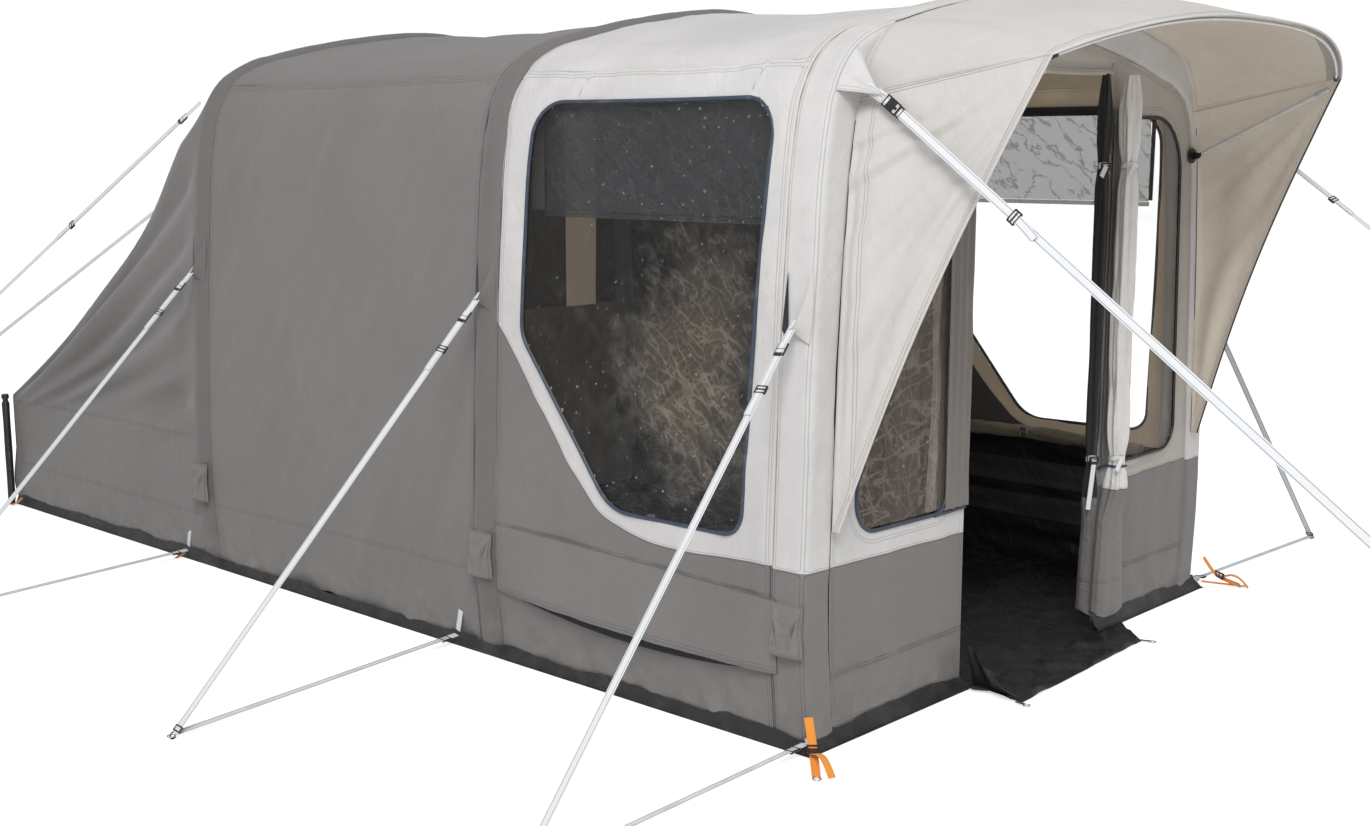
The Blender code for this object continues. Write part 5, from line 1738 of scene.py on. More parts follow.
@dataclass(frozen=True)
class ArchGuy:
    """Where one arch's guy leaves its sleeve, reaches its peg and comes back to the base."""

    word: str
    y: float
    peg: Pair
    low_y: float
    proud: float


ARCH_GUYS = (
    ArchGuy("front", FRONT_ARCH_Y, (2.200, -2.320), -2.300, 0.0),
    ArchGuy("middle", MIDDLE_ARCH_Y, (2.250, -0.945), -0.830, ROUND_PROUD),
    ArchGuy("rear", REAR_ARCH_Y, (2.250, 0.760), 0.860, ROUND_PROUD),
)


@dataclass
class Guys:
    """Every guy strap, taut to its peg, with its buckles, slider and ground fittings."""

    finishes: Finishes
    buckles: Buckles = field(default_factory=Buckles)
    top_z: float = 1.170
    rear_top_z: float = 1.790
    peg_z: float = 0.014
    stand_off: float = 0.004
    low_z: float = 0.030
    slider_place: float = 0.225
    storm_slider_place: float = 0.520
    rear_slider_place: float = 0.720
    buckle_place: float = 0.095
    overlap: float = 0.020
    double_gap: float = 0.0026
    tail_length: float = 0.075
    gusset_z: float = 1.300
    gusset_drop: float = 0.190
    slit_z: float = 1.295
    slit_drop: float = 0.165
    gusset_length: float = 0.185
    shoulder_length: float = 0.155
    gusset_cloth: float = 0.0011

    def strap(
        self, name: str, start: Array, end: Array, across: Array, node: str,
    ) -> None:
        """Args:
            name: the piece's name.
            start: where it leaves the tent.
            end: its far end.
            across: its width's direction.
            node: the solid that it stands for.
        """
        path = start + (end - start) * np.linspace(0, 1, 33)[:, None]
        skin = Skin()
        strap_into(skin, path, frame_of(start, end, across)[2])
        made = skin.piece(name, self.finishes.white, "white_webbing", node)

    def doubled(self, skin: Skin, start: Array, axes: Array, near: float, far: float) -> None:
        """Add the strap's second layer from buckle to slider, with a loose tail past it."""
        lift = axes[2] * self.double_gap
        run = [start + axes[0] * d + lift for d in np.linspace(near, far, 8)]
        for share in np.linspace(0.1, 1, 9):
            curl = axes[2] * (0.007 * share**1.6) + np.array((0, 0, -0.008 * share**2))
            run.append(start + axes[0] * (far + self.tail_length * share) + lift + curl)
        strap_into(skin, np.array(run), axes[2])

    def sew_gusset(
        self, panel: Panel, name: str, finish: bpy.types.Material, pale: bool, length: float
    ) -> None:
        """Finish a cloth triangle that carries a strap."""
        slot = "pale_polyester" if pale else "dark_polyester"
        size = (length, 1.7 * panel.area / length)
        panel.sew(name, (finish,), slot, size, "stretched", thickness=self.gusset_cloth)

    @staticmethod
    def apex(top: Array, axes: Array) -> Array:
        """Return the point of the cloth triangle that a strap leaves from."""
        return top + axes[0] * 0.030 + axes[2] * 0.002

    def gusset(self, name: str, side: Side, y: float, top: Array, axes: Array, pale: bool) -> None:
        """Add the cloth triangle that carries the strap off its sleeve."""
        sign = side.value
        foot = -0.047 if pale else -0.042
        rise = float(self.sleeve_rise(foot, pale)) + 0.0015
        apex = self.apex(top, axes)
        place, share = spread((0, 1, 15), (0, 1, 14))
        z = self.gusset_z - self.gusset_drop * place
        x = sign * (ARCH.half_width(z) + rise)
        base = stacked(x, y + foot - 0.006 * np.sin(np.pi * place), z)
        goal = apex + axes[1] * 0.020 * (0.5 - place)[..., None]
        places = base + (goal - base) * share[..., None]
        places[..., 0] += sign * 0.012 * np.sin(np.pi * share) * np.cos(3.2 * (place - 0.5))
        panel = Panel(places, stacked(place * self.gusset_length, share * 0.08))
        # Dark gussets take the sleeves' painted shade.
        finish = self.finishes.warm if pale else self.finishes.sleeve_dark
        self.sew_gusset(panel, name, finish, pale, self.gusset_length)

    def shoulder_gusset(self, name: str, side: Side, top: Array, axes: Array) -> None:
        """Add the cloth triangle that carries the storm guy off the front arch's shoulder."""
        station = np.linspace(ARCH.station_at(1.765), ARCH.station_at(1.885), 16)
        base = ARCH.places(station, FACE_Y + 0.003, 0.006) * (-side.value, 1, 1)
        fan = np.outer(np.linspace(-0.5, 0.5, 16), axes[1]) * -0.024
        goal = self.apex(top, axes) + fan
        share = np.linspace(0, 1, 18)[:, None, None]
        places = base[None] + (goal - base)[None] * share
        places[..., 2] += 0.008 * np.sin(np.pi * share[..., 0]) * np.sin(np.linspace(0, 3 * np.pi, 16))[None]
        flat = stacked(*spread((0, 0.15, 16), (0, 0.12, 18)))
        edge = np.minimum(flat[..., 0], 0.15 - flat[..., 0])
        panel = Panel(places, flat, {"seam": seam_field(edge - 0.008), "zone": edge * 0 + 1})
        self.sew_gusset(panel, name, self.finishes.pale, True, self.shoulder_length)

    def slit(self, name: str, side: Side, y: float, pale: bool) -> None:
        """Add a black panel in the sleeve behind an arch guy's gusset: painted shade in the opening of its
        slit.
        """
        across, share = spread((-1, 1, 7), (0, 1, 30))
        z = self.slit_z - self.slit_drop * share
        half = 0.0115 * share**0.9 * np.clip((1 - share) / 0.06, 0.05, 1)
        offset = (0.034 if pale else 0.030) + across * half
        x = ARCH.half_width(z) + self.sleeve_rise(offset, pale) + 0.0040
        panel = Panel(stacked(side.value * x, y + offset, z), stacked(offset, z))
        panel.sew(name, (self.finishes.mesh,), "mesh_cloth", (0.02, 0.17), "stretched", thickness=0.0009)

    @staticmethod
    def sleeve_rise(offset: Array | float, pale: bool) -> Array | float:
        """Return how far a sleeve stands out of the arch outline beside its middle."""
        if pale:
            return 0.0
        return np.sqrt(ROUND_RADIUS**2 - np.asarray(offset) ** 2) - ROUND_DEPTH

    @staticmethod
    def face_up(axes: Array) -> Array:
        """Turn a strap's frame over where its face looks down."""
        return axes * ((1,), (-1,), (-1,)) if axes[2][2] < 0 else axes

    def moulded(self, name: str, skin: Skin, *nodes: str, body: str = "tent") -> bpy.types.Object:
        """Dress a set of moulded fittings as one piece."""
        return skin.piece(name, self.finishes.plastic, "black_plastic", *nodes, body=body, sharp=HARD_EDGE)

    def woven(self, name: str, skin: Skin) -> bpy.types.Object:
        """Dress a set of webbing as one piece."""
        return skin.piece(name, self.finishes.white, "white_webbing", sharp=HARD_EDGE)

    def fittings(self, name: str, plastic: Skin, metal: Skin, webbing: Skin) -> list[bpy.types.Object]:
        """Dress a strap's buckles, its ring and its doubled webbing."""
        return [
            self.moulded(f"{name}_buckles", plastic),
            metal.piece(f"{name}_ring", self.finishes.steel, "grey_alloy", sharp=HARD_EDGE),
            self.woven(f"{name}_webbing", webbing),
        ]

    def ground_end(self, hook: Skin, metal: Skin, peg: Array, axes: Array, offset: Triple) -> None:
        """Add the peg hook at a strap's ground end, and its ring."""
        self.buckles.hook(hook, peg - axes[0] * 0.016, axes * ((-1,), (1,), (1,)))
        self.buckles.ring(metal, peg + offset, np.eye(3), 0.011, 0.0019)

    def slider(self, side: Side, word: str, place: Array, axes: Array) -> bpy.types.Object:
        """Build a slider, which runs along its strap on a body of its own where it has one."""
        glide = Skin()
        self.buckles.glide(glide, place, axes)
        label = f"{side.word}_{word}"
        if side is Side.RIGHT and word in ("middle", "rear"):
            return self.moulded(f"guy_{label}_glide", glide)
        return self.moulded(f"slider_{label}_glide", glide, f"slider_{label}", body=f"adjuster_{label}")

    def build_arch_guy(self, side: Side, guy: ArchGuy) -> None:
        """Build the two runs of one arch guy with their hardware."""
        sign, name, front = side.value, f"guy_{side.word}_{guy.word}", guy.word == "front"
        top_x = ARCH.half_width(self.top_z) + guy.proud + self.stand_off
        top = np.array((sign * top_x, guy.y, self.top_z))
        peg = np.array((sign * guy.peg[0], guy.peg[1], self.peg_z))
        low = np.array((sign * (ARCH.half_width(self.low_z) + self.stand_off), guy.low_y, self.low_z))
        across = np.cross(top - peg, low - peg)
        across /= np.linalg.norm(across)
        axes = self.face_up(frame_of(top, peg, across))
        plastic, webbing, metal, base, tail = Skin(), Skin(), Skin(), Skin(), Skin()
        self.buckles.ladder(plastic, top + axes[0] * self.buckle_place, axes)
        self.doubled(webbing, top, axes, self.buckle_place - self.overlap, self.slider_place)
        loop = [top + axes[0] * d - axes[2] * 0.0022 for d in np.linspace(0.0, self.buckle_place, 8)]
        strap_into(webbing, np.array(loop), axes[2], WEBBING_WIDTH * 0.9)
        base_axes = frame_of(low, peg, across)
        self.ground_end(base, metal, peg, axes, (sign * 0.010, 0, -0.004))
        self.buckles.ladder(base, low + base_axes[0] * 0.060, base_axes, 0.034)
        rise = np.array((0, -0.02, 0.012 if front else 0.085))
        tag = [low + np.array((sign * 0.002, 0, 0)) + rise * s for s in np.linspace(0, 1, 7)]
        strap_into(tail, np.array(tag), np.array((sign, 0.0, 0.25)), WEBBING_WIDTH, 0.0015)
        lower_pieces = [self.moulded(f"{name}_hook", base), self.woven(f"{name}_tag", tail)]
        pieces = self.fittings(name, plastic, metal, webbing)
        pieces.append(self.slider(side, guy.word, top + axes[0] * self.slider_place, axes))
        self.gusset(f"{name}_gusset", side, guy.y, top, axes, front)
        self.slit(f"{name}_slit", side, guy.y, front)
        self.strap(f"{name}_upper", top, peg, across, name)
        self.strap(f"{name}_lower", low, peg, across, name)

    def build_storm_guy(self, side: Side) -> None:
        """Build the storm guy at one front shoulder."""
        sign, name = side.value, f"storm_guy_{side.word}"
        top = np.array((sign * 0.985, FACE_Y - 0.075, 1.755))
        peg = np.array((sign * 1.020, FACE_Y - 2.450, self.peg_z))
        across = np.array((0.30, -0.57, 0.77) if side is Side.LEFT else (0.97, -0.12, 0.18))
        axes = frame_of(top, peg, across)
        plastic, webbing, metal = Skin(), Skin(), Skin()
        self.buckles.side_release(plastic, top + axes[0] * 0.0625, axes)
        self.ground_end(plastic, metal, peg, axes, (0, -0.010, -0.004))
        self.doubled(webbing, top, axes, self.buckle_place, self.storm_slider_place)
        shoulder = np.array((sign * 1.010, FACE_Y - 0.002, 1.800))
        loop = [shoulder + (top + axes[0] * 0.034 - shoulder) * s for s in np.linspace(0, 1, 8)]
        strap_into(webbing, np.array(loop), axes[2], WEBBING_WIDTH, 0.0022)
        self.shoulder_gusset(f"{name}_gusset", side, top, axes)
        pieces = self.fittings(name, plastic, metal, webbing)
        pieces.append(self.slider(side, "storm", top + axes[0] * self.storm_slider_place, axes))
        self.strap(f"{name}_strap", top, peg, across, name)

    def build_rear_guy(self, side: Side) -> None:
        """Build the pair of runs at one rear shoulder."""
        sign, name = side.value, f"rear_guy_{side.word}"
        shoulder = ARCH.half_width(self.rear_top_z) + ROUND_PROUD + self.stand_off
        top = np.array((sign * shoulder, REAR_ARCH_Y + 0.060, self.rear_top_z))
        peg = np.array((sign * 2.300, 2.420, self.peg_z))
        low = np.array((sign * 1.034329, 1.19, 1.366003))
        across = np.array((sign * 0.32, -0.79, -0.53))
        axes = self.face_up(frame_of(top, peg, across))
        plastic, webbing, metal, hook = Skin(), Skin(), Skin(), Skin()
        self.buckles.ladder(plastic, top + axes[0] * self.buckle_place, axes)
        self.buckles.glide(plastic, top + axes[0] * self.rear_slider_place, axes)
        self.ground_end(hook, metal, peg, axes, (sign * 0.008, 0.006, -0.004))
        self.doubled(webbing, top, axes, self.buckle_place - self.overlap, self.rear_slider_place)
        pieces = self.fittings(name, plastic, metal, webbing)
        hook_piece = self.moulded(f"{name}_hook", hook)
        self.strap(f"{name}_upper", top, peg, across, name)
        self.strap(f"{name}_lower", low, peg, across, name)

    def build(self) -> None:
        """Build all ten guys."""
        for side in Side:
            for guy in ARCH_GUYS:
                self.build_arch_guy(side, guy)
            self.build_storm_guy(side)
            self.build_rear_guy(side)


# Front walls, their windows and curtains


FRONT_WINDOW = (
    (0.500, 1.715, 0.050),
    (0.500, 0.560, 0.050),
    (0.940, 0.565, 0.090),
    (0.890, 1.720, 0.190),
)


@dataclass
class FrontWalls:
    """The upright front wall, its windows, curtains and header."""

    finishes: Finishes
    trims: Trims
    pitch: float = 0.012
    y: float = FACE_Y + 0.010
    inset: float = FRONT_SLEEVE_DEPTH + 0.002
    door_x: float = 0.40
    door_top: float = 1.848
    jamb_x: Pair = (0.4015, 0.516)
    jamb_z: Pair = (0.568, 1.735)
    jamb_piping: float = 0.0058
    hem_stitch_z: Pair = (0.181, 0.193)

    def outline(self, side: Side) -> Array:
        """Return the wall's outline as (x, z) pairs."""
        line = ARCH.line - ARCH.outward * self.inset
        line = line[line[:, 1] > HEM_Z]
        part = line[line[:, 0] < -self.door_x] * (-side.value, 1)
        return np.vstack([part, [(side.value * self.door_x, HEM_Z)]])

    def upright(self, x: Array, z: Array, out: Array, **looks: object) -> Panel:
        """Return a cloth that stands in the front wall's plane, moved forward by out."""
        return Panel(stacked(x, self.y - out, z), stacked(x, z), **looks)

    def build_header(self) -> None:
        """Build the header over the door, with a small sag along its hem."""
        x, share = spread((-self.door_x, self.door_x, 68), (0, 1, 24))
        line = ARCH.line - ARCH.outward * self.inset
        line = line[line[:, 1] > 1.8]
        top = np.interp(x, line[:, 0], line[:, 1])
        foot = self.door_top - 0.010 * np.sin(np.pi * (x + self.door_x) / (2 * self.door_x))
        z = foot + (top - foot) * share
        wave = 0.004 * Crumple(57).at(x, z, (0.12, 0.3)) * np.clip(1 - share, 0.15, 1)
        wave += 0.009 * np.sin(share * 9 + 3.0 * Crumple(58).at(x, z, (0.35, 0.3))) * np.clip(1 - share, 0, 1)
        fields = {"seam": seam_field(z - foot - 0.016), "zone": z * 0 + 1}
        panel = self.upright(x, z, 0.002 + wave, fields=fields)
        # The header's outside is painted in canopy shade.
        looks = (self.finishes.door_wall, self.finishes.lining)
        panel.sew("front_header_cloth", looks, "warm_polyester", (2 * self.door_x, 0.225), "gathered")

    def build_wall(self, side: Side) -> None:
        """Build one side of the front wall with its window hole."""
        sign, left = side.value, side is Side.LEFT
        outline = self.outline(side)
        hole = rounded([(sign * a, b, r) for a, b, r in FRONT_WINDOW])
        spots, away = snapped(grid_over(outline, self.pitch), hole, self.pitch)
        spots, edge = snapped(spots, outline, self.pitch)
        keep = (face_mean(away) > ON_EDGE) & (face_mean(edge) < -ON_EDGE)
        x, z = spots[..., 0], spots[..., 1]
        border_z = 0.487 + 0.02 * (np.abs(x) - 0.65) if left else 0.500 + 0.02 * (x - 0.62)
        seam = seam_field(z - 0.187, z - border_z, edge + 0.014, away - 0.030)
        crumple = Crumple(51 if left else 52)
        swell = 0.008 * crumple.at(x, z, (0.09, 0.6), 12) * np.clip(1.1 - z, 0.1, 1)
        swell += 0.003 * crumple.at(x, z, (0.05, 0.25), -18)
        swell += 0.0016 * crumple.at(x, z, (0.016, 0.2)) * np.exp(-np.abs(z - border_z) / 0.03)
        fields = {"seam": seam, "zone": z - border_z}
        panel = self.upright(x, z, 0.002 + swell * band(-edge, 0.05) * 0.7, fields=fields, keep=keep)
        name = f"front_wall_{side.word}"
        # The right side is painted in canopy shade; the left keeps the pale cloth.
        looks = (self.finishes.front_wall if left else self.finishes.door_wall, self.finishes.lining)
        size = outline.max(axis=0) - outline.min(axis=0)
        panel.sew(f"{name}_cloth", looks, "pale_polyester", size, "stretched", name)
        path = stacked(hole[:, 0], self.y - 0.004, hole[:, 1])
        # The right window's piping is drawn black, where the left window's is navy: painted shade under the
        # canopy.
        kind = TrimKind.NAVY_PIPING if left else TrimKind.BLACK_BINDING
        self.trims.add(kind, resampled(path, 0.012, True), True, WINDOW_PIPING)
        for height in self.hem_stitch_z:
            ends = np.array([(sign * end, self.y - 0.0042, height) for end in (0.41, 1.04)])
            self.trims.add(TrimKind.DARK_STITCH, resampled(ends, 0.05))
        self.build_film(side, hole)
        self.build_curtain(side)
        self.build_jamb(side)

    def build_jamb(self, side: Side) -> None:
        """Build the folded strip that hangs along the door's edge, and the piping under it."""
        sign = side.value
        x, z = spread((*self.jamb_x, 44), (*self.jamb_z, 120))
        crumple = Crumple(58)
        fold = 0.0035 * np.cos((x - self.jamb_x[0]) * 2 * np.pi / 0.036 + 0.5 * crumple.at(z, x, (0.3, 1.0)))
        fold += 0.0020 * crumple.at(x, z, (0.02, 0.12))
        out = 0.0135 + fold * np.clip((1.75 - z) / 0.1, 0.2, 1)
        panel = Panel(stacked(sign * x, self.y - out, z), stacked(x, z))
        panel.sew(f"door_jamb_{side.word}", (self.finishes.jamb,), "blind_cloth", (0.13, 1.17), "hung")
        ends = np.array([(sign * 0.402, self.y - 0.006, 0.560), (sign * 0.560, self.y - 0.006, 0.558)])
        self.trims.add(TrimKind.NAVY_PIPING, resampled(ends, 0.02), False, self.jamb_piping)

    def build_film(self, side: Side, hole: Array) -> None:
        """Build the clear film in one front window."""
        low, high = hole.min(axis=0), hole.max(axis=0)
        grid = spread((low[0], high[0], 56), (low[1], high[1], 110))
        spots, away = snapped(stacked(*grid), hole, 0.010)
        x, z = spots[..., 0], spots[..., 1]
        crumple = Crumple(61)
        wave = 0.004 * crumple.at(x, z, (0.06, 0.5), 8) + 0.002 * crumple.at(x, z, (0.03, 0.16), -12)
        panel = self.upright(x, z, wave * band(-away, 0.04) - 0.001, keep=face_mean(away) < -ON_EDGE)
        name, looks = f"front_window_{side.word}", (self.finishes.front_film,)
        panel.sew(f"{name}_film", looks, "clear_film", high - low, "stretched", name, thickness=FILM)

    def build_curtain(self, side: Side) -> None:
        """Build the gathered curtain that is tied back beside a front window."""
        share, z = spread((0, 1, 60), (0.56, 1.76, 90))
        waist = 0.55 + 0.45 * np.abs((z - 0.95) / 0.8) ** 1.2
        x = 0.445 + 0.130 * share * np.clip(waist, 0.4, 1.0)
        fold = 0.013 * np.sin(share * 2 * np.pi * 5.5 + 1.6 * z) * (0.5 + 0.5 * waist)
        places = stacked(side.value * x, self.y + 0.034 + fold, z)
        panel = Panel(places, stacked(share * 0.5, z))
        name, looks = f"front_curtain_{side.word}", (self.finishes.curtain,)
        panel.sew(name, looks, "warm_polyester", (0.30, 1.2), "gathered")

    def build(self) -> None:
        """Build both sides."""
        for side in Side:
            self.build_wall(side)
        self.build_header()


# Bedroom end


@dataclass
class Bedroom:
    """The sloping rear end: its roof with the low end wall, two sides and two poles."""

    finishes: Finishes
    start_y: float = REAR_ARCH_Y + ROUND_SEAT + 0.003
    shoulder: tuple[Pair, ...] = ((1.14, 1.410), (1.66, 1.018), (2.10, 0.680), (REAR_Y, 0.505))
    tuck: float = 0.012
    gap: float = 0.0002
    spread_y: float = 1.45
    corner_x: float = 1.152

    def scale(self, y: Array | float) -> Array:
        """Return the section's height as a share of the arch."""
        line = smooth_curve([(self.start_y, EAVE_Z), *self.shoulder], 400)
        return np.interp(y, line[:, 0], line[:, 1]) / EAVE_Z

    def drawn_out(self, x: Array | float, y: Array | float) -> Array:
        """Return the section's places, drawn out to the corner poles near the rear."""
        near = band(y - self.spread_y, REAR_Y - self.spread_y) ** 1.6
        share = band(np.abs(x) - 0.60, 0.42)
        return x + np.sign(x) * np.clip(self.corner_x - np.abs(x), 0, 1) * near * eased(share)

    def folds(self, y: Array, z: Array, seed: int) -> Array:
        """Return the long folds that sweep from the arch down to the rear corner."""
        crumple = Crumple(seed)
        dy, dz = 2.62 - y, z - 0.30
        angle, reach = np.arctan2(dz, dy), np.hypot(dy, dz)
        fold = 0.5 * np.sin(angle * 62 + 2.2 * crumple.at(angle, reach, (0.3, 1.2)))
        fold += crumple.at(angle, reach, (0.085, 1.6)) * 0.6 + crumple.at(angle, reach, (0.04, 0.7)) * 0.4
        rise = band(z - 0.42, 0.25) * band(y - self.start_y, 0.12)
        return 0.036 * fold * rise * np.clip((REAR_Y - y) / 0.3 + 0.3, 0, 1)

    def build_side(self, side: Side) -> None:
        """Build one tapering side."""
        stations = np.linspace(ARCH.station_at(HEM_Z), ARCH.station_at(EAVE_Z) - self.gap, 150)
        lengths = np.linspace(self.start_y - self.tuck, REAR_Y - 0.004, 125)
        station, y = np.meshgrid(stations, lengths, indexing="ij")
        x, high, _, _ = ARCH.at(station)
        full = self.scale(y) * EAVE_Z
        z = np.maximum(high * self.scale(y), HEM_Z)
        shoulder = full - z
        fields = {"seam": seam_field(z - 0.198, z - 0.51 + 0.02 * (y - 0.7), shoulder - 0.014)}
        seam = np.abs(fields["seam"] - 1.0)
        panel = Panel(stacked(self.drawn_out(x, y), y, z), stacked(y, z), fields)
        crumple = Crumple(71 + (side is Side.RIGHT))
        height = self.folds(y, z, 73 + (side is Side.RIGHT))
        height += 0.0016 * crumple.at(y, z, (0.018, 0.2)) * np.exp(-seam / 0.03)
        height += 0.004 * crumple.at(y, z, (0.14, 0.5)) * np.clip(1 - z / 0.2, 0, 1)
        sag = np.sin(np.pi * band(z, full))
        height -= 0.020 * band(y - self.start_y, 0.4) * sag * band(shoulder, 0.3)
        height *= band(shoulder, 0.03) * band(REAR_Y - y, 0.03)
        panel.push(height)
        hem = np.clip(1 - (z - HEM_Z) / 0.1, 0, 1) ** 2
        panel.places[..., 2] += hem * 0.008 * crumple.at(y, y * 0, (0.2, 1))
        panel.mirror(side)
        name, looks = f"bedroom_side_{side.word}", self.finishes.dark_sides
        size = (REAR_Y - self.start_y, EAVE_Z)
        panel.sew(f"{name}_cloth", looks, "dark_polyester", size, "stretched", name)

    def build_roof(self) -> None:
        """Build the roof, which turns down into the end wall."""
        top = ARCH.station_at(EAVE_Z) + self.gap
        stations = np.linspace(top, 1 - top, 200)
        lengths = np.linspace(self.start_y - self.tuck, REAR_Y, 125)
        station, y = np.meshgrid(stations, lengths, indexing="ij")
        x, high, _, _ = ARCH.at(station)
        slope = stacked(self.drawn_out(x, y), y, high * self.scale(y))
        steps = np.linspace(0, 1, 42)[1:]
        corner_x, _, corner_z = slope[0, -1]
        end_scale = self.scale(REAR_Y)
        end_rows = []
        for step in steps:
            edge_z = corner_z + (HEM_Z - corner_z) * step
            width = self.drawn_out(ARCH.half_width(min(edge_z / end_scale, EAVE_Z)), REAR_Y)
            place = slope[:, -1].copy()
            place[:, 0] = place[:, 0] / abs(corner_x) * width
            place[:, 2] = place[:, 2] + (HEM_Z - place[:, 2]) * step
            end_rows.append(place)
        places = np.concatenate([slope, np.array(end_rows).transpose(1, 0, 2)], axis=1)
        run = np.concatenate([lengths, REAR_Y + steps * 0.5])
        u, v = np.meshgrid(run, stations * ARCH.length)
        edge = np.minimum(v - v.min(), v.max() - v)
        seam = seam_field(edge - 0.014, u - REAR_Y, u - REAR_Y - 0.31)
        panel = Panel(places, stacked(u, v), {"seam": seam})
        crumple = Crumple(81)
        height = 0.010 * crumple.at(u, v, (0.9, 0.15), 0) + 0.004 * crumple.at(u, v, (0.3, 0.07), 25)
        height -= 0.022 * np.sin(np.pi * band(u - self.start_y, REAR_Y - self.start_y))
        height += 0.0016 * crumple.at(u, v, (0.2, 0.018)) * np.exp(-np.abs(u - REAR_Y) / 0.03)
        height *= band(edge, 0.03) * band(u - self.start_y, 0.04)
        height *= np.where(u > REAR_Y - 0.03, 0.35, 1.0)
        panel.push(height)
        panel.places[..., 1] = np.minimum(panel.places[..., 1], REAR_Y + 0.004)
        looks = self.finishes.dark_sides
        panel.sew("bedroom_roof_cloth", looks, "dark_polyester", (2.3, 2.6), "stretched", "bedroom_roof")

    def build_pole(self, side: Side) -> None:
        """Build one corner pole in its cloth pocket, with its cap and foot."""
        centre = np.array((side.value * 1.191, REAR_Y - 0.005, 0.0))
        skin = Skin()
        profile = (
            (0.0100, 0.000), (0.0140, 0.006), (0.0140, 0.018), (0.0150, 0.020), (0.0172, 0.030),
            (0.0165, 0.120), (0.0172, 0.250), (0.0163, 0.380), (0.0172, 0.470), (0.0150, 0.478),
            (0.0125, 0.480), (0.0125, 0.492), (0.0168, 0.494), (0.0168, 0.508), (0.0140, 0.514),
        )
        turn = turns(20)
        flat = 0.9 + 0.1 * np.cos(2 * turn)
        ring = stacked(np.cos(turn) * flat, np.sin(turn), 0.0)
        skin.tube(np.array([centre + ring * radius + (0, 0, z) for radius, z in profile]))
        name = f"corner_pole_{side.word}"
        skin.piece(f"{name}_pocket", self.finishes.sheet, "black_plastic", name, sharp=SOFT_EDGE)

    def build(self) -> None:
        """Build the bedroom end."""
        self.build_roof()
        for side in Side:
            self.build_side(side)
            self.build_pole(side)


# Side windows, blinds and mud flaps


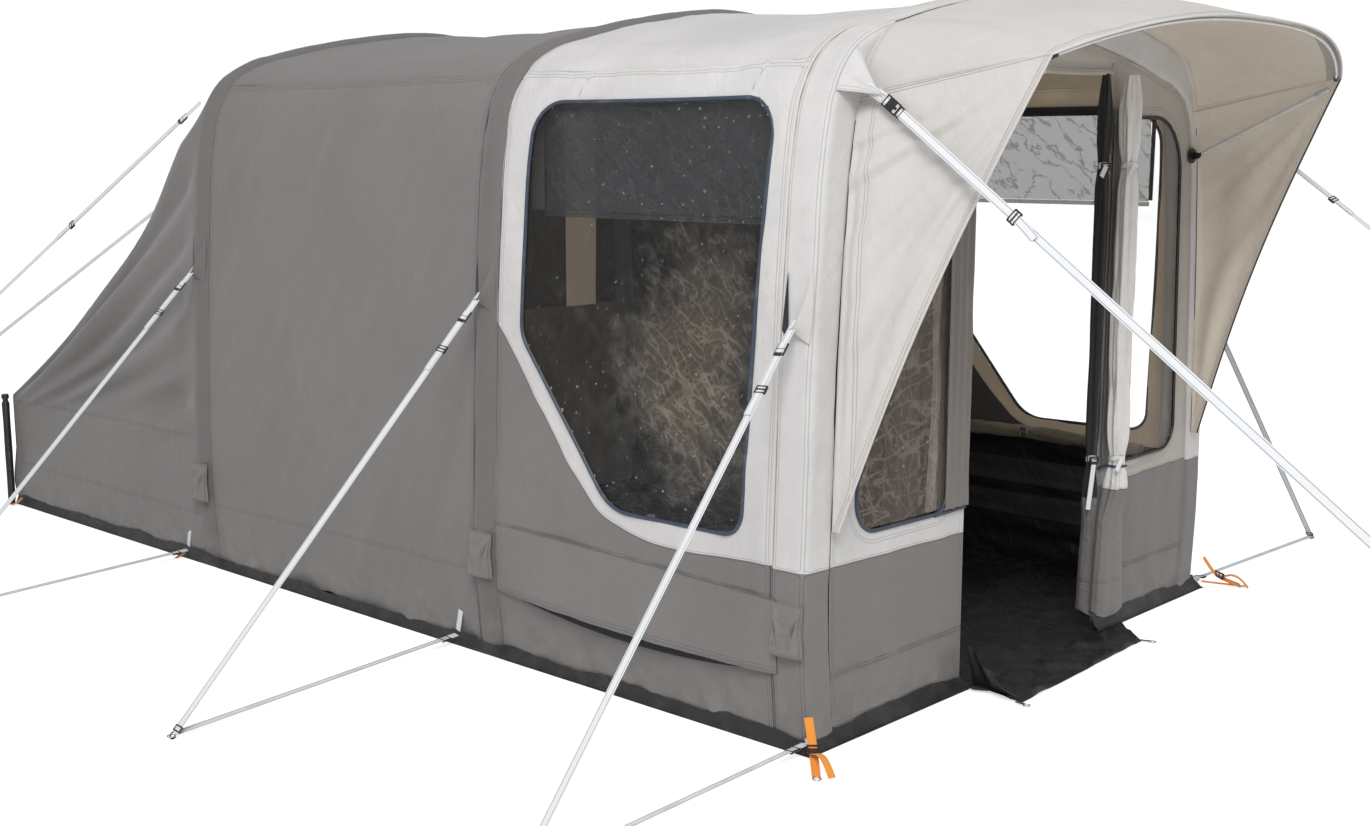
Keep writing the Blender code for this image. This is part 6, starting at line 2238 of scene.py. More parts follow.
@dataclass
class SideWindows:
    """The film, the piping and the blind of each side window, and the flap below it."""

    finishes: Finishes
    trims: Trims
    pitch: float = 0.011
    blind_x: float = 1.038
    blind_y: Pair = (-2.110, -1.165)
    blind_z: Pair = (1.4255, 1.735)
    tapes: tuple = (
        ((-2.122, 1.752), (-1.150, 1.752), 0.034),
        ((-2.120, 1.430), (-2.122, 1.745), 0.016),
        ((-1.126, 1.428), (-1.126, 1.745), 0.056),
    )
    flap_y: Pair = (-2.206, -1.057)
    flap_bow: float = 0.040

    def build_film(self, side: Side) -> None:
        """Build the creased film in one window, and the piping round it."""
        outline = rounded(SIDE_WINDOW)
        spots, away = snapped(grid_over(outline, self.pitch), outline, self.pitch)
        y, z = spots[..., 0], spots[..., 1]
        panel = Panel(wall_points(FRONT_BAY, y, z), spots, keep=face_mean(away) < -ON_EDGE)
        crumple = Crumple(91)
        height = 0.0030 * crumple.at(y, z, (0.22, 0.045), 38) + 0.0016 * crumple.at(y, z, (0.09, 0.03), -35)
        panel.push((height - 0.002) * band(-away, 0.04))
        panel.mirror(side)
        name = f"window_{side.word}"
        looks = (self.finishes.film if side is Side.LEFT else self.finishes.far_film,)
        size = outline.max(axis=0) - outline.min(axis=0)
        panel.sew(f"{name}_film", looks, "clear_film", size, "stretched", name, thickness=FILM)
        ring = resampled(outline, 0.012, True)
        path = wall_points(FRONT_BAY, ring[:, 0], ring[:, 1]) - (0.002, 0, 0)
        self.trims.add(TrimKind.NAVY_PIPING, path * (-side.value, 1, 1), True, WINDOW_PIPING)

    def build_blind(self, side: Side) -> None:
        """Build the half-raised blind and its tapes."""
        sign = side.value
        y, z = spread((*self.blind_y, 110), (*self.blind_z, 44))
        crumple = Crumple(92)
        wave = 0.006 * crumple.at(y, z, (0.30, 0.05), 38) + 0.004 * crumple.at(y, z, (0.16, 0.035), -28)
        wave += 0.003 * np.sin((y - self.blind_y[0]) * 21)
        edge = np.minimum(z - self.blind_z[0], self.blind_z[1] - z)
        wave *= np.clip(edge / 0.03, 0.15, 1)
        panel = Panel(stacked(wave - self.blind_x + 0.001, y, z), stacked(y, z))
        panel.mirror(side)
        name, bar = f"blind_{side.word}", f"bar_{side.word}"
        finish = self.finishes.near_blind if side is Side.LEFT else self.finishes.blind
        made = panel.solid(f"{name}_cloth", finish, finish, 0.0008)
        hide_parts(name)
        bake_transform(made)
        tape = Skin()
        tape_x = sign * (self.blind_x - 0.006)
        for start, end, width in self.tapes:
            path = resampled(np.array([(tape_x, *start), (tape_x, *end)]), 0.02)
            strap_into(tape, path, np.array((sign, 0.0, 0.0)), width)
        tape.piece(f"{name}_tapes", self.finishes.black_tape, "black_sheet")

    def build_flap(self, side: Side) -> None:
        """Build the loose flap that hangs over the mud wall, with its bowed hem, and the black sheet behind
        it that shows below the hem as a painted shadow.
        """
        share, drop = spread((0, 1, 110), (0, 1, 26))
        y = self.flap_y[0] + (self.flap_y[1] - self.flap_y[0]) * share
        top = 0.416 + 0.031 * share
        hem = 0.206 - 0.008 * np.sin(np.pi * share) + 0.022 * share
        z = top + (hem - top) * drop
        crumple = Crumple(93)
        bow = 0.0035 + self.flap_bow * drop**1.5 * np.sin(np.pi * share) ** 0.7
        bow += 0.004 * crumple.at(y, z, (0.09, 0.4)) * drop + 0.0012 * crumple.at(y, z, (0.02, 0.2))
        places = wall_points(FRONT_BAY, y, z)
        places[..., 0] -= bow
        fields = {"seam": seam_field(np.abs(top - z), z - hem - 0.014)}
        panel = Panel(places, stacked(y, z), fields)
        panel.mirror(side)
        looks = self.finishes.dark_sides
        panel.sew(f"mud_flap_{side.word}", looks, "dark_polyester", (1.15, 0.24), "hung")
        for row in (0, 24):
            self.trims.add(TrimKind.DARK_STITCH, panel.places[row] + (side.value * 0.0009, 0, -0.004))
        # Painted shadow: a black sheet behind the flap that hangs lower than its hem, deepest in the middle.
        z = (hem + 0.05) + (-0.05 - 0.036 * np.sin(np.pi * np.clip(share * 1.15 - 0.08, 0, 1)) ** 0.8) * drop
        lining = wall_points(FRONT_BAY, y, z)
        lining[..., 0] -= 0.0030 + 0.012 * drop * np.sin(np.pi * share) ** 0.7
        back = Panel(lining, stacked(y, z))
        back.mirror(side)
        back.sew(f"mud_flap_lining_{side.word}", (self.finishes.mesh,), "black_sheet", (1.15, 0.11), "hung")

    def build(self) -> None:
        """Build both windows."""
        for side in Side:
            self.build_film(side)
            self.build_blind(side)
            self.build_flap(side)


# Canopy, wings and struts


EYE_SECTION = (
    (0.0038, -0.0030), (0.0104, -0.0030), (0.0112, -0.0022), (0.0112, 0.0022), (0.0104, 0.0030),
    (0.0038, 0.0030),
)


@dataclass
class Canopy:
    """The canopy sheet, its wings, the pole in its rim and the struts."""

    finishes: Finishes
    trims: Trims
    half_width: float = 0.90
    reach: float = 0.675
    tip_reach: float = 0.530
    middle_z: float = 1.968
    tip_z: float = 1.840
    power: float = 2.6
    crown: float = 0.020
    side_z: float = 1.790
    gap: float = 0.003
    shoulder: float = 0.75
    wing_inset: float = 0.105
    wing_foot_z: float = 0.60
    wing_foot_reach: float = 0.025
    wing_hollow: float = 0.035
    rim_piping: float = 0.0034
    back_piping: float = 0.0016
    wing_piping: float = 0.0030
    boot: Triple = (0.965, FACE_Y - 0.022, 1.590)
    tip: Triple = (0.880, FACE_Y - 0.500, 1.803)

    def rim(self, x: Array) -> Array:
        """Return the front rim's places at distances from the middle."""
        share = np.abs(x / self.half_width) ** self.power
        y = FACE_Y - self.reach + (self.reach - self.tip_reach) * share
        return stacked(x, y, self.middle_z - (self.middle_z - self.tip_z) * share)

    def grid(self) -> Array:
        """Return the canopy cloth from the front arch to the rim."""
        start = ARCH.station_at(self.side_z)
        stations = np.linspace(start, 1 - start, 190)
        shares = (stations - 0.5) / (0.5 - start)
        inset = self.wing_inset * np.clip((np.abs(shares) - self.shoulder) / (1 - self.shoulder), 0, None)
        tucked = 0.0065 * (1 - band(inset, 0.02))
        back = ARCH.places(stations, FACE_Y - 0.0015 + tucked, inset + tucked)
        front = self.rim(self.half_width * np.sin(shares * np.pi / 2))
        step = np.linspace(0, 1, 60)[None, :, None]
        places = back[:, None] + (front - back)[:, None] * step
        arc = self.crown * np.sin(np.pi * step[0, :, 0])
        places[..., 2] += arc[None, :] * (1 - np.abs(shares) ** 4)[:, None]
        return places

    def build_sheet(self) -> Array:
        """Build the canopy sheet and return its left edge."""
        places = self.grid()
        edge = places[0].copy()
        run = np.linspace(0, 2.1, places.shape[0])[:, None] + np.zeros(places.shape[:2])
        out = np.linspace(0, 0.66, places.shape[1])[None, :] + np.zeros(places.shape[:2])
        side = np.minimum(run, run.max() - run)
        seam = seam_field(out - 0.645, out - 0.014, side - 0.012)
        panel = Panel(places, stacked(run, out), {"seam": seam, "zone": 0.600 - out})
        crumple = Crumple(101)
        height = 0.005 * crumple.at(run, out, (0.22, 0.5), 0) + 0.0025 * crumple.at(run, out, (0.07, 0.3), 12)
        height += 0.0018 * crumple.at(run, out, (0.018, 0.3)) * np.exp(-np.minimum(out, side) / 0.03)
        height *= band(np.minimum(side, out), 0.03) * np.clip((0.66 - out) / 0.02, 0.1, 1)
        panel.push(height)
        looks = self.finishes.warm_sides
        panel.sew("canopy_cloth", looks, "warm_polyester", (2.13, 0.76), "stretched", "canopy")
        rim, back = panel.places[:, -1], panel.places[26:-26, 0]
        self.trims.add(TrimKind.PALE_PIPING, rim + (0, 0.001, -0.003), False, self.rim_piping)
        self.trims.add(TrimKind.DARK_PIPING, back + (0, 0.001, 0.0015), False, self.back_piping)
        for column in (57, 1):
            self.trims.add(TrimKind.PALE_STITCH, panel.places[2:-2, column] + (0, 0, 0.0008))
        return edge

    def build_wing(self, side: Side, top_line: Array) -> None:
        """Build one wing, from the front arch to its slanted free edge."""
        left = side is Side.LEFT
        step = np.linspace(0, 1, 130)[:, None]
        share = np.linspace(0, 1, 64)[None, :]
        arch_top, rim_tip = top_line[0], top_line[-1]
        foot_x = -ARCH.half_width(self.wing_foot_z) + self.wing_inset
        foot = np.array((foot_x, FACE_Y - self.gap, self.wing_foot_z))
        tip = foot + (0, -self.wing_foot_reach, 0)
        z = arch_top[2] + (foot[2] - arch_top[2]) * step[:, 0]
        inner_x = -ARCH.half_width(z) + self.wing_inset
        inner = stacked(inner_x, FACE_Y - self.gap, z)
        ease = band(step, 0.04)
        inner = arch_top * (1 - ease) + inner * ease
        outer = rim_tip + (tip - rim_tip) * step
        outer[:, 1] += self.wing_hollow * np.sin(np.pi * step[:, 0])
        places = inner[:, None] + (outer - inner)[:, None] * share[:, :, None]
        places[..., 2] -= 0.0006 * np.clip(1 - step, 0, 1)
        wide = np.linalg.norm(outer - inner, axis=1)[:, None] * share
        down = arch_top[2] - places[..., 2]
        lines = [wide - wide[:, -1:] + 0.013]
        if left:
            lines.append(wide - 0.055)
        fields = {"seam": seam_field(*lines), "zone": wide * 0 + 1}
        panel = Panel(places, stacked(wide, down), fields)
        crumple = Crumple(102 if left else 103)
        dx, dz = 0.56 - wide, down + 0.10
        angle, reach = np.arctan2(dx, dz), np.hypot(dx, dz)
        size, depth = (0.075, 0.011) if left else (0.16, 0.020)
        fold = crumple.at(angle, reach, (size, 1.5)) + 0.35 * crumple.at(angle, reach, (size * 0.5, 0.8))
        height = depth * fold
        height += 0.010 * np.sin(3 * np.pi * share) * np.sin(np.pi * step)
        if left:
            height += 0.007 * np.cos(wide * 150) * np.exp(-wide / 0.035) * band(down, 0.3)
        height *= band(down, 0.08) * band(wide, 0.012)
        height *= np.clip((places[..., 2] - self.wing_foot_z) / 0.15 + 0.1, 0, 1)
        height *= np.clip((wide[:, -1:] - wide) / 0.06, 0.12, 1)
        panel.push(height)
        panel.mirror(side)
        name, looks = f"canopy_wing_{side.word}", self.finishes.warm_sides
        panel.sew(f"{name}_cloth", looks, "warm_polyester", (0.56, 1.3), "stretched", name)
        # The right wing's free edge is drawn dark, where the left wing's is pale: painted shade on the shaded
        # wing.
        edge_kind = TrimKind.PALE_PIPING if left else TrimKind.DARK_PIPING
        self.trims.add(edge_kind, panel.places[:, -1], False, self.wing_piping)
        back, top = panel.places[6:, 0] + (0, -0.0020, 0), panel.places[0] + (0, 0, 0.001)
        self.trims.add(TrimKind.DARK_PIPING, back, False, self.back_piping)
        self.trims.add(TrimKind.PALE_PIPING, top, False, self.wing_piping)
        self.trims.add(TrimKind.PALE_STITCH, panel.places[2:-2, -3] + (side.value * 0.0008, 0, 0))

    def build_pole(self) -> None:
        """Build the springy pole in the rim, with a moulded end at each side."""
        angle = np.linspace(-0.96, 0.96, 120) * np.pi / 2
        path = self.rim(self.half_width * 0.985 * np.sin(angle)) + (0, 0.018, -0.0125)
        skin, ends = Skin(), Skin()
        skin.rod(path, 0.005, 12)
        skin.piece("canopy_rim_pole_rod", self.finishes.alloy, "grey_alloy", "canopy_rim_pole")
        for part in (path[:6], path[-6:]):
            ends.rod(part, 0.0075, 12)
        ends.piece("rim_pole_ends", self.finishes.plastic, "black_plastic")

    def build_strut(self, side: Side) -> None:
        """Build one strut: its eye round the hinge pin, its neck, its tube and its end."""
        pivot, tip = (np.array(p) * (side.value, 1, 1) for p in (self.boot, self.tip))
        length = float(np.linalg.norm(tip - pivot))
        along = (tip - pivot) / length
        hinge = np.cross((0, 0, 1), along)
        hinge /= np.linalg.norm(hinge)
        up = np.cross(along, hinge)
        name, body = f"canopy_strut_{side.word}", f"strut_{side.word}"
        rays = [np.cos(a) * along + np.sin(a) * up for a in np.linspace(0, 2 * np.pi, 28, endpoint=False)]
        rings = [[pivot + ray * r + hinge * h for r, h in EYE_SECTION] for ray in rays]
        eye = Skin()
        eye.tube(np.array(rings), closed=True)
        eye.box(pivot + along * 0.0175, np.array((along, hinge, up)), (0.015, 0.0058, 0.0098), 0.0012)
        eye.piece(f"{name}_eye", self.finishes.plastic, "black_plastic", body=body, sharp=HARD_EDGE)
        around = turns(16)
        section = stacked(np.cos(around), np.sin(around))

        def turned(profile: Sequence[Pair]) -> Skin:
            """Return a round shape along the strut, from (place, radius) pairs."""
            places, sizes = np.array(profile).T
            shape = Skin()
            shape.tube(sweep_grid(pivot + along * places[:, None], up, section, sizes))
            return shape

        tube = turned((
            (0.0200, 0.0040), (0.0215, 0.0058), (0.0300, 0.0058), (0.0302, 0.0060), (0.0340, 0.0072),
            (0.0342, 0.0072), (length - 0.046, 0.0072), (length - 0.0458, 0.0074),
            (length - 0.0455, 0.0074), (length, 0.0050),
        ))
        tube.piece(f"{name}_tube", self.finishes.strut_tube, "grey_alloy", name, body=body, sharp=HARD_EDGE)
        end = turned((
            (length - 0.050, 0.0072), (length - 0.048, 0.0086), (length - 0.004, 0.0086), (length, 0.0060),
        ))
        end.piece(f"{name}_end", self.finishes.beam, "black_plastic", body=body, sharp=HARD_EDGE)

    def build(self) -> None:
        """Build the canopy."""
        edge = self.build_sheet()
        self.build_pole()
        for side in Side:
            self.build_wing(side, edge)
            self.build_strut(side)


# Rolled doors


@dataclass(frozen=True)
class RolledDoor:
    """One rolled door: where it hangs and how it gathers."""

    name: str
    node: str
    x: float
    y: float
    radius: float
    top: float
    foot: float
    folds: int
    flare: float
    border_z: float
    finish: bpy.types.Material
    slot: str
    seed: int
    loose_shift: float
    loose_spread: float


@dataclass
class DoorRolls:
    """The mesh door and the outer door, rolled and tied back beside the opening."""

    finishes: Finishes
    trims: Trims
    ties: Pair = (1.56, 0.60)
    piping: float = 0.0045
    webbing: float = 0.0014

    def girth(self, door: RolledDoor, z: Array) -> Array:
        """Return the roll's size at heights: pinched at the ties, loose at the foot."""
        near = np.maximum(*(np.exp(-(((z - tie) / 0.05) ** 2)) for tie in self.ties))
        tip = 1 - 0.45 * band(z - door.top + 0.12, 0.12) ** 1.5
        return door.radius * tip * (1 - 0.30 * near) * (1 + door.flare * np.clip(1 - z / 0.56, 0, 1) ** 0.8)

    def looseness(self, door: RolledDoor, z: Array) -> Array:
        """Return how loosely the roll hangs at heights, from 0 to 1."""
        return band(door.border_z + 0.02 - z, 0.14)

    def centre_of(self, door: RolledDoor, z: Array) -> tuple[Array, Array]:
        """Return the roll's middle x and its widening at heights: its lower part hangs loose."""
        loose = eased(self.looseness(door, z))
        return door.x + door.loose_shift * loose, 1 + (door.loose_spread - 1) * loose

    def build_roll(self, door: RolledDoor) -> None:
        """Build one roll with deep folds, and its two ties."""
        z = np.linspace(door.top, door.foot, 210)[:, None]
        turn = turns(72)[None, :]
        crumple = Crumple(door.seed)
        phase = 0.9 * crumple.at(z, z * 0, (0.30, 1)) + 1.5 * z
        fold = 0.15 * np.cos(door.folds * turn + phase) + 0.07 * np.cos((door.folds + 3) * turn - 2 * phase)
        fold += 0.05 * np.cos((2 * door.folds + 1) * turn + 3 * phase)
        fold += 0.05 * crumple.at(turn * 0.6, z, (0.35, 0.11), 0)
        middle, wide = self.centre_of(door, z)
        size = self.girth(door, z) * (1 + fold * (1 - 0.65 * self.looseness(door, z)))
        x = middle + size * wide * np.cos(turn)
        y = door.y + size * np.sin(turn) * 0.8 / np.maximum(wide, 1.0)
        foot_wave = 0.010 * np.cos(turn * 2 + 1) * np.clip(1 - (z - door.foot) / 0.1, 0, 1)
        places = stacked(x, y, z + foot_wave)
        skin = Skin()
        skin.tube(places)
        piece = skin.object(door.name, door.finish, SOFT_EDGE)
        if door.slot == "warm_polyester":
            row = places[int(np.argmin(np.abs(z[:, 0] - door.border_z - 0.075)))]
            collar = row + (row - row.mean(axis=0)) * 0.04
            self.trims.add(TrimKind.NAVY_PIPING, collar, True, self.piping)
        zone = np.broadcast_to(z - door.border_z, places.shape[:2])
        add_fields(piece.data, {"seam": seam_field(zone, z - door.foot - 0.11), "zone": zone})
        dress(piece, door.slot, door.node)
        for number, tie in enumerate(self.ties):
            self.build_tie(door, tie, number)

    def build_tie(self, door: RolledDoor, height: float, number: int) -> None:
        """Build the webbing tie round a roll, with its loose tail and the mesh door's buckle."""
        size = float(self.girth(door, np.array(height))) * 1.10
        turn = np.linspace(-0.3, 2 * np.pi - 0.32, 40)
        path = stacked(
            door.x + size * np.cos(turn), door.y + size * 0.84 * np.sin(turn),
            height + 0.003 * np.sin(2 * turn),
        )
        hub = np.array((door.x, door.y, height))
        outward = path - hub
        outward[:, 2] = 0
        outward /= np.linalg.norm(outward, axis=1)[:, None]
        webbing = Skin()
        strap_into(webbing, path, outward, 0.019, self.webbing)
        facing = np.array((-0.6, -0.78, 0.0))
        start = hub + facing * size
        mesh = door.slot == "mesh_cloth"
        length = 0.165 if mesh and number else 0.035
        tail = [start + (-0.004 - 0.030 * s, -0.006, -length * s) for s in np.linspace(0, 1, 10)]
        strap_into(webbing, np.array(tail), facing, 0.017, self.webbing)
        label = f"{door.name}_tie_{number}"
        webbing.piece(label, self.finishes.white, "white_webbing")
        if mesh:
            plastic = Skin()
            axes = frame_of(start, start - UP, np.array((0.78, -0.6, 0)))
            Buckles().ladder(plastic, start + (-0.003, -0.004, -0.002), axes, 0.022)
            plastic.piece(f"{label}_buckle", self.finishes.plastic, "black_plastic", sharp=HARD_EDGE)

    def build(self) -> None:
        """Build both rolls."""
        self.build_roll(RolledDoor(
            "mesh_door_bundle", "door_mesh_roll", 0.362, FACE_Y + 0.010, 0.024, 1.850, 0.075, 4, 1.1,
            0.47, self.finishes.mesh_door, "mesh_cloth", 111, 0.010, 0.72,
        ))
        self.build_roll(RolledDoor(
            "outer_door_bundle", "door_outer_roll", 0.428, FACE_Y - 0.048, 0.038, 1.846, 0.085, 5, 0.75,
            0.50, self.finishes.outer_door, "warm_polyester", 112, -0.030, 1.40,
        ))


# Floor, skirt, apron and ground straps


@dataclass
class Ground:
    """The groundsheet: floor, upturned skirt, apron at the door, and the peg straps."""

    finishes: Finishes
    half_width: float = 1.172
    floor_x: float = 1.150
    front_y: float = FRONT_Y
    rear_y: float = REAR_Y + 0.008
    skirt_z: float = 0.040
    apron_left: Pair = (-0.400, 0.185)
    apron_right: Pair = (0.440, 0.152)
    apron_end_x: float = 0.560
    strap_width: float = 0.024
    tab_width: float = 0.020
    webbing: float = 0.0018

    def build_floor(self) -> None:
        """Build the floor sheet with soft ripples."""
        wide = np.linspace(-self.floor_x, self.floor_x, 110)
        x, y = np.meshgrid(wide, np.linspace(self.front_y, self.rear_y - 0.01, 190))
        crumple = Crumple(121)
        edge = np.minimum(self.floor_x - np.abs(x), np.minimum(y - self.front_y, self.rear_y - y))
        z = 0.0035 + (0.004 + 0.004 * crumple.at(x, y, (0.25, 0.09), 30)) * band(edge, 0.05)
        z += 0.0015 * crumple.at(x, y, (0.07, 0.04), -20) * band(edge, 0.05)
        panel = Panel(stacked(x, y, z), stacked(x, y), outward=UP)
        looks = (self.finishes.sheet,)
        panel.sew("groundsheet_floor", looks, "black_sheet", (2.3, 4.67), "laid", "groundsheet")

    def wall_x(self, y: Array) -> Array:
        """Return how far out the walls and sleeves stand at the skirt's top."""
        x = np.full_like(y, 1.149)
        for centre in (MIDDLE_ARCH_Y, REAR_ARCH_Y):
            share = np.clip(1 - ((y - centre) / 0.070) ** 2, 0, None)
            x = np.maximum(x, 1.1505 + 0.0185 * np.sqrt(share))
        return x + 0.0030

    def skirt_lines(self) -> tuple[Array, Array]:
        """Return the skirt's top line and foot line, from the door's left round to its right."""
        wall_y = FACE_Y + 0.004
        side_y = np.linspace(self.front_y - 0.004, self.rear_y - 0.001, 420)
        left = [((x, wall_y, 0), (x, self.front_y, 0)) for x in np.linspace(-0.400, -1.149, 66)]
        for x, y in zip(self.wall_x(side_y), side_y):
            left.append(((-x, max(y, wall_y), 0), (-self.half_width, y, 0)))
        rear = [((x, REAR_Y + 0.0045, 0), (x, self.rear_y, 0)) for x in np.linspace(-1.145, 1.145, 200)]
        right = np.array(left[::-1]) * (-1, 1, 1)
        pairs = np.vstack([left, rear, right])
        return pairs[:, 0], pairs[:, 1]

    def build_skirt(self) -> None:
        """Build the upturned edge that runs round the foot of the walls."""
        tops, feet = self.skirt_lines()
        run = distance_along(feet)
        crumple = Crumple(122)
        share = np.linspace(0, 1, 8)[:, None]
        high = self.skirt_z + 0.010 * crumple.at(run, run * 0, (0.13, 1))
        high += 0.003 * crumple.at(run, run, (0.03, 1))
        places = feet[None] + (tops - feet)[None] * (share**0.8)[:, :, None]
        places[..., 2] = 0.0015 + high[None] * share**1.4
        bump = 0.0035 * crumple.at(run[None], share, (0.05, 0.7))
        places[..., 2] += np.clip(bump, 0, 1) * np.sin(np.pi * share)
        flat = stacked(run[None], share * 0.05)
        panel = Panel(places, flat, outward=UP)
        looks = (self.finishes.sheet,)
        panel.sew("groundsheet_skirt", looks, "black_sheet", (run[-1], 0.06), "stretched")

    def build_apron(self) -> None:
        """Build the loose apron in front of the door, with its turned-up edge and loops."""
        u, v = spread((0, 1, 90), (0, 1, 40))
        inner_x = self.apron_left[0] + (self.apron_end_x - self.apron_left[0]) * u
        outer_x = self.apron_left[0] + (self.apron_right[0] - self.apron_left[0]) * u
        reach = self.apron_left[1] + (self.apron_right[1] - self.apron_left[1]) * u
        reach = reach * band(1 - u, 0.05) ** 0.3
        x = inner_x + (outer_x - inner_x) * v
        y = self.front_y - reach * v
        crumple = Crumple(123)
        fold = crumple.at(x, y, (0.30, 0.055), -52) + 0.6 * crumple.at(x, y, (0.12, 0.04), 35)
        z = 0.011 * np.clip(fold + 0.35, 0, 2) * np.clip(v / 0.15, 0.15, 1)
        z = 0.004 + z * np.clip((1.02 - v) / 0.1, 0.2, 1)
        z += 0.016 * np.exp(-(((u - 0.10) / 0.04) ** 2)) * np.sin(np.pi * v)
        panel = Panel(stacked(x, y, z), stacked(x, y), outward=UP)
        panel.sew("door_apron", (self.finishes.sheet,), "black_sheet", (0.95, 0.30), "laid")
        self.build_apron_flap()
        self.build_loops()

    def build_apron_flap(self) -> None:
        """Build the apron's left edge, which stands up at the door and runs down to its loop."""
        v, w = spread((0, 1, 44), (0, 1, 18))
        foot = stacked(-0.396 - 0.016 * v, self.front_y + 0.004 - 0.176 * v, 0.008)
        rise = 0.135 * (1 - v) ** 0.8 + 0.006
        lean = 0.030 * np.sin(np.pi * v) + 0.012 * np.sin(v * 15 + 2 * w)
        places = foot + stacked(0.02 - w * lean - 0.030 * w, 0.006 * w * np.sin(v * 11), rise * w)
        panel = Panel(places, stacked(v * 0.21, w * 0.12))
        panel.sew("door_apron_flap", (self.finishes.sheet,), "black_sheet", (0.22, 0.13), "folded")

    def build_loops(self) -> None:
        """Build the two ring loops at the apron's corners, and the buckles at the door."""
        webbing, metal, plastic = Skin(), Skin(), Skin()
        buckles = Buckles()
        for x, reach, lean in ((-0.414, 0.170, -0.15), (0.395, 0.150, 0.35)):
            start = np.array((x, self.front_y - reach, 0.006))
            ahead = np.array((lean, -1.0, 0.0)) / math.hypot(lean, 1.0)
            path = start + ahead * np.linspace(0, 0.032, 8)[:, None]
            strap_into(webbing, path, np.array(UP), 0.014)
            buckles.ring(metal, start + ahead * 0.040 + (0, 0, -0.001), np.eye(3), 0.0095, 0.0019)
        for x, turn in ((-0.395, 0.3), (-0.360, -0.5)):
            axes = frame_of(np.zeros(3), np.array((turn, -1.0, 0.0)), np.array((1.0, turn, 0.0)))
            buckles.side_release(plastic, np.array((x, self.front_y - 0.030, 0.012)), axes)
        webbing.piece("apron_loops", self.finishes.black_tape, "black_sheet")
        metal.piece("apron_rings", self.finishes.steel, "grey_alloy")
        plastic.piece("apron_buckles", self.finishes.plastic, "black_plastic", sharp=HARD_EDGE)

    def build_corner_strap(self, side: Side) -> None:
        """Build the orange peg strap at one front corner."""
        sign = side.value
        webbing, plastic, metal = Skin(), Skin(), Skin()
        buckles = Buckles()
        corner = np.array((sign * 1.176, FRONT_Y + 0.004, 0.115))
        hip = np.array((sign * 1.205, FRONT_Y - 0.034, 0.052))
        peg = np.array((sign * 1.272, FRONT_Y - 0.100, 0.006))
        line = smooth_curve([corner, hip, peg], 24)
        facing = np.array((-0.45 if side is Side.LEFT else -0.15, -0.50, 0.80))
        strap_into(webbing, line, facing, self.strap_width, self.webbing)
        start = hip + (peg - hip) * 0.30 + (0, 0, 0.004)
        tail = [
            start + (sign * 0.030 * s, -0.085 * s, -0.034 * s + 0.022 * math.sin(math.pi * s))
            for s in np.linspace(0, 1, 14)
        ]
        strap_into(webbing, np.array(tail), np.array((0.0, -0.3, 1.0)), self.strap_width)
        axes = frame_of(hip, peg, np.cross(facing, peg - hip))
        buckles.ladder(plastic, hip + (peg - hip) * 0.12 + facing * 0.003, axes, 0.032)
        buckles.ring(metal, peg + (sign * 0.008, -0.008, -0.001), np.eye(3), 0.011, 0.0021)
        name = f"corner_strap_{side.word}"
        if side is Side.RIGHT:
            low = np.array([(1.150, FRONT_Y - 0.006, 0.030), peg])
            strap_into(webbing, resampled(low, 0.01), np.array((0.2, -0.3, 1.0)), self.tab_width)
        webbing.piece(name, self.finishes.orange, "white_webbing")
        plastic.piece(f"{name}_buckle", self.finishes.plastic, "black_plastic", sharp=HARD_EDGE)
        metal.piece(f"{name}_ring", self.finishes.steel, "grey_alloy")

    def build_tub(self) -> None:
        """Build the inner mud wall, which rises from the floor inside the outer walls."""
        spans = (("front", FRONT_BAY, 0.480), ("rear", REAR_BAY, 0.180))
        looks = (self.finishes.mud_lining,)
        for side in Side:
            for word, bay, top in spans:
                length = np.linspace(bay[0] + 0.002, bay[1] - 0.002, 100)
                y, z = np.meshgrid(length, np.linspace(0.004, top, 60))
                places = wall_points(bay, y, z)
                crumple = Crumple(124 + (word == "rear"))
                wave = 0.007 * crumple.at(y, z, (0.5, 0.05)) + 0.003 * crumple.at(y, z, (0.12, 0.03), 12)
                places[..., 0] += 0.026 + wave
                zone = np.where(np.abs(z - 0.215) < 0.045, -1.0, 1.0)
                zone = np.where(np.abs(z - 0.345) < 0.050, -1.0, zone)
                seam = seam_field(np.abs(np.abs(z - 0.28) - 0.065) - 0.0475)
                panel = Panel(places, stacked(y, z), {"zone": zone, "seam": seam})
                panel.mirror(side)
                name, size = f"inner_mud_wall_{side.word}_{word}", (bay[1] - bay[0], top)
                panel.sew(name, looks, "black_sheet", size, "hung")

    def build_tabs(self) -> None:
        """Build the small orange pegging tabs along the sides."""
        webbing = Skin()
        for sign in (side.value for side in Side):
            for y in (0.86, 2.30):
                start = np.array((sign * 1.160, y, 0.030))
                ends = (start + (sign * 0.022, 0, -0.016), start + (sign * 0.050, 0, -0.024))
                path = smooth_curve([start, *ends], 10)
                strap_into(webbing, path, np.array((sign * 0.4, 0, 1.0)), self.tab_width, self.webbing)
        webbing.piece("side_peg_tabs", self.finishes.orange, "white_webbing")

    def build(self) -> None:
        """Build the ground pieces."""
        self.build_tub()
        self.build_floor()
        self.build_skirt()
        self.build_apron()
        self.build_tabs()
        for side in Side:
            self.build_corner_strap(side)


# Valves


FLANGE_SECTION = (
    (0.0168, 0.0006), (0.0168, -0.0008), (0.0285, -0.0008), (0.0305, 0.0002), (0.0305, 0.0040),
    (0.0168, 0.0040),
)
VALVE_PLACES = (
    ("front", FRONT_ARCH_Y, 0.0), ("middle", MIDDLE_ARCH_Y, ROUND_PROUD), ("rear", REAR_ARCH_Y, ROUND_PROUD),
)


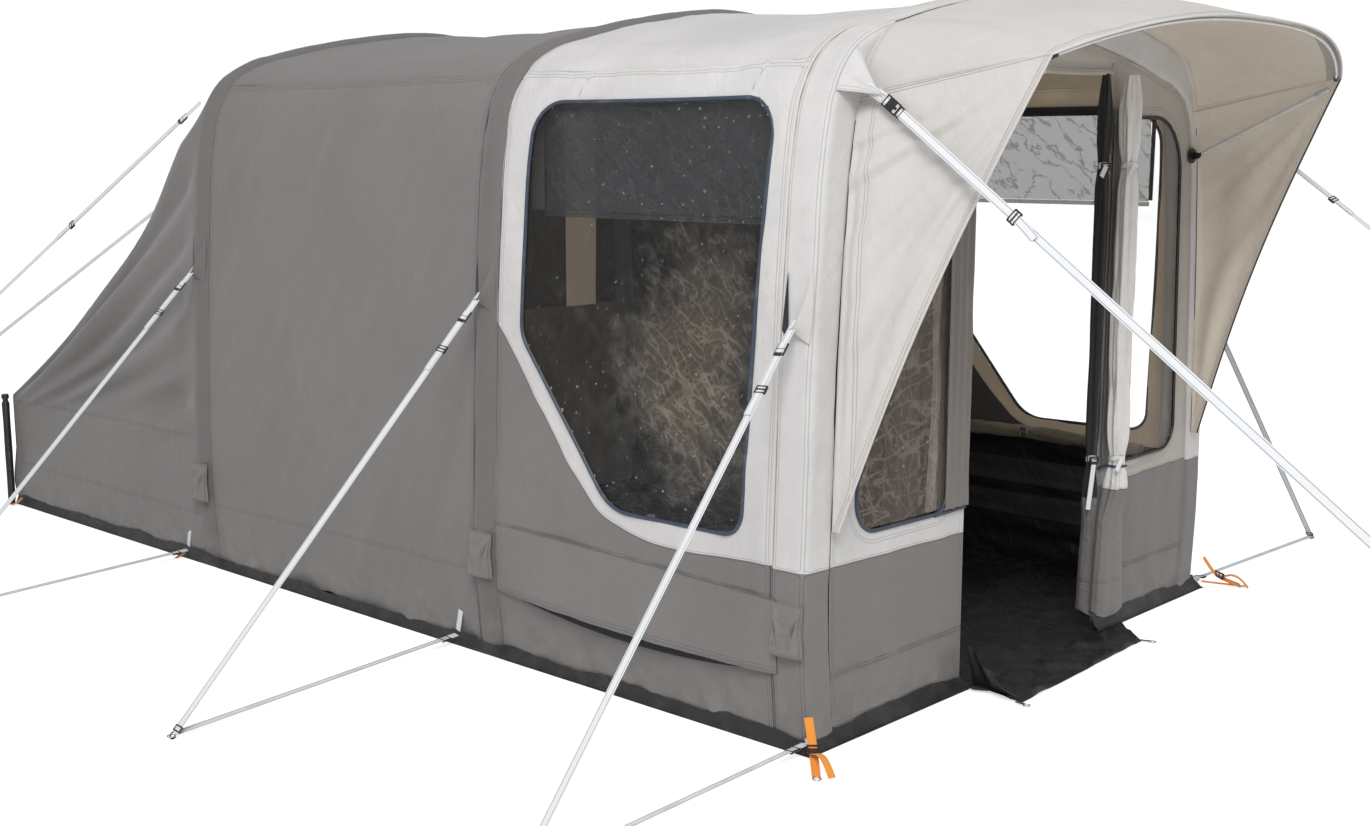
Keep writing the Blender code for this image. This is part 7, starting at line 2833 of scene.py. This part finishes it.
@dataclass
class Valves:
    """The pocket over each valve and the flange round it."""

    finishes: Finishes
    z: float = 0.335
    top_z: float = 0.412
    width: float = 0.112
    height: float = 0.150
    depth: float = 0.026

    def build_cover(self, word: str, y: float, proud: float, seed: int) -> None:
        """Build one puffed cover that hangs from its top seam."""
        seat = -ARCH.half_width(self.z) - proud - 0.001
        a, b = spread((-1, 1, 44), (0, 1, 54))
        crumple = Crumple(seed)
        belly = band(b, 0.40) ** 0.7
        puff = (1 - np.abs(a) ** 4) ** 0.6 * belly * (1 - band(b - 0.84, 0.16) ** 3) ** 0.5
        from_corner = np.arctan2(b + 0.05, 1.08 - np.abs(a))
        crease = 0.0075 * np.sin(from_corner * 6 + 0.8 * crumple.at(a, b, (0.6, 0.3)))
        crease *= np.clip(1.1 - b, 0, 1)
        crease += 0.0026 * crumple.at(a * 0.056, b * 0.15, (0.045, 0.02), 12)
        valley = np.exp(-(((np.abs(a) - 0.97 + 0.80 * b) / 0.09) ** 2)) * band(0.95 - b, 0.3)
        crease += 0.017 * valley * np.clip(np.abs(a) / 0.45 - 0.3, 0, 1)
        x = seat - 0.0008 - (self.depth - 0.004) * puff + crease * puff
        middle = (np.abs(a) < 0.55) & (b > 0.25) & (b < 0.80)
        x = np.where(middle, np.minimum(x, seat - 0.0185), x)
        narrow = 1 - 0.12 * np.exp(-(((b - 0.45) / 0.22) ** 2))
        places = stacked(x, y + a * self.width / 2 * narrow, self.top_z - b * self.height)
        edge = np.minimum((1 - np.abs(a)) * self.width / 2, np.minimum(b, 1 - b) * self.height)
        flat = stacked(a * 0.056, b * 0.15)
        panel = Panel(places, flat, {"seam": edge + 1.0}, outward=(-1.0, 0.0, 0.0))
        name, looks = f"valve_cover_{word}", self.finishes.dark_sides
        panel.sew(
            f"{name}_pocket", looks, "dark_polyester", (0.150, 0.190), "stretched", name,
            thickness=0.0014, body=f"cover_{word}",
        )

    def build_flange(self, word: str, y: float, proud: float) -> None:
        """Build the moulded flange that clamps the valve to its sleeve."""
        crown = -ARCH.half_width(self.z) - proud
        ring = [
            [(crown + depth, y + r * math.cos(t), self.z + r * math.sin(t)) for r, depth in FLANGE_SECTION]
            for t in np.linspace(0, 2 * np.pi, 32, endpoint=False)
        ]
        skin = Skin()
        skin.tube(np.array(ring), closed=True)
        skin.piece(f"valve_flange_{word}", self.finishes.plastic, "black_plastic", sharp=HARD_EDGE)

    def build(self) -> None:
        """Build the three valves' soft and moulded pieces."""
        for seed, (word, y, proud) in enumerate(VALVE_PLACES, start=131):
            self.build_cover(word, y, proud, seed)
            self.build_flange(word, y, proud)


# Inside


@dataclass
class Interior:
    """What shows through the door and windows: the inner bedroom front and the rolled cover."""

    finishes: Finishes
    y: float = 0.600
    mesh_z: float = 0.90
    cloth: float = 0.001

    def build_bedroom_front(self) -> None:
        """Build the inner bedroom's front, mesh above and cloth below, hung in soft folds."""
        x, level = spread((-1, 1, 150), (0, 1, 110))
        roof = np.interp(np.abs(x), [0, 0.42, 0.75, 0.89, 1.0], [1.94, 1.90, 1.83, 1.76, 1.60])
        z = 0.02 + (roof - 0.02) * level
        crumple = Crumple(141)
        fold = 0.014 * crumple.at(x, z, (0.10, 0.9), 4) + 0.005 * crumple.at(x, z, (0.04, 0.3), -10)
        places = stacked(x, self.y + fold, z)
        zone = z - self.mesh_z
        fields = {"zone": zone, "seam": seam_field(zone, np.abs(x) - 0.65, np.abs(x) - 0.84)}
        panel = Panel(places, stacked(x, z), fields, outward=FORWARD)
        looks = (self.finishes.inner_tent, self.finishes.dark_lining)
        name = "inner_bedroom_front"
        panel.sew(name, looks, "blind_cloth", (2.0, 1.94), "hung", thickness=self.cloth)
        for side in Side:
            u, v = spread((0.65, 0.84, 24), (self.mesh_z, 1.78, 60))
            wave = 0.010 * crumple.at(u, v, (0.08, 0.5))
            places = stacked(side.value * u, self.y - 0.036 + wave, v)
            strip = Panel(places, stacked(u, v), outward=FORWARD)
            name, looks = f"inner_bedroom_post_{side.word}", (self.finishes.lining,)
            strip.sew(name, looks, "warm_polyester", (0.19, 0.88), "hung", thickness=self.cloth)

    def sag(self, y: Array | float) -> Array:
        """Return how far the rolled cover lies off its straight line along the tent."""
        return 0.015 * np.sin((y + 2.1) * 3.4)

    def build_rolled_cover(self) -> None:
        """Build the rolled window cover under each side window, with its clips."""
        y = np.linspace(-2.10, -1.19, 90)[:, None]
        turn = turns(24)[None, :]
        crease = 0.14 * Crumple(142).at(y, turn * 0.1, (0.05, 0.1))
        size = 0.022 * (1 + crease + 0.06 * np.cos(5 * turn + y * 9))
        ring = stacked(np.cos(turn) * size, 0.0, np.sin(turn) * size * 1.15)
        for side in Side:
            sign = side.value
            middle = stacked(sign * 1.085, y, 0.500 + self.sag(y))
            skin, clips = Skin(), Skin()
            skin.tube(middle + ring)
            name, finish = f"rolled_cover_{side.word}", self.finishes.khaki
            skin.piece(name, finish, "warm_polyester", sharp=SOFT_EDGE)
            axes = np.array((UP, (0, 1.0, 0), (-sign, 0, 0)))
            for place in (-1.90, -1.62, -1.36):
                Buckles().ladder(clips, np.array((sign * 1.050, place, 0.505 + self.sag(place))), axes, 0.030)
            name, finish = f"cover_clips_{side.word}", self.finishes.steel
            clips.piece(name, finish, "grey_alloy", sharp=HARD_EDGE)

    def build(self) -> None:
        """Build the inside pieces."""
        self.build_bedroom_front()
        self.build_rolled_cover()


def repaint(nodes: dict, finish: bpy.types.Material, *names: str) -> None:
    """Give solids that stay shown a better finish."""
    for name in names:
        for slot in nodes[name].material_slots:
            slot.material = finish


def main() -> None:
    """Build the tent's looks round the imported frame."""
    logging.basicConfig(level=logging.INFO, format="%(name)s: %(message)s")
    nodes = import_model()["nodes"]
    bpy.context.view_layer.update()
    Studio().build()
    groups = Groups()
    finishes = Finishes(groups)
    trims = Trims(finishes)
    Guys(finishes).build()
    SideWalls(finishes).build()
    SideWindows(finishes, trims).build()
    Sleeves(finishes, trims).build()
    FrontWalls(finishes, trims).build()
    Bedroom(finishes).build()
    Canopy(finishes, trims).build()
    DoorRolls(finishes, trims).build()
    Ground(finishes).build()
    Valves(finishes).build()
    Interior(finishes).build()
    trims.build()
    repaint(nodes, finishes.blind, "blind_bar_left", "blind_bar_right")
    repaint(nodes, finishes.plastic, "strut_boot_left", "strut_boot_right")
    for word in ("front", "middle", "rear"):
        repaint(nodes, finishes.plastic, f"valve_cap_{word}")
        repaint(nodes, finishes.beam, f"air_beam_{word}")


if __name__ == "__main__":
    main()
